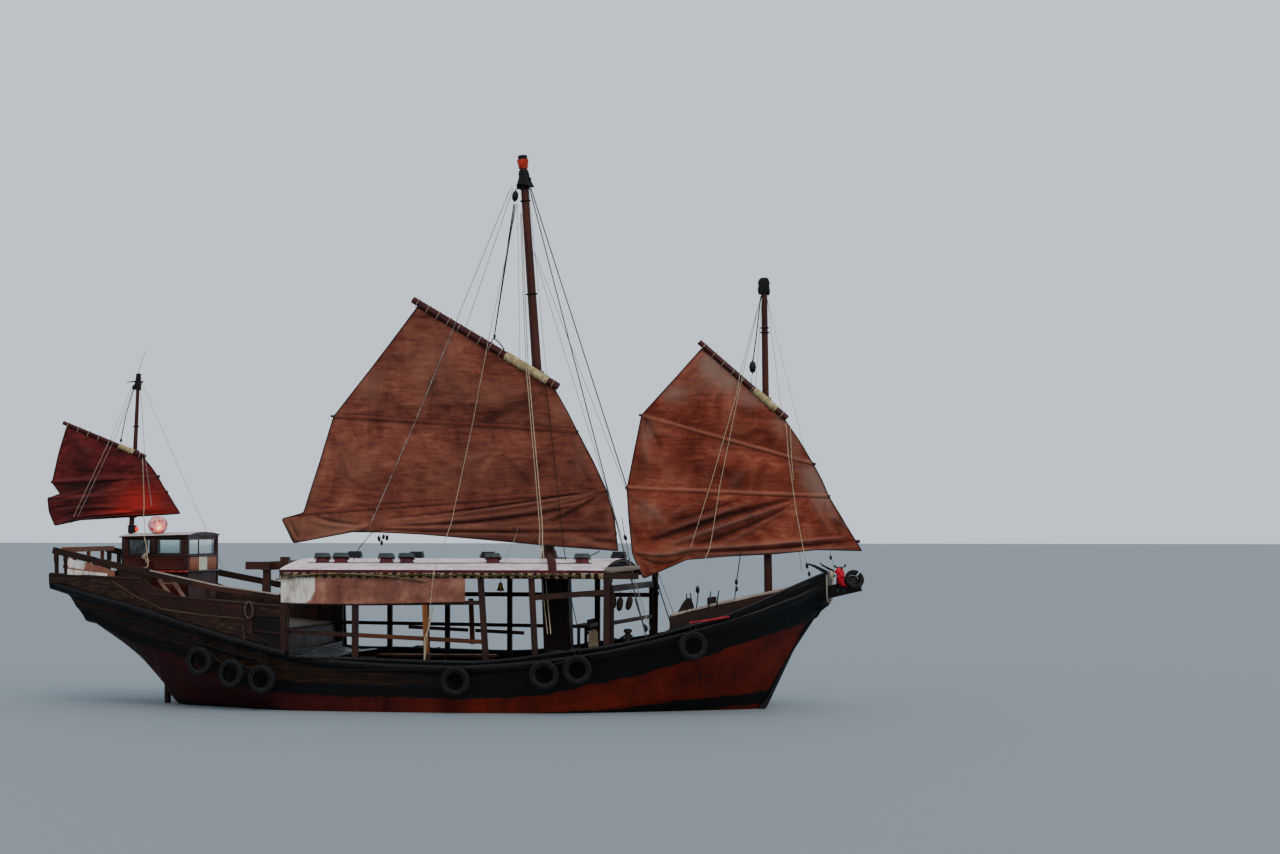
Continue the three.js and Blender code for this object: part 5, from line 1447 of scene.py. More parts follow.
def spun(name, profile, centre, axis=(0, 0, 1), steps=48):
    """Spins a profile of (radius, height) points round an axis through a centre."""
    mesh = bpy.data.meshes.new(name)
    mesh.from_pydata([(r, 0, h) for r, h in profile], [(k, k + 1) for k in range(len(profile) - 1)], [])
    piece = bpy.data.objects.new(name, mesh)
    bpy.context.collection.objects.link(piece)
    alone(piece)
    bpy.ops.object.mode_set(mode="EDIT")
    bpy.ops.mesh.select_all(action="SELECT")
    bpy.ops.mesh.spin(steps=steps, angle=2 * math.pi, center=(0, 0, 0), axis=(0, 0, 1))
    bpy.ops.mesh.select_all(action="SELECT")
    bpy.ops.mesh.remove_doubles(threshold=0.0003)
    bpy.ops.mesh.normals_make_consistent(inside=False)
    bpy.ops.object.mode_set(mode="OBJECT")
    turn = Vector((0, 0, 1)).rotation_difference(Vector(axis)).to_matrix().to_4x4()
    return turned(piece, Matrix.Translation(Vector(centre)) @ turn)


# %% Posts, panels and ledge
CABIN_AFT, CABIN_FORE, CABIN_HALF = -6.95, -5.45, 1.08
SILL, LINTEL = 3.325, 3.69
SIDE_WINDOWS = [(-6.83, -6.31), (-6.18, -5.575)]
# the front boards' lighter orange is partly sun-bleached varnish and partly painted light on the lit front face
front_teak_sunned_and_lit = timber("sunned_varnished_boards_painted_lit", ("54230d", "8a431c", "ad6530"), along="Z", roughness=0.45)
maroon_board = timber("maroon_varnished_boards", ("200906", "3b110a", "521b11"), along="Z", roughness=0.5)
dark_sash = timber("dark_varnished_sash", ("140805", "26100a", "3e1c10"), roughness=0.45)
trim, panels, fronts = [], [], []
for side in (-1, 1):
    wall = side * CABIN_HALF
    for x, foot in ((CABIN_AFT + 0.02, 2.37), (CABIN_FORE - 0.02, 2.04)):
        top = 3.725 if x < -6 else 3.765
        trim.append(block("post", (0.075, 0.075, top - foot), (x, wall - side * 0.02, (top + foot) / 2),
                          bevel=0.006))
    if side < 0:
        trim.append(block("mullion", (0.12, 0.02, 0.44), (-6.245, wall + side * 0.008, 3.51), bevel=0.005))
    last = CABIN_FORE if side < 0 else -6.29
    middle, long = (CABIN_AFT + last) / 2, last - CABIN_AFT
    trim.append(block("sill", (long, 0.045, 0.034), (middle, wall + side * 0.014, SILL - 0.02), bevel=0.008))
    trim.append(block("header", (CABIN_FORE - CABIN_AFT, 0.03, 0.03), (-6.2, wall + side * 0.008, 3.712),
                      bevel=0.006))
    for aft, fore in ((-6.9, -6.25), (-6.23, -5.5)) if side < 0 else ((-6.9, -6.3),):
        panels.append(sunk_panel((fore - aft, 0.024, 0.3), ((aft + fore) / 2, wall + side * 0.008, 3.14),
                                 (0, side, 0),
                                 0.045, 0.008))
    for k in range(6 if side < 0 else 0):
        panels.append(block("board", (0.118, 0.016, 0.5), (-6.12 + 0.12 * k, wall + side * 0.006, 2.64),
                            bevel=0.004))
for end, x in ((1, CABIN_FORE), (-1, CABIN_AFT)):
    trim.append(block("sill", (0.045, 2.16, 0.034), (x + end * 0.014, 0, SILL - 0.02), bevel=0.008))
    for k in range(10):
        fronts.append(block("board", (0.018, 0.194, 0.3), (x + end * 0.007, -0.878 + 0.195 * k, 3.14),
                            bevel=0.005))
fit_out(joined("cabin_posts_and_sills", trim), "hull", dark_sash)
fit_out(joined("cabin_side_panels", panels), "hull", maroon_board)
fit_out(joined("cabin_front_boards", fronts), "hull", front_teak_sunned_and_lit)
worn_red = plain("worn_red_ledge_enamel", ("5a1511", "8e2a22", "b04a40"), roughness=0.5, scale=10)
ledges = [block("ledge", (1.6, 0.085, 0.04), (-6.2, side * (CABIN_HALF + 0.04), 2.965),
                bevel=0.01) for side in (-1, 1)]
ledges += [block("ledge", (0.085, 2.33, 0.04), (x, 0, 2.965), bevel=0.01) for x in (CABIN_FORE + 0.04,
        CABIN_AFT - 0.04)]
fit_out(joined("cabin_ledge", ledges), "hull", dark_sash)
fit_out(block("painted_ledge", (0.72, 0.03, 0.034), (-5.76, -1.165, 2.968), bevel=0.008), "hull",
        worn_red)
tin = plain("painted_tin_plate", ("b4b89c", "ccd0b2", "dfe2cc"), roughness=0.45, scale=5, bump_mm=0.6)
plate = sunk_panel((0.008, 0.58, 0.34), (CABIN_FORE + 0.022, -0.05, 3.15), (1, 0, 0), 0.025, 0.003)
fit_out(plate, "hull", tin)
print(len(trim), "pieces of cabin trim")

# %% Sashes and glass
pane_glass, shader = start("old_window_glass", roughness=0.04, ior=1.5)
shader.inputs["Base Color"].default_value = linear("d3dfdd")
shader.inputs["Transmission Weight"].default_value = 1.0
place = add(pane_glass, "TexCoord")
ream = add(pane_glass, "TexNoise", None, {"Vector": place.outputs["Object"], "Scale": 3.0, "Detail": 2.0})
bump = add(pane_glass, "Bump", None, {"Height": ream.outputs["Fac"], "Strength": 0.1, "Distance": 0.01})
link(pane_glass, bump.outputs["Normal"], shader.inputs["Normal"])
frames, panes = [], []
for side in (-1, 1):
    y = side * (CABIN_HALF - 0.025)
    for aft, fore in SIDE_WINDOWS if side < 0 else SIDE_WINDOWS[:1]:
        frames.append(sash([(aft, y, SILL), (fore, y, SILL), (fore, y, LINTEL), (aft, y, LINTEL)], (0, 1, 0),
                           0.028, 0.035))
        panes.append(block("pane", (fore - aft - 0.03, 0.004, LINTEL - SILL - 0.03),
                           ((aft + fore) / 2, y, 3.5075), bevel=0.001, segments=1))
for end, x, mullion in ((1, CABIN_FORE - 0.025, -0.24), (-1, CABIN_AFT + 0.025, 0.0)):
    frames.append(sash([(x, -0.96, SILL), (x, 0.96, SILL), (x, 0.96, LINTEL), (x, -0.96, LINTEL)], (1, 0, 0),
                       0.028, 0.035))
    frames.append(block("bar", (0.03, 0.018, LINTEL - SILL - 0.02), (x, mullion, 3.5075), bevel=0.003))
    panes.append(block("pane", (0.004, 1.89, LINTEL - SILL - 0.03), (x, 0, 3.5075), bevel=0.001, segments=1))
fit_out(joined("cabin_sashes", frames), "hull", dark_sash)
fit_out(joined("cabin_window_glass", panes), "hull", pane_glass)
curtain_cotton = plain("grey_cotton_curtain", ("1b1a1c", "38373a", "6c6a6c"), roughness=0.95, scale=9,
                       bump_mm=3)
xs_here = np.linspace(-6.83, -6.4, 90)
folds = [(0.5 + 0.5 * math.sin(41 * x) + 0.35 * math.sin(97 * x + 1)) for x in xs_here]
curtain = patch("cabin_curtain", [[(x, -0.992 + 0.03 * fold * (0.5 + 0.5 * f), 3.7 - 0.38 * f) for x,
                                   fold in zip(xs_here, folds)]
                                  for f in np.linspace(0, 1, 14)])
apply(curtain, "SOLIDIFY", thickness=0.0015, offset=0)
fit_out(curtain, "hull", curtain_cotton, angle=180)
print(len(panes), "panes set")

# %% Cabin roof
deck_canvas = plain("painted_roof_canvas", ("8b8482", "b3abaa", "cfc7c6"), roughness=0.7, scale=3, bump_mm=4)
rows = []
for x, base in ((-7.015, 3.714), (-7.0, 3.714), (-6.2, 3.7355), (-5.43, 3.756), (-5.41, 3.756)):
    drop = 0.012 if x in (-7.015, -5.41) else 0
    crowned = [(x, y, base + 0.031 + 0.057 * (1 - (y / 1.13) ** 2) - drop) for y in np.linspace(-1.125,
            1.125, 31)]
    rows.append([(x, -1.138, base + 0.012)] + crowned + [(x, 1.138, base + 0.012)])
top = patch("cabin_roof_top", [row[::-1] for row in rows])
apply(top, "SOLIDIFY", thickness=0.006, offset=1)
fit_out(top, "hull", deck_canvas)
beading = [block("beading", (1.61, 0.014, 0.022), (-6.2125, side * 1.136, 3.752),
                 bevel=0.004) for side in (-1, 1)]
for strip in beading:
    turned(strip, Matrix.Translation((-6.2125, 0, 3.752)) @ Matrix.Rotation(-math.atan2(0.0426, 1.6), 4, "Y")
           @ Matrix.Translation((6.2125, 0, -3.752)))
fit_out(joined("cabin_roof_beading", beading), "hull", dark_sash)
print("cabin roofed")

# %% [markdown]
# ## Lantern, stern lamp and knotted line
# The lantern is a paper globe on wire ribs, lit from inside. Its profile is a half circle with sixteen
# small scallops, spun round the upright axis. The glow is an emission colour that fades from a hot spot
# near the bulb. A black stern lamp stands by the mast, and a knotted line comes down from the roof to the
# rail.

# %% Lantern
lantern_paper, shader = start("ribbed_lantern_paper", roughness=0.8, specular=0.2)
place = add(lantern_paper, "TexCoord")
fibre = add(lantern_paper, "TexNoise", None, {"Vector": place.outputs["Object"], "Scale": 16.0,
                                              "Detail": 8.0, "Roughness": 0.7})
paper = add(lantern_paper, "ValToRGB", {"stops": [(0.38, "9c3a3c"), (0.5, "d79a98"), (0.6, "eccfca")]},
            {"Fac": fibre.outputs["Fac"]})
near = add(lantern_paper, "Mapping", None, {"Vector": place.outputs["Object"],
                                            "Location": (6.155 / 0.2, 0.95 / 0.2, -3.935 / 0.2),
                                            "Scale": (5.0, 5.0, 5.0)})
heat = add(lantern_paper, "TexGradient", {"gradient_type": "SPHERICAL"}, {"Vector": near.outputs["Vector"]})
glow = add(lantern_paper, "ValToRGB",
           {"stops": [(0.0, "2a0605"), (0.35, "7d1a10"), (0.62, "e8562a"), (0.82, "ffd08a")]},
           {"Fac": heat.outputs["Fac"]})
bump = add(lantern_paper, "Bump", None, {"Height": fibre.outputs["Fac"], "Strength": 0.3, "Distance": 0.004})
shader.inputs["Emission Strength"].default_value = 1.4
link(lantern_paper, paper.outputs["Color"], shader.inputs["Base Color"])
link(lantern_paper, glow.outputs["Color"], shader.inputs["Emission Color"])
link(lantern_paper, bump.outputs["Normal"], shader.inputs["Normal"])
LAMP_PLACE = (-6.25, -0.76, 3.995)
profile = []
for angle in np.linspace(-68, 68, 97):
    scallop = 0.005 * abs(math.cos(math.radians(angle) * 16 * 90 / 68))
    profile.append(((0.208 + scallop) * math.cos(math.radians(angle)) ** 0.92,
                    0.198 * math.sin(math.radians(angle))))
globe = spun("lantern_globe", profile, LAMP_PLACE, steps=48)
fit_out(globe, "hull", lantern_paper)
cap = [(0.001, 0.192), (0.07, 0.192), (0.088, 0.186), (0.09, 0.172), (0.082, 0.166), (0.001, 0.166)]
foot = [(0.001, -0.205), (0.072, -0.205), (0.076, -0.198), (0.062, -0.192), (0.088, -0.186), (0.09, -0.172),
        (0.001, -0.168)]
caps = [spun("cap", cap, LAMP_PLACE, steps=32), spun("foot", foot, LAMP_PLACE, steps=32)]
ribs = [tube("rib", [(LAMP_PLACE[0] + 0.213 * math.cos(math.radians(a)) ** 0.92 * math.cos(t),
                      LAMP_PLACE[1] + 0.213 * math.cos(math.radians(a)) ** 0.92 * math.sin(t),
                      LAMP_PLACE[2] + 0.199 * math.sin(math.radians(a))) for a in np.linspace(-66, 66, 22)],
                      0.0035, sides=5)
        for t in np.linspace(0.4, 0.4 + 2 * math.pi, 10, endpoint=False)]
lantern_red = plain("lacquered_lantern_red", ("5c1512", "8c2520", "b0453a"), roughness=0.35, scale=18,
                    bump_mm=0.5)
cage = joined("lantern_cage", caps + ribs)
fit_out(cage, "hull", lantern_red)
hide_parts("lantern")
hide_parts("lantern")

# %% Stern lamp and line
case = block("stern_lamp", (0.16, 0.16, 0.15), (-7.0, -0.3, 3.895), bevel=0.012, segments=3)
shade = block("shade", (0.19, 0.19, 0.02), (-7.0, -0.3, 3.978), bevel=0.006)
leg = block("leg", (0.06, 0.06, 0.06), (-7.0, -0.3, 3.8), bevel=0.006)
fit_out(joined("stern_lamp", [case, shade, leg]), "hull", tarred_iron)
red_lens, shader = start("red_glass_lens", roughness=0.2)
place = add(red_lens, "TexCoord")
ridges = add(red_lens, "TexWave", {"wave_type": "BANDS", "bands_direction": "Z"},
             {"Vector": place.outputs["Object"], "Scale": 14.0})
lens_tone = add(red_lens, "ValToRGB", {"stops": [(0.3, "a4160c"), (0.7, "e8301c")]},
                {"Fac": ridges.outputs["Fac"]})
link(red_lens, lens_tone.outputs["Color"], shader.inputs["Base Color"])
link(red_lens, lens_tone.outputs["Color"], shader.inputs["Emission Color"])
shader.inputs["Emission Strength"].default_value = 1.6
lens = spun("stern_lamp_lens", [(0.001, -0.05), (0.035, -0.05), (0.045, -0.03), (0.048, 0.0), (0.045, 0.03),
                                (0.035, 0.05),
                                (0.001, 0.05)], (-6.9, -0.3, 3.9), steps=24)
fit_out(lens, "hull", red_lens)
LINE = [(-6.43, -1.15, 3.735), (-6.385, -1.155, 3.58), (-6.355, -1.165, 3.37), (-6.42, -1.175, 3.285),
        (-6.335, -1.18, 3.19),
        (-6.3, -1.3, 3.09), (-6.285, -1.6, 3.05), (-6.3, -1.93, 3.06)]
knot_line = [tube("line", eased_path(LINE, 70), 0.013, sides=8)]
for (x, z), size in (((-6.42, 3.29), 0.034), ((-6.345, 3.2), 0.03), ((-6.395, 3.33), 0.026)):
    turns = [(x + 1.1 * size * math.cos(a), -1.178 - 0.012 * math.sin(2 * a),
              z + size * math.sin(a) * 1.3) for a in np.linspace(0, 2 * math.pi, 22, endpoint=False)]
    knot_line.append(tube("turn", turns, 0.013, sides=8, closed=True))
    knot_line.append(tube("turn", [(px, py - 0.014, z + (pz - z) * 0.7) for px, py, pz in turns], 0.012,
                          sides=8, closed=True))
fit_out(joined("knotted_roof_line", knot_line), "hull", pale_rope)
boat_pole = [(-6.102, -1.93, 2.781), (-5.9, -1.95, 2.47), (-5.658, -1.97, 2.16)]
scrubbed_pine = timber("scrubbed_pine", ("6c4a38", "9a7661", "bd9f88"), along="Z")
fit_out(tube("boat_pole", eased_path(boat_pole, 24), 0.017, sides=10), "hull",
        scrubbed_pine)
print("lantern and stern lamp lit")
# %% [markdown]
# ## Tyre fenders
# Old car tyres hang along both sides and at the bow. A tyre is one section spun round its axle: bulging
# sidewalls, a bead at the hole, a tread with three grooves, and an open inside. Notches across the shoulder
# make the tread blocks. One tyre is modelled and copied, each copy turned and pressed out of round a
# little, then roped to the rail.

# %% Worn rubber
worn_tyre, shader = start("scuffed_tyre_rubber", roughness=0.85, specular=0.25)
place = add(worn_tyre, "TexCoord")
dust = add(worn_tyre, "TexNoise", None, {"Vector": place.outputs["Object"], "Scale": 13.0, "Detail": 9.0,
                                         "Roughness": 0.7})
black_tone = add(worn_tyre, "ValToRGB", {"stops": [(0.36, "060607"), (0.52, "0b0c0e"), (0.68, "18191c")]},
                 {"Fac": dust.outputs["Fac"]})
scuff = add(worn_tyre, "Attribute", {"attribute_name": "scuff"})
patchy = add(worn_tyre, "Math", {"operation": "MULTIPLY"}, {0: scuff.outputs["Fac"], 1: dust.outputs["Fac"]})
scuff_amount = add(worn_tyre, "MapRange", None, {"Value": patchy.outputs[0], "From Min": 0.2,
                                                 "From Max": 0.6, "To Min": 0.0, "To Max": 0.4})
rubbed = add(worn_tyre, "Mix", {"data_type": "RGBA"},
             {0: scuff_amount.outputs[0], 6: black_tone.outputs["Color"], 7: linear("34363a")})
grit = add(worn_tyre, "TexNoise", None, {"Vector": place.outputs["Object"], "Scale": 120.0, "Detail": 3.0})
bump = add(worn_tyre, "Bump", None, {"Height": grit.outputs["Fac"], "Strength": 0.3, "Distance": 0.002})
link(worn_tyre, rubbed.outputs[2], shader.inputs["Base Color"])
link(worn_tyre, bump.outputs["Normal"], shader.inputs["Normal"])

# %% One tyre
TYRE_RADIUS, TYRE_HALF, TYRE_HOLE = 0.31, 0.095, 0.19
TYRE_STEPS = 72


def tyre_section(radius, half, hole):
    """Half a tyre's section from the middle of the tread to the bead and back inside, as (radius, out)."""
    wall = radius - hole
    outer = [(0.0, 0.0), (0.0, 0.1), (-0.075, 0.12), (-0.075, 0.2), (0.0, 0.22), (-0.01, 0.48),
             (-0.085, 0.5), (-0.085, 0.58),
             (-0.015, 0.6), (-0.04, 0.78), (-0.12, 0.9), (-0.26, 0.98), (-0.42, 1.0), (-0.6, 0.96),
             (-0.78, 0.86), (-0.9, 0.78),
             (-1.0, 0.74), (-1.0, 0.62), (-0.9, 0.6), (-0.72, 0.74), (-0.45, 0.86), (-0.25, 0.78),
             (-0.17, 0.5), (-0.16, 0.0)]
    return [(radius + wall * r, half * h) for r, h in outer]


def tyre(name, radius=TYRE_RADIUS, half=TYRE_HALF, hole=TYRE_HOLE):
    """A tyre round the upright axis at the origin."""
    side_of = tyre_section(radius, half, hole)
    loop = side_of + [(r, -h) for r, h in side_of[-2:0:-1]]
    piece = spun(name, loop + loop[:1], (0, 0, 0), steps=TYRE_STEPS)
    values = []
    for vertex in piece.data.vertices:
        r, z = math.hypot(vertex.co.x, vertex.co.y), abs(vertex.co.z)
        step = round(math.atan2(vertex.co.y, vertex.co.x) / (2 * math.pi) * TYRE_STEPS)
        if r > radius - 0.14 * (radius - hole) and z > 0.55 * half and step % 4 == 0:
            vertex.co.x *= (r - 0.012) / r
            vertex.co.y *= (r - 0.012) / r
        rim = math.exp(-((r - hole - 0.012) / 0.012) ** 2) + math.exp(-((r - radius + 0.014) / 0.014) ** 2)
        values.append(min(1.0, rim * (1.0 if z > 0.5 * half else 0.4)))
    mark(piece, "scuff", values)
    return piece


def copied(piece, name):
    """A copy with its own mesh."""
    twin = piece.copy()
    twin.data = piece.data.copy()
    twin.name = name
    bpy.context.collection.objects.link(twin)
    return twin


# x, z of each tyre's centre
TYRES = [(-4.778, 1.055), (-4.04, 0.8), (-3.324, 0.694), (0.963, 0.7), (2.857, 0.846), (3.546, 0.956),
         (5.931, 1.456)]
first_tyre = tyre("first_tyre")
for side_name, side in (("starboard", -1), ("port", 1)):
    hung, ropes, centres = [], [], []
    for k, (x, z) in enumerate(TYRES):
        away = max(breadth(x, z + up) for up in (-0.2, 0, 0.26)) + 0.195
        lean = (breadth(x + 0.2, z) - breadth(x - 0.2, z)) / 0.4
        axis = Vector((-lean, side, 0)).normalized()
        place_at = Vector((x, side * away, z))
        turn = Vector((0, 0, 1)).rotation_difference(axis).to_matrix().to_4x4()
        pressed = Matrix.Scale(1.0 + 0.02 * math.sin(k * 2.1), 4,
                               (1, 0, 0)) @ Matrix.Scale(1.0 - 0.02 * math.sin(k * 2.1), 4, (0, 1, 0))
        hung.append(turned(copied(first_tyre, "tyre"),
                           Matrix.Translation(place_at) @ turn @ Matrix.Rotation(k * 0.7, 4, "Z") @ pressed))
        centres.append(place_at)
        top = level(sheer, x) if x > -2.76 else level(wale_line, x) + 0.06
        rail_y = side * (breadth(x, top - 0.06) + 0.045)
        crown_at = place_at + Vector((0, 0, TYRE_RADIUS - 0.03))
        for dx in (-0.035, 0.04):
            path = [place_at + Vector((dx * 0.6, side * 0.05, TYRE_HOLE - 0.012)),
                    place_at + Vector((dx * 0.8, side * 0.108, TYRE_HOLE + 0.05)),
                    crown_at + Vector((dx, side * 0.09, 0.0)), crown_at + Vector((dx, -side * 0.0, 0.05)),
                    Vector((x + 1.6 * dx, (rail_y + side * away) / 2, (top + z + TYRE_RADIUS) / 2 + 0.01)),
                    Vector((x + 2 * dx, rail_y, top - 0.02))]
            ropes.append(tube("hanger", eased_path(path, 26), 0.009, sides=6))
    for a, b in zip(centres, centres[1:]):
        span = (b - a).length
        if span > 1.0:
            out_a, out_b = (Vector((0, side * 0.0, 0.27)) for _ in range(2))
            path = []
            for f in np.linspace(0, 1, 24):
                p = (a + out_a).lerp(b + out_b, f)
                p.z -= 0.05 * 4 * f * (1 - f)
                if 0.06 < f < 0.94:
                    p.y = side * (breadth(p.x, p.z) + 0.095)
                path.append(p)
            ropes.append(tube("fender_line", eased_path(path, 60), 0.01, sides=6))
        else:
            ropes.append(tube("fender_line",
                              eased_path([a + Vector((0.2, side * 0.02, 0.23)),
                                          a.lerp(b, 0.5) + Vector((0, side * 0.02, 0.2)),
                                                         b + Vector((-0.2, side * 0.02, 0.23))], 14), 0.014,
                                                         sides=6))
    piece = joined("tyre_fenders_" + side_name, hung)
    fit_out(piece, "hull", worn_tyre, angle=35)
    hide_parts("tyres_" + side_name)
    fit_out(joined("tyre_ropes_" + side_name, ropes), "hull", tarred_rope)
    print(side_name, len(hung), "tyres,", len(piece.data.polygons), "faces")
bpy.data.objects.remove(first_tyre)
bow_ring = tyre("bow_fender_tyre", radius=0.215, half=0.062, hole=0.128)
BOW_TYRE_AT, BOW_TYRE_AXIS = Vector((9.205, -0.225, 2.815)), Vector((0.35, -0.85, 0.4)).normalized()
turned(bow_ring, Matrix.Translation(BOW_TYRE_AT) @ Vector((0, 0,
                                                           1)).rotation_difference(BOW_TYRE_AXIS).to_matrix().to_4x4())
fit_out(bow_ring, "hull", worn_tyre, angle=35)
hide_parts("bow_tyre")
# %% [markdown]
# ## Bow gear
# The bow carries a fender beam with a tyre, a post with a red festive rosette, a coil of rope, a horn at
# the corner of the bulwark and an anchor fluke. The rosette is cloth: discs gathered at their middle, so
# that their rims ruffle. Each disc is rows of points from the centre out, whose height swings more and more
# towards the rim.

# %% Rosette
def ruffle(centre, radius, aim, seed):
    """A gathered disc of cloth that faces an aim."""
    draw = np.random.default_rng(seed)
    phase, waves = draw.random() * 6, 7 + int(draw.random() * 3)
    turn = Vector((0, 0, 1)).rotation_difference(Vector(aim).normalized())
    rows = []
    for f in np.linspace(0.06, 1, 9):
        row = []
        for a in np.linspace(0, 2 * math.pi, 44, endpoint=False):
            reach = radius * f * (1 + 0.12 * math.sin(3 * a + phase))
            swing = radius * (0.32 * f * math.sin(waves * a + phase) * f + 0.2 * f * math.sin(2 * a + phase)
                              - 0.25 * f * f)
            row.append(Vector(centre) + turn @ Vector((reach * math.cos(a), reach * math.sin(a), swing)))
        rows.append(row)
    piece = patch("ruffle", rows, wrap=True)
    apply(piece, "SOLIDIFY", thickness=0.002, offset=0)
    return piece


festive_red = plain("red_satin_ribbon", ("86061a", "c00f28", "e6324a"), roughness=0.45, scale=22, bump_mm=2)
leaf_green = plain("dark_dyed_leaf_cloth", ("08150e", "12301f", "2b4d31"), roughness=0.7, scale=20, bump_mm=1)
# centre, radius and the way each disc faces
RUFFLES = [((8.87, -0.27, 3.0), 0.075, (0.1, -1, 0.3)), ((8.95, -0.29, 2.97), 0.07, (0.5, -1, 0.2)),
           ((8.91, -0.3, 2.9), 0.08, (0.2, -1, 0)), ((8.95, -0.28, 2.82), 0.075, (0.4, -1, 0.1)),
           ((8.89, -0.26, 2.78), 0.06, (-0.1, -1, -0.2)), ((9.0, -0.27, 2.75), 0.07, (0.5, -1, -0.1)),
           ((9.04, -0.25, 2.7), 0.055, (0.6, -1, -0.3)), ((8.93, -0.25, 2.72), 0.05, (0.1, -1, -0.4))]
discs = [ruffle(centre, radius, aim, k) for k, (centre, radius, aim) in enumerate(RUFFLES)]
rosette = joined("festive_rosette", discs)
fit_out(rosette, "hull", festive_red, angle=180)
leaves = []
for k, (x, z, turn) in enumerate([(8.84, 3.06, 2.4), (8.97, 3.07, 0.9), (8.82, 2.9, 3.3), (8.98, 2.62, -1.2),
                                  (8.88, 2.64, -2.0), (9.06, 2.8, 0.2)]):
    ax, az = math.cos(turn), math.sin(turn)
    rows = [[(x + ax * 0.11 * f - az * w, -0.225 - 0.012 * math.sin(3 * f + k), z + az * 0.11 * f + ax * w)
             for w in (-0.022 * math.sin(math.pi * f) - 0.001, 0.0, 0.022 * math.sin(math.pi * f) + 0.001)]
             for f in np.linspace(0, 1, 8)]
    leaf = patch("leaf", rows)
    apply(leaf, "SOLIDIFY", thickness=0.002, offset=0)
    leaves.append(leaf)
foliage = joined("rosette_leaves", leaves)
fit_out(foliage, "hull", leaf_green)
bow_post = block("bow_post", (0.15, 0.17, 0.42), (8.885, -0.1, 2.88), bevel=0.014, segments=3, taper=0.86)
fit_out(bow_post, "hull", black_enamel)
print("rosette of", len(discs), "discs")

# %% Horn, fluke, rim and coil
def tapered(name, stations):
    """A squared timber through stations of (centre, width, height)."""
    rows = []
    for centre, wide, high in stations:
        x, y, z = centre
        rows.append([(x, y - wide / 2, z - high / 2), (x, y + wide / 2, z - high / 2),
                     (x, y + wide / 2, z + high / 2),
                     (x, y - wide / 2, z + high / 2)])
    piece = patch(name, rows, wrap=True, caps=True)
    outward(piece)
    apply(piece, "BEVEL", width=0.008, segments=2, limit_method="ANGLE")
    return piece


horns = []
for side in (-1, 1):
    tip, fat = (8.27, 1.0) if side < 0 else (8.36, 0.6)
    horns.append(tapered("horn", [((tip, side * 0.93, 3.165), 0.03, 0.03),
                                  ((8.42, side * 0.925, 3.11), 0.05, 0.065 * fat),
                                  ((8.55, side * 0.92, 3.04), 0.06, 0.085 * fat),
                                  ((8.69, side * 0.915, 2.975), 0.065, 0.09 * fat)]))
horns.append(tapered("fluke", [((8.37, -0.3, 1.99), 0.03, 0.05), ((8.42, -0.3, 2.06), 0.1, 0.09),
                               ((8.5, -0.3, 2.19), 0.16, 0.1),
                               ((8.56, -0.3, 2.25), 0.08, 0.08), ((8.66, -0.3, 2.28), 0.06, 0.06)]))
fit_out(joined("bow_horns_and_fluke", horns), "hull", black_enamel)
RIM = [(0.915, 3.0), (0.875, 2.66), (0.78, 2.43), (0.53, 2.355), (0.2, 2.325), (0.0, 2.315)]
rim_half = [(8.665, -y, z) for y, z in RIM]
rim_line = eased_path(rim_half + [(x, -y, z) for x, y, z in rim_half[-2::-1]], 90)
fit_out(tube("bow_board_rim_rope", rim_line, 0.014, sides=8), "hull", pale_rope)
turns = [(8.72 + 0.011 * (k // 24) + 0.002 * math.sin(k),
          -0.52 + (0.085 + 0.006 * math.sin(k * 0.37)) * math.cos(k * math.pi / 12),
          2.9 + (0.1 + 0.008 * math.sin(k * 0.23)) * math.sin(k * math.pi / 12)) for k in range(24 * 5)]
coil = [tube("coil", turns, 0.01, sides=7), tube("coil_hitch",
                                                 [(8.69, -0.5, 3.02), (8.74, -0.51, 3.0),
                                                  (8.785, -0.52, 2.96), (8.74, -0.53, 2.93),
                                                  (8.7, -0.53, 2.94)], 0.01, sides=7)]
fit_out(joined("bow_rope_coil", coil), "hull", pale_rope)
print("bow dressed")

# %% [markdown]
# ## Blocks, floats and deck gear
# A rigging block is a wooden shell with a sheave in it, hung by a rope strop. One function makes a block at
# a place, hanging along a direction, from a stretched sphere that is cut flat on its two cheeks. Floats,
# the bollard and the bell are spun from their profiles, and coils of line are looped tubes hung on the
# belaying pins.

# %% Blocks
def pulley(centre, direction=(0, 0, -1), size=0.12):
    """A wooden block with its strop; direction runs from its eye to its tail."""
    bpy.ops.object.select_all(action="DESELECT")
    bpy.ops.mesh.primitive_uv_sphere_add(segments=20, ring_count=14, radius=0.5, location=(0, 0, 0))
    shell_of = bpy.context.object
    for vertex in shell_of.data.vertices:
        vertex.co.x = max(-0.26, min(0.26, vertex.co.x * 0.62))
        vertex.co.y *= 0.78
    strop = [(0, 0.4 * math.cos(a), 0.53 * math.sin(a)) if math.sin(a) < 0.75 else (0, 0.25 * math.cos(a),
            0.56 * math.sin(a) + 0.06)
             for a in np.linspace(0, 2 * math.pi, 26, endpoint=False)]
    ring = tube("strop", strop, 0.045, sides=6, closed=True)
    pin = tube("pin", [(-0.3, 0, 0), (0.3, 0, 0)], 0.07, sides=10)
    made = joined("pulley", [shell_of, ring, pin])
    made.data.transform(Matrix.Scale(size, 4))
    turn = Vector((0, 0, -1)).rotation_difference(Vector(direction).normalized()).to_matrix().to_4x4()
    return turned(made, Matrix.Translation(Vector(centre)) @ turn)


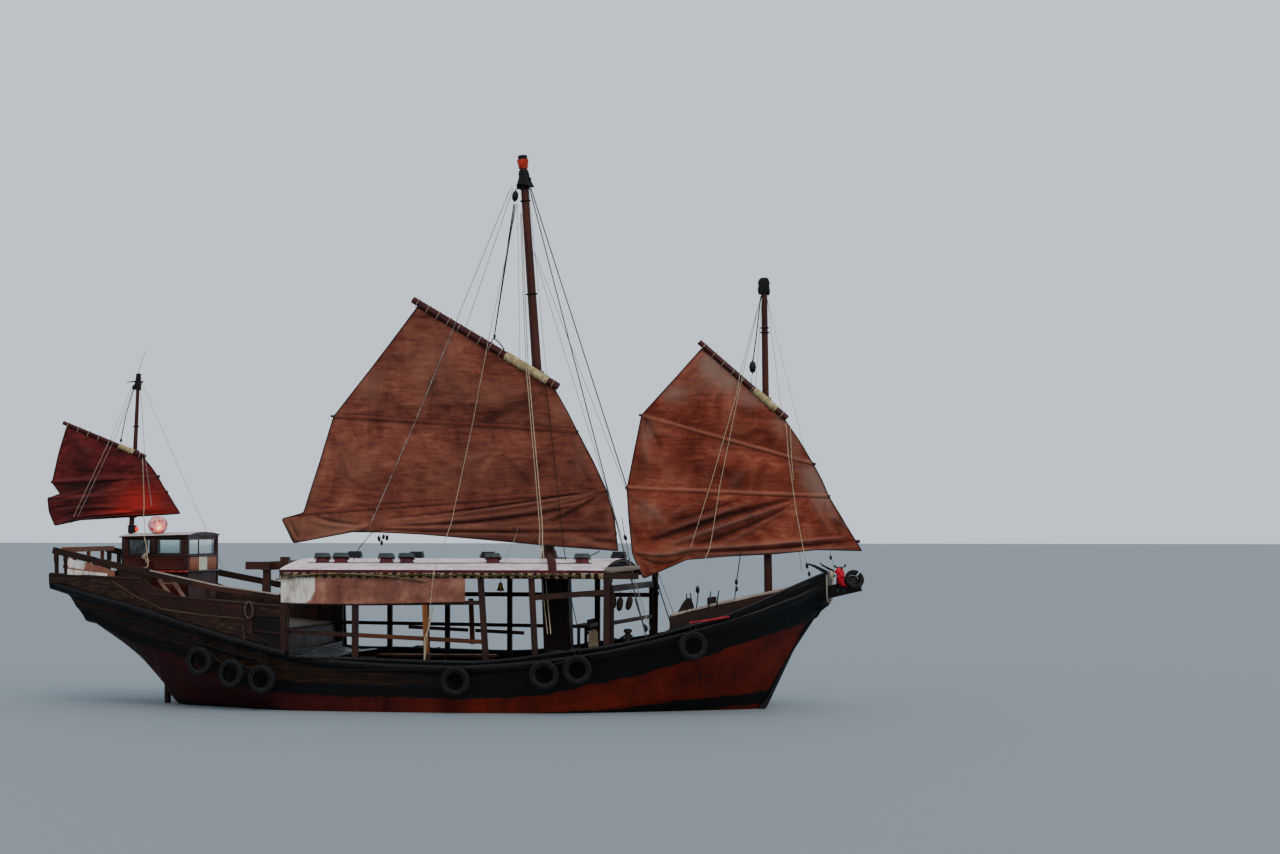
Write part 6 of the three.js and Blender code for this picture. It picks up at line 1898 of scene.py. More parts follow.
DECK_BLOCKS = [((5.985, -1.7, 2.62), (0.05, 0, -1), 0.15), ((6.765, -1.28, 2.78), (0, 0, -1), 0.12),
               ((6.775, -1.3, 2.63), (0, 0, -1), 0.1),
               ((8.71, -0.35, 3.29), (0.15, 0, -1), 0.1), ((4.84, -1.5, 1.8), (0.35, 0, -1), 0.15),
               ((5.17, -1.93, 2.69), (0, 0, -1), 0.11),
               ((8.236, -0.8, 3.12), (0.1, 0, -1), 0.12), ((8.29, -0.9, 2.95), (0.1, 0, -1), 0.1),
               ((5.17, -1.93, 2.55), (0, 0, -1), 0.09)]
BOOM_BLOCKS = [((-1.26, -0.5, 3.69), (0.2, 0, -1), 0.12), ((-1.17, -0.46, 3.73), (-0.2, 0, -1), 0.11),
               ((-1.08, -0.5, 3.71), (0, 0, -1), 0.12),
               ((-1.2, -0.5, 3.6), (0, 0, -1), 0.11)]
fit_out(joined("deck_blocks", [pulley(*row) for row in DECK_BLOCKS]), "hull",
        black_enamel)
fit_out(joined("boom_blocks", [pulley(*row) for row in BOOM_BLOCKS]), "main_sail_set",
        black_enamel)

# %% Floats, bollard, bell and pins
float_profile = [(0.001, -0.15), (0.02, -0.15), (0.032, -0.135), (0.055, -0.11), (0.068, -0.05),
                 (0.07, 0.02), (0.066, 0.08),
                 (0.05, 0.12), (0.028, 0.138), (0.02, 0.165), (0.001, 0.165)]
float_brown = plain("weathered_float_paint", ("120b09", "231713", "4a3830"), roughness=0.7, scale=16)
floats = [spun("float", float_profile, (x, -1.75, z), (0.12 * k, 0.05, 1), steps=28) for k,
          (x, z) in enumerate([(4.18, 2.36), (4.32, 2.31), (4.52, 2.33)])]
floats += [tube("float_strop", [(x, -1.75, z + 0.13), (x + 0.01, -1.76, z + 0.22), (x, -1.78, 2.6)], 0.008,
                sides=6) for x, z in ((4.18, 2.36), (4.33, 2.31), (4.55, 2.33))]
fit_out(joined("hanging_floats", floats), "hull", float_brown)
bollard_at = (4.57, -(breadth(4.57, 1.42) - 0.045), 1.52)
bollard = spun("rail_bollard", [(0.001, 0.0), (0.085, 0.0), (0.085, 0.02), (0.062, 0.035), (0.055, 0.12),
                                (0.062, 0.2), (0.09, 0.225),
                                (0.088, 0.27), (0.05, 0.29), (0.001, 0.292)], bollard_at, steps=32)
arm = tube("arm", [(bollard_at[0] - 0.17, bollard_at[1], 1.6), (bollard_at[0] - 0.05, bollard_at[1], 1.66),
                   (bollard_at[0] + 0.1, bollard_at[1], 1.66)], [0.02, 0.03, 0.024], sides=10)
fit_out(joined("rail_bollard", [bollard, arm]), "hull", tarred_iron)
bell = spun("deck_bell", [(0.001, 0.1), (0.03, 0.1), (0.045, 0.08), (0.05, 0.03), (0.062, -0.02),
                          (0.085, -0.06), (0.09, -0.07), (0.08, -0.07),
                          (0.055, -0.02), (0.042, 0.03), (0.001, 0.07)], (1.77, -1.95, 2.66), steps=36)
clapper = tube("clapper", [(1.77, -1.95, 2.72), (1.77, -1.95, 2.6), (1.77, -1.95, 2.53)],
               [0.006, 0.012, 0.006], sides=8)
hanger = tube("hanger", circle((1.77, -1.95, 2.785), (1, 0, 0), 0.022, 14), 0.006, sides=6, closed=True)
stay_up = tube("hanger", [(1.77, -1.95, 2.8), (1.77, -1.95, 2.9), (1.77, -1.95, 3.04)], 0.006, sides=6)
fit_out(joined("deck_bell", [bell, clapper, hanger, stay_up]), "hull", bronze)
PINS = [(5.75, -1.7, 2.12, 2.54, 0.0), (5.87, -1.66, 2.14, 2.56, -0.05), (6.21, -1.57, 2.24, 2.585, 0.045),
        (6.37, -1.51, 2.26, 2.605, 0.05)]
pins = [tube("pin", [(x, y, low), (x + 0.4 * lean, y, low + 0.55 * (high - low)), (x + lean, y, high)],
             [0.016, 0.015, 0.012], sides=8)
        for x, y, low, high, lean in PINS]
fit_out(joined("fore_deck_pins", pins), "hull", tarred_iron)
heap_rows = []
for f in np.linspace(0, 1, 22):
    wide = 0.33 * (1 - f) ** 0.8 + 0.03
    heap_rows.append([(5.68 + 0.07 * f + wide * (1 + 0.12
                                                 * noise.noise(Vector((3 * math.cos(a), 3 * math.sin(a),
                                                         5 * f)))) * math.cos(a),
                       -1.42 + 0.62 * wide * math.sin(a), 1.73 + 0.71 * f) for a in np.linspace(0,
                               2 * math.pi, 40, endpoint=False)])
heap = patch("stowed_net", heap_rows, wrap=True, caps=True)
net_cord = plain("stowed_net_cord", ("0c0a09", "1d1714", "41352c"), roughness=0.9, scale=26, bump_mm=12)
fit_out(heap, "hull", net_cord, angle=60)
print(len(PINS), "pins, floats, bollard and bell")

# %% Red pole, log end and wrapped post
pole_top = eased_path([(5.85, -2.0, 1.93), (6.26, -1.93, 1.985), (6.68, -1.85, 2.06)], 12)
fit_out(tube("red_boat_hook", pole_top, 0.024, sides=10), "hull",
        plain("red_painted_pole", ("5a0a14", "8c1220", "a82e38"), roughness=0.5, scale=12))
log_end = tapered("weathered_log_end", [((3.98, -2.1, 3.04), 0.2, 0.1), ((4.2, -2.1, 3.045), 0.24, 0.12),
                                        ((4.5, -2.1, 3.07), 0.22, 0.11), ((4.8, -2.1, 3.1), 0.17, 0.08)])
fit_out(log_end, "hull", timber("grey_driftwood", ("3d352e", "6b6057", "9b9086"),
                                              roughness=0.85, wear=0.6))
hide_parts("deckhouse_roof")
wraps = []
for k in range(15):
    z = 2.63 + 0.03 * k
    wraps.append(tube("wrap", circle((4.12 + 0.006 * math.sin(k * 2.3), -2.1, z),
                                     (0.06 * math.sin(k * 1.9), 0.08, 1), 0.082 + 0.008 * math.sin(k * 1.3),
                                     20), 0.017, sides=7, closed=True))
wraps.append(tube("core", [(4.12, -2.1, 2.56), (4.12, -2.1, 2.8), (4.12, -2.1, 3.07)], 0.07, sides=14))
fit_out(joined("wrapped_post_head", wraps), "hull",
        plain("grey_old_rope", ("2e2a26", "5a524a", "8d8378"), roughness=0.9, scale=30, bump_mm=5))
print("boat hook and log end")

# %% Coils on the pin rail
coils = []
for k, y in enumerate((-0.4, -0.2, 0.0, 0.2, 0.4)):
    drop = 0.34 + 0.06 * math.sin(k * 2.1)
    turns = []
    for t in np.linspace(0, 2 * math.pi * 4, 120):
        turns.append((3.43 + 0.012 * (t / 6.28) + 0.012 * math.cos(t),
                      y + 0.045 * math.cos(t) * (1 + 0.08 * math.sin(t * 0.7)),
                      1.64 - drop * 0.5 + drop * 0.5 * math.sin(t) * (1 + 0.05 * math.sin(t * 0.31))))
    coils.append(tube("coil", turns, 0.009, sides=6))
    coils.append(tube("hitch", circle((3.43, y, 1.67), (0.2, 0, 1), 0.03, 14), 0.009, sides=6, closed=True))
fit_out(joined("pin_rail_coils", coils), "hull", pale_rope)
print("coils on the pins")

# %% Mast heads
# each mast's head, and its direction from its foot
main_top = Vector((1.853, 0, 12.2))
main_dir = (main_top - Vector((2.66, 0, 0.64))).normalized()
fore_top = Vector((7.237, 0, 9.4))
fore_dir = (fore_top - Vector((7.325, 0, 2.13))).normalized()
mizzen_top = Vector((-6.981, 0, 7.42))
mizzen_dir = (mizzen_top - Vector((-7.185, 0, 2.44))).normalized()
bands = []
for top_at, aim, radius, places in ((main_top, main_dir, 0.094, (0.42, 0.52, 0.62, 0.75, 1.02, 3.1)),
                                    (fore_top, fore_dir, 0.074, (0.1, 0.3, 1.1, 1.2)),
                                    (mizzen_top, mizzen_dir, 0.045, (0.12, 0.3, 1.2))):
    for down in places:
        bands.append(tube("band", circle(top_at - aim * down, aim, radius + 0.012 + down * 0.006, 24), 0.014,
                          sides=7, closed=True))
fit_out(joined("mast_head_lashings", bands), "hull", tarred_rope)
cups = []
for top_at, aim, radius in ((main_top, main_dir, 0.09), (fore_top, fore_dir, 0.072),
                            (mizzen_top, mizzen_dir, 0.044)):
    cups.append(spun("cup", [(radius * 0.99, -0.16), (radius + 0.012, -0.16), (radius + 0.016, -0.15),
                             (radius + 0.014, 0.0), (radius * 0.7, 0.012),
                             (0.001, 0.014)], top_at - aim * 0.01, aim, steps=32))
fit_out(joined("mast_caps", cups), "hull", tarred_iron)
cross = [tube("yardarm", [(-6.99, -0.3, 7.23), (-6.985, 0.0, 7.25), (-6.99, 0.3, 7.23)],
              [0.012, 0.02, 0.012], sides=10),
         tube("yardarm", [(-7.27, 0, 7.225), (-6.99, 0, 7.245), (-6.86, 0, 7.235)], [0.01, 0.018, 0.01],
              sides=10)]
fit_out(joined("mizzen_crosspiece", cross), "hull", tarred_iron)
masthead = [spun("lamp", [(0.001, -0.07), (0.04, -0.07), (0.045, -0.06), (0.035, -0.05), (0.04, 0.05),
                          (0.05, 0.06), (0.02, 0.085), (0.001, 0.086)],
                 (main_top.x + 0.16, 0, 11.62), steps=28),
            tube("bracket", [(main_top.x + 0.05, 0, 11.5), (main_top.x + 0.14, 0, 11.53),
                             (main_top.x + 0.16, 0, 11.56)], 0.012, sides=8)]
fit_out(joined("masthead_lamp", masthead), "hull", tarred_iron)
print("mast heads fitted")

# %% Worn edges of the rails, with a painted highlight
# the pale tone on the rail tops and the coaming rim is partly bare worn wood and partly a painted highlight
rail_edge_wear_and_highlight = timber("worn_pale_edge_with_painted_highlight", ("5a4c42", "94857a", "c2b6ab"), roughness=0.7, wear=0.6)
varnish_side = timber("varnished_rail_side", ("3c1a0a", "6d3617", "93552a"), roughness=0.5)
varnish_worn = timber("worn_varnished_rail_side", ("220f09", "3b2014", "573824"), roughness=0.6)
# x, half-breadth and top of the sloping rail
SLOPING = [(-6.0, 1.989, 3.014), (-5.0, 2.113, 2.815), (-4.376, 2.19, 2.69), (-3.6, 2.263, 2.591),
           (-3.0, 2.32, 2.515)]
strips, sides_of = [], []
for side in (-1, 1):
    strips.append(patch("strip", [[(x, side * (y + 0.036), z - 0.024), (x, side * (y + 0.049), z - 0.022),
                                   (x, side * (y + 0.047), z + 0.004), (x, side * (y + 0.01), z + 0.006)]
                                  for x, y, z in SLOPING], wrap=True, caps=True))
    sides_of.append(patch("side", [[(x, side * (y + 0.039), z - 0.135), (x, side * (y + 0.046), z - 0.13),
                                    (x, side * (y + 0.046), z - 0.03), (x, side * (y + 0.039), z - 0.026)]
                                   for x, y, z in SLOPING[1:4]], wrap=True, caps=True))
for name, group, finish in (("sloping_rail_worn_edge", strips, rail_edge_wear_and_highlight),
                            ("sloping_rail_varnished_side", sides_of, varnish_worn)):
    piece = joined(name, group)
    outward(piece)
    fit_out(piece, "hull", finish)
print("rails worn")
# %% [markdown]
# ## Running rigging
# Besides the two main stays, thin lines run from the mast heads: halyards with their blocks, topping lifts
# that cross in front of each sail, hauling lines down to the rail, and light shrouds. A line that passes a
# sail is laid on the cloth by measuring where the cloth is. What belongs to a sail set swings with it, and
# a line that ends on deck is attached to no body.

# %% Laying a line
SAIL_OF = {"main_sail_set": "main_sail_cloth", "fore_sail_set": "fore_sail_cloth",
           "mizzen_sail_set": "mizzen_sail_cloth"}
skins = {}
for set_name, cloth_name in SAIL_OF.items():
    cloth_mesh = bpy.data.objects[cloth_name].data
    skins[set_name] = BVHTree.FromPolygons([v.co.copy() for v in cloth_mesh.vertices],
                                           [list(p.vertices) for p in cloth_mesh.polygons])


def laid_line(name, points, radius, set_name=None):
    """A taut line through some points, kept in front of the sail when it belongs to one."""
    points = [Vector(point) for point in points]
    path = []
    for a, b in zip(points, points[1:]):
        steps = max(2, int((b - a).length / 0.09)) if set_name else 2
        path += [a.lerp(b, f) for f in np.linspace(0, 1, steps, endpoint=False)]
    path.append(points[-1])
    if set_name:
        for p in path:
            hit = skins[set_name].ray_cast(Vector((p.x, -6, p.z)), Vector((0, 1, 0)))[0]
            if hit is not None:
                p.y = min(p.y, hit.y - radius - 0.004)
        ys = np.array([p.y for p in path])
        for _ in range(6):
            ys[1:-1] = np.minimum(ys[1:-1], (ys[:-2] + ys[2:]) / 2)
        for p, y in zip(path, ys):
            p.y = float(y)
    return tube(name, path, radius, sides=6)


rope_grey = plain("weathered_wire_line", ("4b4a48", "7d7b77", "a9a6a0"), roughness=0.6, scale=9, bump_mm=0.5)

# %% Lines that swing with a sail
# sail set, finish, radius in metres, points from the top down
SWINGING = [
    ("main_sail_set", rope_grey, 0.009, [(1.63, -0.12, 11.51), (0.48, -0.47, 8.53), (-0.43, -0.5, 6.32),
                                         (-1.44, -0.55, 4.02)]),
    ("main_sail_set", rope_grey, 0.008, [(1.67, -0.1, 11.47), (0.62, -0.3, 8.29)]),
    ("main_sail_set", tarred_rope, 0.015, [(1.68, -0.09, 11.1), (1.3, -0.32, 8.22)]),
    ("main_sail_set", tarred_rope, 0.013, [(1.72, -0.13, 11.1), (1.31, -0.36, 8.22)]),
    ("main_sail_set", rope_grey, 0.006, [(1.76, -0.1, 11.1), (1.84, -0.24, 8.54), (1.86, -0.3, 7.66)]),
    ("main_sail_set", rope_grey, 0.006, [(2.02, -0.1, 11.41), (2.48, -0.38, 7.25)]),
    ("main_sail_set", tarred_rope, 0.009, [(2.2, -0.3, 3.66), (2.35, -0.32, 3.5)]),
    ("fore_sail_set", tarred_rope, 0.014, [(7.18, -0.1, 9.0), (7.07, -0.2, 7.97), (7.02, -0.28, 7.55)]),
    ("fore_sail_set", tarred_rope, 0.007, [(7.01, -0.3, 7.3), (6.99, -0.34, 7.04)]),
    ("fore_sail_set", rope_grey, 0.006, [(7.2, -0.1, 8.95), (7.08, -0.3, 7.0)]),
    ("fore_sail_set", pale_rope, 0.008, [(7.17, -0.1, 8.95), (6.75, -0.4, 7.28), (6.69, -0.45, 6.87),
                                         (6.16, -0.6, 4.97), (5.69, -0.6, 3.5)]),
    ("fore_sail_set", pale_rope, 0.008, [(7.84, -0.36, 6.15), (7.88, -0.5, 5.44), (7.92, -0.5, 4.97)]),
    ("mizzen_sail_set", tarred_rope, 0.012, [(-7.05, -0.07, 7.12), (-7.22, -0.12, 6.51),
                                             (-7.3, -0.24, 5.92)]),
    ("mizzen_sail_set", pale_rope, 0.006, [(-7.08, -0.07, 7.2), (-7.51, -0.27, 6.0), (-8.33, -0.45, 4.17)]),
    ("mizzen_sail_set", rope_grey, 0.006, [(-7.04, -0.07, 7.2), (-7.4, -0.29, 6.0), (-8.22, -0.45, 4.19)]),
    ("mizzen_sail_set", rope_grey, 0.006, [(-6.91, -0.06, 7.12), (-6.72, -0.3, 5.58), (-6.5, -0.45, 4.42)]),
]
for set_name in SAIL_OF:
    for finish, tag in ((rope_grey, "grey"), (tarred_rope, "tarred"), (pale_rope, "pale")):
        lines = [laid_line("line", points, radius, set_name) for body, look, radius,
                 points in SWINGING if body == set_name and look == finish]
        if lines:
            fit_out(joined(set_name[:-9] + "_lines_" + tag, lines), set_name, finish)
print(len(SWINGING), "lines swing with the sails")

# %% Lines between a sail and the deck
# name, sail set, finish, radius, points from the sail down; the last three of them are below the sail
LED_DOWN = [
    ("main_hauling_line", "main_sail_set", pale_rope, 0.008,
     [(1.75, -0.1, 11.1), (1.16, -0.42, 7.98), (0.85, -0.45, 6.31), (0.45, -0.6, 4.3), (0.45, -0.6, 4.2),
      (0.43, -2.5, 2.98), (0.25, -2.52, 1.14)]),
    ("main_halyard_fall", "main_sail_set", pale_rope, 0.012,
     [(1.86, -0.12, 10.9), (2.0, -0.3, 8.49), (2.08, -0.45, 7.44), (2.5, -0.9, 3.8), (2.52, -1.1, 3.64),
      (2.8, -1.9, 2.22), (2.9, -2.15, 1.68)]),
    ("main_halyard_tail", "main_sail_set", pale_rope, 0.01,
     [(1.84, -0.16, 10.9), (1.96, -0.32, 8.49), (2.04, -0.47, 7.4), (2.43, -0.85, 3.8), (2.45, -1.1, 3.64),
      (2.72, -1.9, 2.22), (2.83, -2.15, 1.68)]),
    ("main_luff_line", "main_sail_set", tarred_rope, 0.01,
     [(2.46, -0.42, 7.12), (2.88, -0.58, 3.7), (2.9, -0.62, 3.59), (3.15, -1.2, 2.5), (3.5, -2.06, 1.64)]),
    ("fore_hauling_line", "fore_sail_set", pale_rope, 0.008,
     [(7.16, -0.12, 8.9), (6.79, -0.42, 7.16), (6.56, -0.5, 6.02), (6.33, -0.6, 4.83), (6.15, -0.85, 3.5),
      (6.09, -1.1, 3.32), (6.0, -1.7, 2.68)]),
    ("fore_tack_line", "fore_sail_set", pale_rope, 0.009,
     [(7.75, -0.38, 6.2), (7.81, -0.5, 5.51), (7.98, -0.55, 4.31), (8.14, -0.68, 3.5), (8.17, -0.72, 3.4),
      (8.24, -0.78, 3.12), (8.31, -0.92, 2.8)]),
    ("fore_sheet_purchase", "fore_sail_set", tarred_rope, 0.011,
     [(6.76, -0.42, 3.45), (6.76, -0.48, 3.31), (6.76, -1.1, 2.86), (6.75, -1.5, 2.42)]),
    ("mizzen_hauling_line", "mizzen_sail_set", pale_rope, 0.009,
     [(-6.75, -0.36, 5.5), (-6.67, -0.45, 4.4), (-6.66, -0.5, 4.23), (-6.48, -0.9, 3.63),
      (-6.26, -1.4, 3.2)]),
    ("fore_leech_line", "fore_sail_set", tarred_rope, 0.008,
     [(4.17, -0.5, 4.15), (4.23, -0.6, 3.9), (4.3, -0.85, 3.72), (4.41, -1.0, 3.31), (4.55, -1.4, 2.7),
      (4.86, -1.95, 1.9)]),
    ("main_clew_line", "main_sail_set", tarred_rope, 0.009,
     [(-1.3, -0.6, 3.9), (-1.38, -0.75, 3.8), (-1.57, -1.0, 3.5), (-1.66, -1.2, 3.22)]),
    ("bell_line", "main_sail_set", rope_grey, 0.005,
     [(1.85, -0.45, 3.95), (1.84, -0.6, 3.76), (1.78, -1.9, 3.06), (1.77, -1.94, 2.86)]),
]
for name, set_name, finish, radius, points in LED_DOWN:
    line = laid_line(name, points, radius, set_name)
    fit_out(line, None, finish)
    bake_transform(line)
print(len(LED_DOWN), "lines led down")

# %% Fixed lines and blocks aloft
FIXED = [
    (rope_grey, 0.007, [(2.12, -0.1, 10.04), (5.03, -2.1, 1.79)]),
    (rope_grey, 0.007, [(2.12, 0.1, 10.04), (5.03, 2.1, 1.79)]),
    (rope_grey, 0.005, [(7.3, 0.06, 8.95), (7.95, 1.16, 2.98)]),
    (rope_grey, 0.005, [(7.3, 0.05, 8.95), (8.7, 0.86, 3.02)]),
    (rope_grey, 0.005, [(-6.93, 0.06, 7.21), (-5.6, 1.98, 3.0)]),
    (tarred_iron, 0.006, [(-6.99, 0, 7.41), (-6.9, 0, 7.72), (-6.82, 0, 7.93)]),
    (tarred_rope, 0.012, [(2.8, -0.3, 3.24), (3.05, -0.35, 3.22), (3.35, -0.35, 3.27), (3.65, -0.35, 3.42)]),
    (rope_grey, 0.006, [(4.62, -1.95, 2.95), (4.95, -2.1, 1.9)]),
    (pale_rope, 0.017, [(0.42, -2.49, 2.26), (0.33, -2.5, 1.8), (0.25, -2.51, 1.6), (0.24, -2.52, 1.13)]),
    (tarred_rope, 0.013, [(6.0, -1.7, 2.58), (5.98, -1.7, 2.4), (5.96, -1.7, 2.24)]),
    (tarred_rope, 0.018, [(4.63, -1.6, 2.42), (4.74, -1.62, 2.08), (4.87, -1.7, 1.72)]),
]
for finish, tag in ((rope_grey, "grey"), (tarred_rope, "tarred"), (tarred_iron, "iron"), (pale_rope, "pale")):
    lines = [laid_line("line", points, radius) for look, radius, points in FIXED if look == finish]
    fit_out(joined("standing_lines_" + tag, lines), "hull", finish)
ALOFT = {"main_sail_set": [((1.71, -0.1, 11.28), (-0.12, 0, -1), 0.24),
                           ((1.3, -0.34, 8.16), (0, 0, -1), 0.1)],
         "fore_sail_set": [((7.015, -0.29, 7.43), (0, 0, -1), 0.26),
                           ((4.3, -0.85, 3.72), (0.3, 0, -1), 0.13)],
         "mizzen_sail_set": [((-7.06, -0.09, 7.1), (-0.2, 0, -1), 0.12),
                             ((-7.3, -0.24, 5.9), (0, 0, -1), 0.09),
                             ((-8.36, -0.46, 4.1), (-0.3, 0, -1), 0.12)]}
for set_name, rows in ALOFT.items():
    fit_out(joined(set_name[:-9] + "_blocks_aloft", [pulley(*row) for row in rows]), set_name,
            black_enamel)
slings = [tube("sling", [(1.28, -0.34, 8.12), (1.2, -0.34, 7.98), (1.08, -0.34, 8.02)], 0.014, sides=7),
          tube("sling", [(1.28, -0.34, 8.12), (1.4, -0.34, 8.02), (1.52, -0.32, 7.86)], 0.014, sides=7)]
fit_out(joined("main_yard_sling", slings), "main_sail_set", tarred_rope)
print("blocks aloft")
# %% [markdown]
# ## The break of the poop
# Where the high quarter meets the waist, the planking slopes down in a short board, and above it is a dark
# bay with a beam across it, framed by two posts; a coil hangs on the after one. The bay is laid on the
# planking as thin near-black boards set back behind posts that stand proud of them, where the real one is an
# opening; their colour is painted shade, in place of the shade inside the opening.

# %% Bay, posts and coil
def on_side(name, stations, low, high, out, inner=0.012, side=-1):
    """A board on the ship's side between two heights, out by so much from the planking."""
    rows = []
    for x in stations:
        heights = np.linspace(low(x), high(x), 7)
        halves = [breadth(x, z) for z in heights]
        for k in range(1, 7):
            if halves[k] < halves[k - 1] - 0.3:
                halves[k] = halves[k - 1]
        rows.append([(x, side * (half + out), z) for half, z in zip(halves, heights)]
                    + [(x, side * (half - inner), z) for half, z in zip(halves[::-1], heights[::-1])])
    piece = patch(name, rows, wrap=True, caps=True)
    outward(piece)
    return piece


def between(points):
    """The height along a broken line."""
    return lambda x: float(np.interp(x, [p[0] for p in points], [p[1] for p in points]))


# painted shade: near-black panels in place of the shade inside the bay's opening
bay_shade_finish = plain("painted_shade_bay_panels", ("060404", "0d0908", "1c1411"), roughness=0.8, scale=9)
slope = between([(-3.73, 1.77), (-3.46, 1.63), (-2.93, 1.35)])
bays, bay_posts, bay_beams = [], [], []
for side in (-1, 1):
    bays.append(on_side("bay", np.linspace(-3.7, -2.92, 12), slope, lambda x: 2.05, 0.006, side=side))
    bay_posts.append(on_side("post", (-3.72, -3.6, -3.56), lambda x: slope(x) - 0.06, lambda x: 2.32, 0.045,
                             side=side))
    bay_posts.append(on_side("post", (-2.935, -2.87, -2.81), lambda x: 1.3, lambda x: 2.31, 0.035, side=side))
    bay_beams.append(on_side("beam", np.linspace(-3.55, -2.94, 6), between([(-3.4, 1.70), (-2.93, 1.64)]),
                             between([(-3.4, 1.76), (-2.93, 1.7)]), 0.03, side=side))
    bay_beams.append(on_side("beam", np.linspace(-3.55, -2.94, 6), lambda x: 2.03, lambda x: 2.1, 0.025,
                             side=side))
    bay_beams.append(on_side("edge", np.linspace(-3.7, -2.94, 10), lambda x: slope(x) - 0.03,
                             lambda x: slope(x) + 0.012, 0.026, side=side))
fit_out(joined("bay_boards", bays), "hull", bay_shade_finish)
fit_out(joined("bay_posts", bay_posts), "hull", oiled_post)
fit_out(joined("bay_beams", bay_beams), "hull", oiled_beam)
loops = []
for k, (wide, tall, drop) in enumerate([(0.085, 0.17, 0.0), (0.095, 0.185, 0.01), (0.078, 0.16, 0.015),
                                        (0.088, 0.175, -0.01)]):
    loops.append(tube("loop", [(-3.62 + wide * math.cos(a),
                                -(breadth(-3.62, 2.1) + 0.06 + 0.018 * k + 0.01 * math.sin(3 * a)),
                                2.17 - drop + tall * math.sin(a))
                               for a in np.linspace(0, 2 * math.pi, 30, endpoint=False)], 0.012, sides=7,
                               closed=True))
fall_y = -(breadth(-3.77, 1.6) + 0.03)
loops.append(tube("fall", eased_path([(-3.72, fall_y - 0.02, 2.0), (-3.77, fall_y, 1.8),
                                      (-3.76, fall_y, 1.6), (-3.74, fall_y, 1.42)], 24), 0.011, sides=7))
fit_out(joined("quarter_rope_coil", loops), "hull",
        plain("old_grey_rope", ("1c1814", "433b33", "7d7368"), roughness=0.9, scale=28, bump_mm=4))
# The quarter's bulwark is built higher than in the photograph. These boards and their moulding draw
# its real top line on it, as a finish: they do not lower the solid.
upper_low = between([(-6.9, 2.8), (-6.3, 2.45), (-5.66, 2.17), (-4.75, 2.06), (-3.7, 1.98)])
upper_high = between([(-6.9, 2.84), (-6.1, 2.76), (-5.23, 2.44), (-4.4, 2.34), (-3.7, 2.27)])
quarter_boards, mouldings = [], []
for side in (-1, 1):
    stations = np.linspace(-6.85, -3.74, 40)
    quarter_boards.append(on_side("boards", stations, lambda x: upper_low(x), upper_high, 0.007, side=side))
    mouldings.append(on_side("moulding", stations, lambda x: upper_low(x) - 0.02,
                             lambda x: upper_low(x) + 0.012, 0.02, side=side))
fit_out(joined("quarter_upper_boards", quarter_boards), "hull",
        timber("varnished_quarter_boards", ("150a07", "2b150f", "46261b"), board=(1.9, 0.13), wear=0.4))
fit_out(joined("quarter_mouldings", mouldings), "hull",
        timber("worn_quarter_moulding", ("241a13", "47372a", "6b5847")))
print("the break of the poop is framed")

# %% [markdown]
# ## Varnish, pale rims and mast heads
# One rail and one post amidships carry bright orange-brown faces. The fore deck's inner coaming has a pale
# rim, bare wood worn by ropes with a painted highlight along its top. At each mast head a wrap of tarred
# canvas keeps the shrouds from slipping, flared below, and the main mast also carries a red cup under its lamp.

# %% Varnished faces
varnish_bright = timber("bright_varnished_timber", ("43200e", "6f3d1c", "965f31"), along="Z", roughness=0.45)
varnish_rail = timber("bright_varnished_rail", ("2c140a", "4f2713", "6d3d1f"), roughness=0.5)
faces = []
for side in (-1, 1):
    rows = [[(x - 0.058, side * 2.343, z), (x + 0.058, side * 2.343, z), (x + 0.058, side * 2.352, z),
             (x - 0.058, side * 2.352, z)]
            for x, z in ((0.244, 1.25), (0.23, 1.7), (0.204, 2.3))]
    faces.append(patch("face", rows, wrap=True, caps=True))
fit_out(joined("varnished_post_faces", faces), "hull", varnish_bright)
faces = []
for side in (-1, 1):
    for x0, x1 in ((-1.26, 0.15), (0.31, 1.46)):
        rows = []
        for x in np.linspace(x0, x1, 5):
            z = 1.715 - (x + 2.9) * 0.046
            rows.append([(x, side * 2.322, z - 0.041), (x, side * 2.322, z + 0.041),
                         (x, side * 2.331, z + 0.038), (x, side * 2.331, z - 0.038)])
        faces.append(patch("face", rows, wrap=True, caps=True))
fit_out(joined("varnished_rail_faces", faces), "hull", varnish_rail)
coaming = tree_of("fore_coaming")
rims = []
for side in (-1, 1):
    rows = []
    for x in np.linspace(5.43, 8.3, 26):
        top = float(np.interp(x, (5.4, 6.139, 6.803, 7.683, 8.4), (2.08, 2.27, 2.418, 2.608, 2.79)))
        hit = coaming.ray_cast(Vector((x, side * 4, top - 0.03)), Vector((0, -side, 0)))[0]
        if hit is None:
            continue
        y = abs(hit.y)
        wave = 0.004 * math.sin(9 * x)
        rows.append([(x, side * (y + 0.012), top - 0.03 + wave), (x, side * (y + 0.018), top + 0.008),
                     (x, side * (y - 0.03), top + 0.022),
                     (x, side * (y - 0.07), top + 0.012), (x, side * (y - 0.07), top - 0.01),
                     (x, side * (y - 0.02), top - 0.03)])
    rims.append(patch("rim", rows, wrap=True, caps=True))
rim = joined("coaming_worn_rim", rims)
outward(rim)
fit_out(rim, "hull", rail_edge_wear_and_highlight)
print("rims and varnish")

# %% Canvas wraps and the red cup
def wrap_of(name, top_at, aim, profile, waves, seed):
    """Tarred canvas round a mast head: a skirt whose lower edge hangs in folds; aim points up the mast."""
    turn = Vector((0, 0, 1)).rotation_difference(Vector(aim))
    draw = np.random.default_rng(seed)
    phase = draw.random() * 6
    rows = []
    for down, radius, fold in profile:
        rows.append([Vector(top_at)
                     + turn @ Vector(((radius + fold * math.sin(waves * a + phase)) * math.cos(a),
                                      (radius + fold * math.sin(waves * a + phase)) * math.sin(a),
                                                     -down - 1.4 * fold * math.cos(2 * a + phase)))
                                                     for a in np.linspace(0, 2 * math.pi, 40,
                                                             endpoint=False)])
    piece = patch(name, rows, wrap=True)
    apply(piece, "SOLIDIFY", thickness=0.006, offset=1)
    return piece


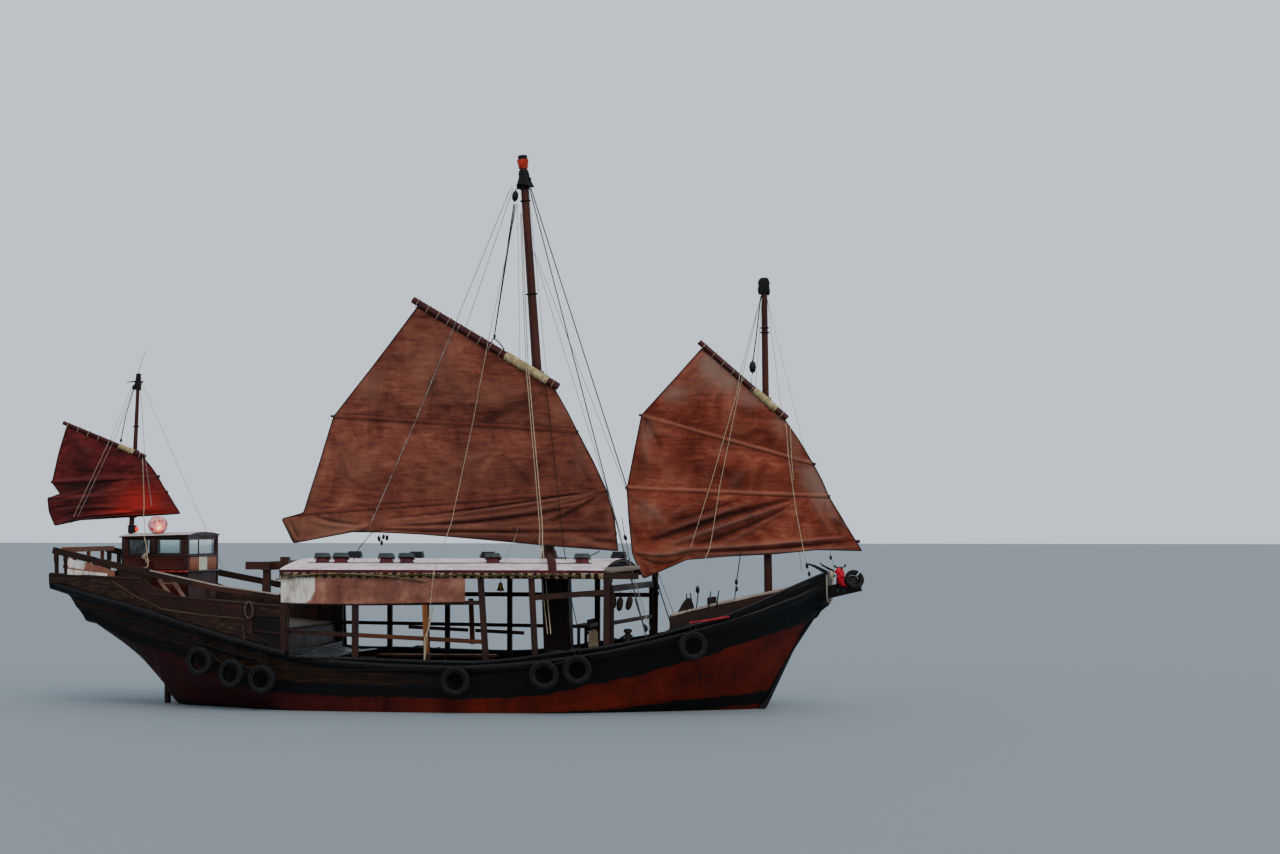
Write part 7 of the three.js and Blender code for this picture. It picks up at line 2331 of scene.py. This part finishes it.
tarred_canvas = plain("tarred_canvas", ("050505", "0b0b0c", "1d1c1b"), roughness=0.75, scale=18, bump_mm=3)
wraps = [wrap_of("main_mast_wrap_upper", main_top - main_dir * 0.34, main_dir,
                 [(0.0, 0.1, 0.0), (0.05, 0.115, 0.004), (0.14, 0.12, 0.01), (0.25, 0.15, 0.018),
                  (0.36, 0.19, 0.03)], 5, 3),
          wrap_of("main_mast_wrap_lower", main_top - main_dir * 0.6, main_dir,
                  [(0.0, 0.115, 0.0), (0.06, 0.125, 0.004), (0.12, 0.118, 0.006)], 6, 4),
          wrap_of("fore_mast_wrap", fore_top - fore_dir * 0.02, fore_dir,
                  [(0.0, 0.1, 0.004), (0.07, 0.125, 0.014), (0.15, 0.115, 0.012), (0.24, 0.125, 0.02),
                   (0.33, 0.11, 0.02)], 5, 5),
          wrap_of("mizzen_mast_wrap", mizzen_top - mizzen_dir * 0.16, mizzen_dir,
                  [(0.0, 0.06, 0.0), (0.05, 0.085, 0.008), (0.13, 0.08, 0.01), (0.2, 0.09, 0.015)], 4, 6)]
for piece, mast in zip(wraps, ("main_mast", "main_mast", "fore_mast", "mizzen_mast")):
    cloth = sum(face.area for face in piece.data.polygons) / 2
    fit_out(piece, "hull", tarred_canvas, angle=60)
cup = spun("main_mast_cup", [(0.088, -0.3), (0.1, -0.3), (0.108, -0.26), (0.128, -0.12), (0.134, -0.1),
                             (0.12, -0.1), (0.092, -0.12)], main_top, main_dir, steps=36)
fit_out(cup, "hull", plain("red_signal_cup", ("6d120c", "b5321c", "d4553a"), roughness=0.5,
                                        scale=6))
print("mast heads wrapped in canvas")

# %% Bow tyre's strap and hub
axis = BOW_TYRE_AXIS
across = axis.cross(Vector((0, 0, 1))).normalized()
upward = across.cross(axis).normalized()
spoke = (across * 0.62 + upward * 0.78).normalized()
if spoke.x < 0:
    spoke = (-across * 0.62 + upward * 0.78).normalized()
strap_points = []
for out, r in ((0.03, 0.1), (0.066, 0.125), (0.07, 0.17), (0.06, 0.205), (0.02, 0.222), (-0.04, 0.222),
               (-0.066, 0.2), (-0.066, 0.14), (-0.02, 0.11)):
    strap_points.append(BOW_TYRE_AT + axis * out + spoke * r)
fit_out(tube("bow_tyre_strap", strap_points, 0.013, sides=8, closed=True), "hull",
        plain("white_webbing", ("8b8984", "c1bfb9", "e0ded8"), roughness=0.8, scale=14))
hub = spun("bow_tyre_hub", [(0.001, -0.05), (0.118, -0.05), (0.122, -0.03), (0.1, -0.012), (0.04, -0.004),
                            (0.001, 0.0)], BOW_TYRE_AT - axis * 0.02, axis, steps=32)
fit_out(hub, "hull", tarred_iron)
print("bow tyre lashed")

# %% [markdown]
# ## Timbers of the frame
# Posts, beams, decks, masts and spars are already the right shape. They keep their meshes, and each gets
# its own finish; those with a rounding in the table also get a live bevel that rounds their edges by a few
# millimetres, as use does.

# %% Finishes and rounded edges on the frame's nodes
gallows_beam = timber("worn_varnished_gallows", ("1a0c08", "371c14", "553325"), along="Y")
# node, finish, rounding in millimetres
DRESSED = [
    ("poop_deck", deck_board, 0), ("main_deck", deck_board, 0), ("fore_deck", deck_board, 0),
    ("poop_bulkhead", cabin_teak, 4), ("fore_bulkhead", oiled_post, 4), ("fore_coaming", oiled_beam, 8),
    ("keel", black_enamel, 12), ("stem_post", black_enamel, 14), ("main_mast_case", case_board, 10),
    ("main_mast", mast_fir, 0), ("fore_mast", mast_fir, 0), ("mizzen_mast", mast_fir, 0),
    ("deckhouse_frame_starboard", oiled_post, 7), ("deckhouse_frame_port", oiled_post, 7),
    ("bench_starboard", bench_plank, 6), ("bench_port", bench_plank, 6),
    ("fore_frame", oiled_beam_athwart, 8),
    ("pin_rail", oiled_beam_athwart, 6), ("poop_rail_starboard", oiled_beam, 8),
    ("poop_rail_port", oiled_beam, 8),
    ("taffrail", varnish_side, 7), ("poop_gallows", gallows_beam, 9), ("cabin", cabin_teak, 5),
    ("cabin_roof", dark_sash, 6), ("ladder", scrubbed_pine, 6), ("bow_beam", black_enamel, 16),
    ("fore_bitts", oiled_beam_athwart, 9), ("rudder", oiled_post, 9), ("propeller", bronze, 5),
    ("main_yard", spar_fir, 0), ("main_boom", spar_fir, 0), ("fore_yard", spar_fir, 0),
    ("fore_boom", spar_fir, 0),
    ("mizzen_yard", spar_fir, 0), ("mizzen_boom", spar_fir, 0), ("main_stay_starboard", wire, 0),
    ("main_stay_port", wire, 0), ("main_batten_1", spar_fir, 0), ("main_batten_2", spar_fir, 0),
    ("fore_batten_1", spar_fir, 0), ("fore_batten_2", spar_fir, 0), ("mizzen_batten_1", spar_fir, 0),
    ("mizzen_batten_2", spar_fir, 0),
]
for name, finish, rounding in DRESSED:
    node = nodes[name]
    node.data.materials.clear()
    node.data.materials.append(finish)
    if rounding:
        bevel = node.modifiers.new("rounded_edges", "BEVEL")
        bevel.width = rounding / 1000
        bevel.segments = 2
        bevel.limit_method = "ANGLE"
        bevel.angle_limit = math.radians(40)
        bevel.harden_normals = False
print(len(DRESSED), "nodes dressed")
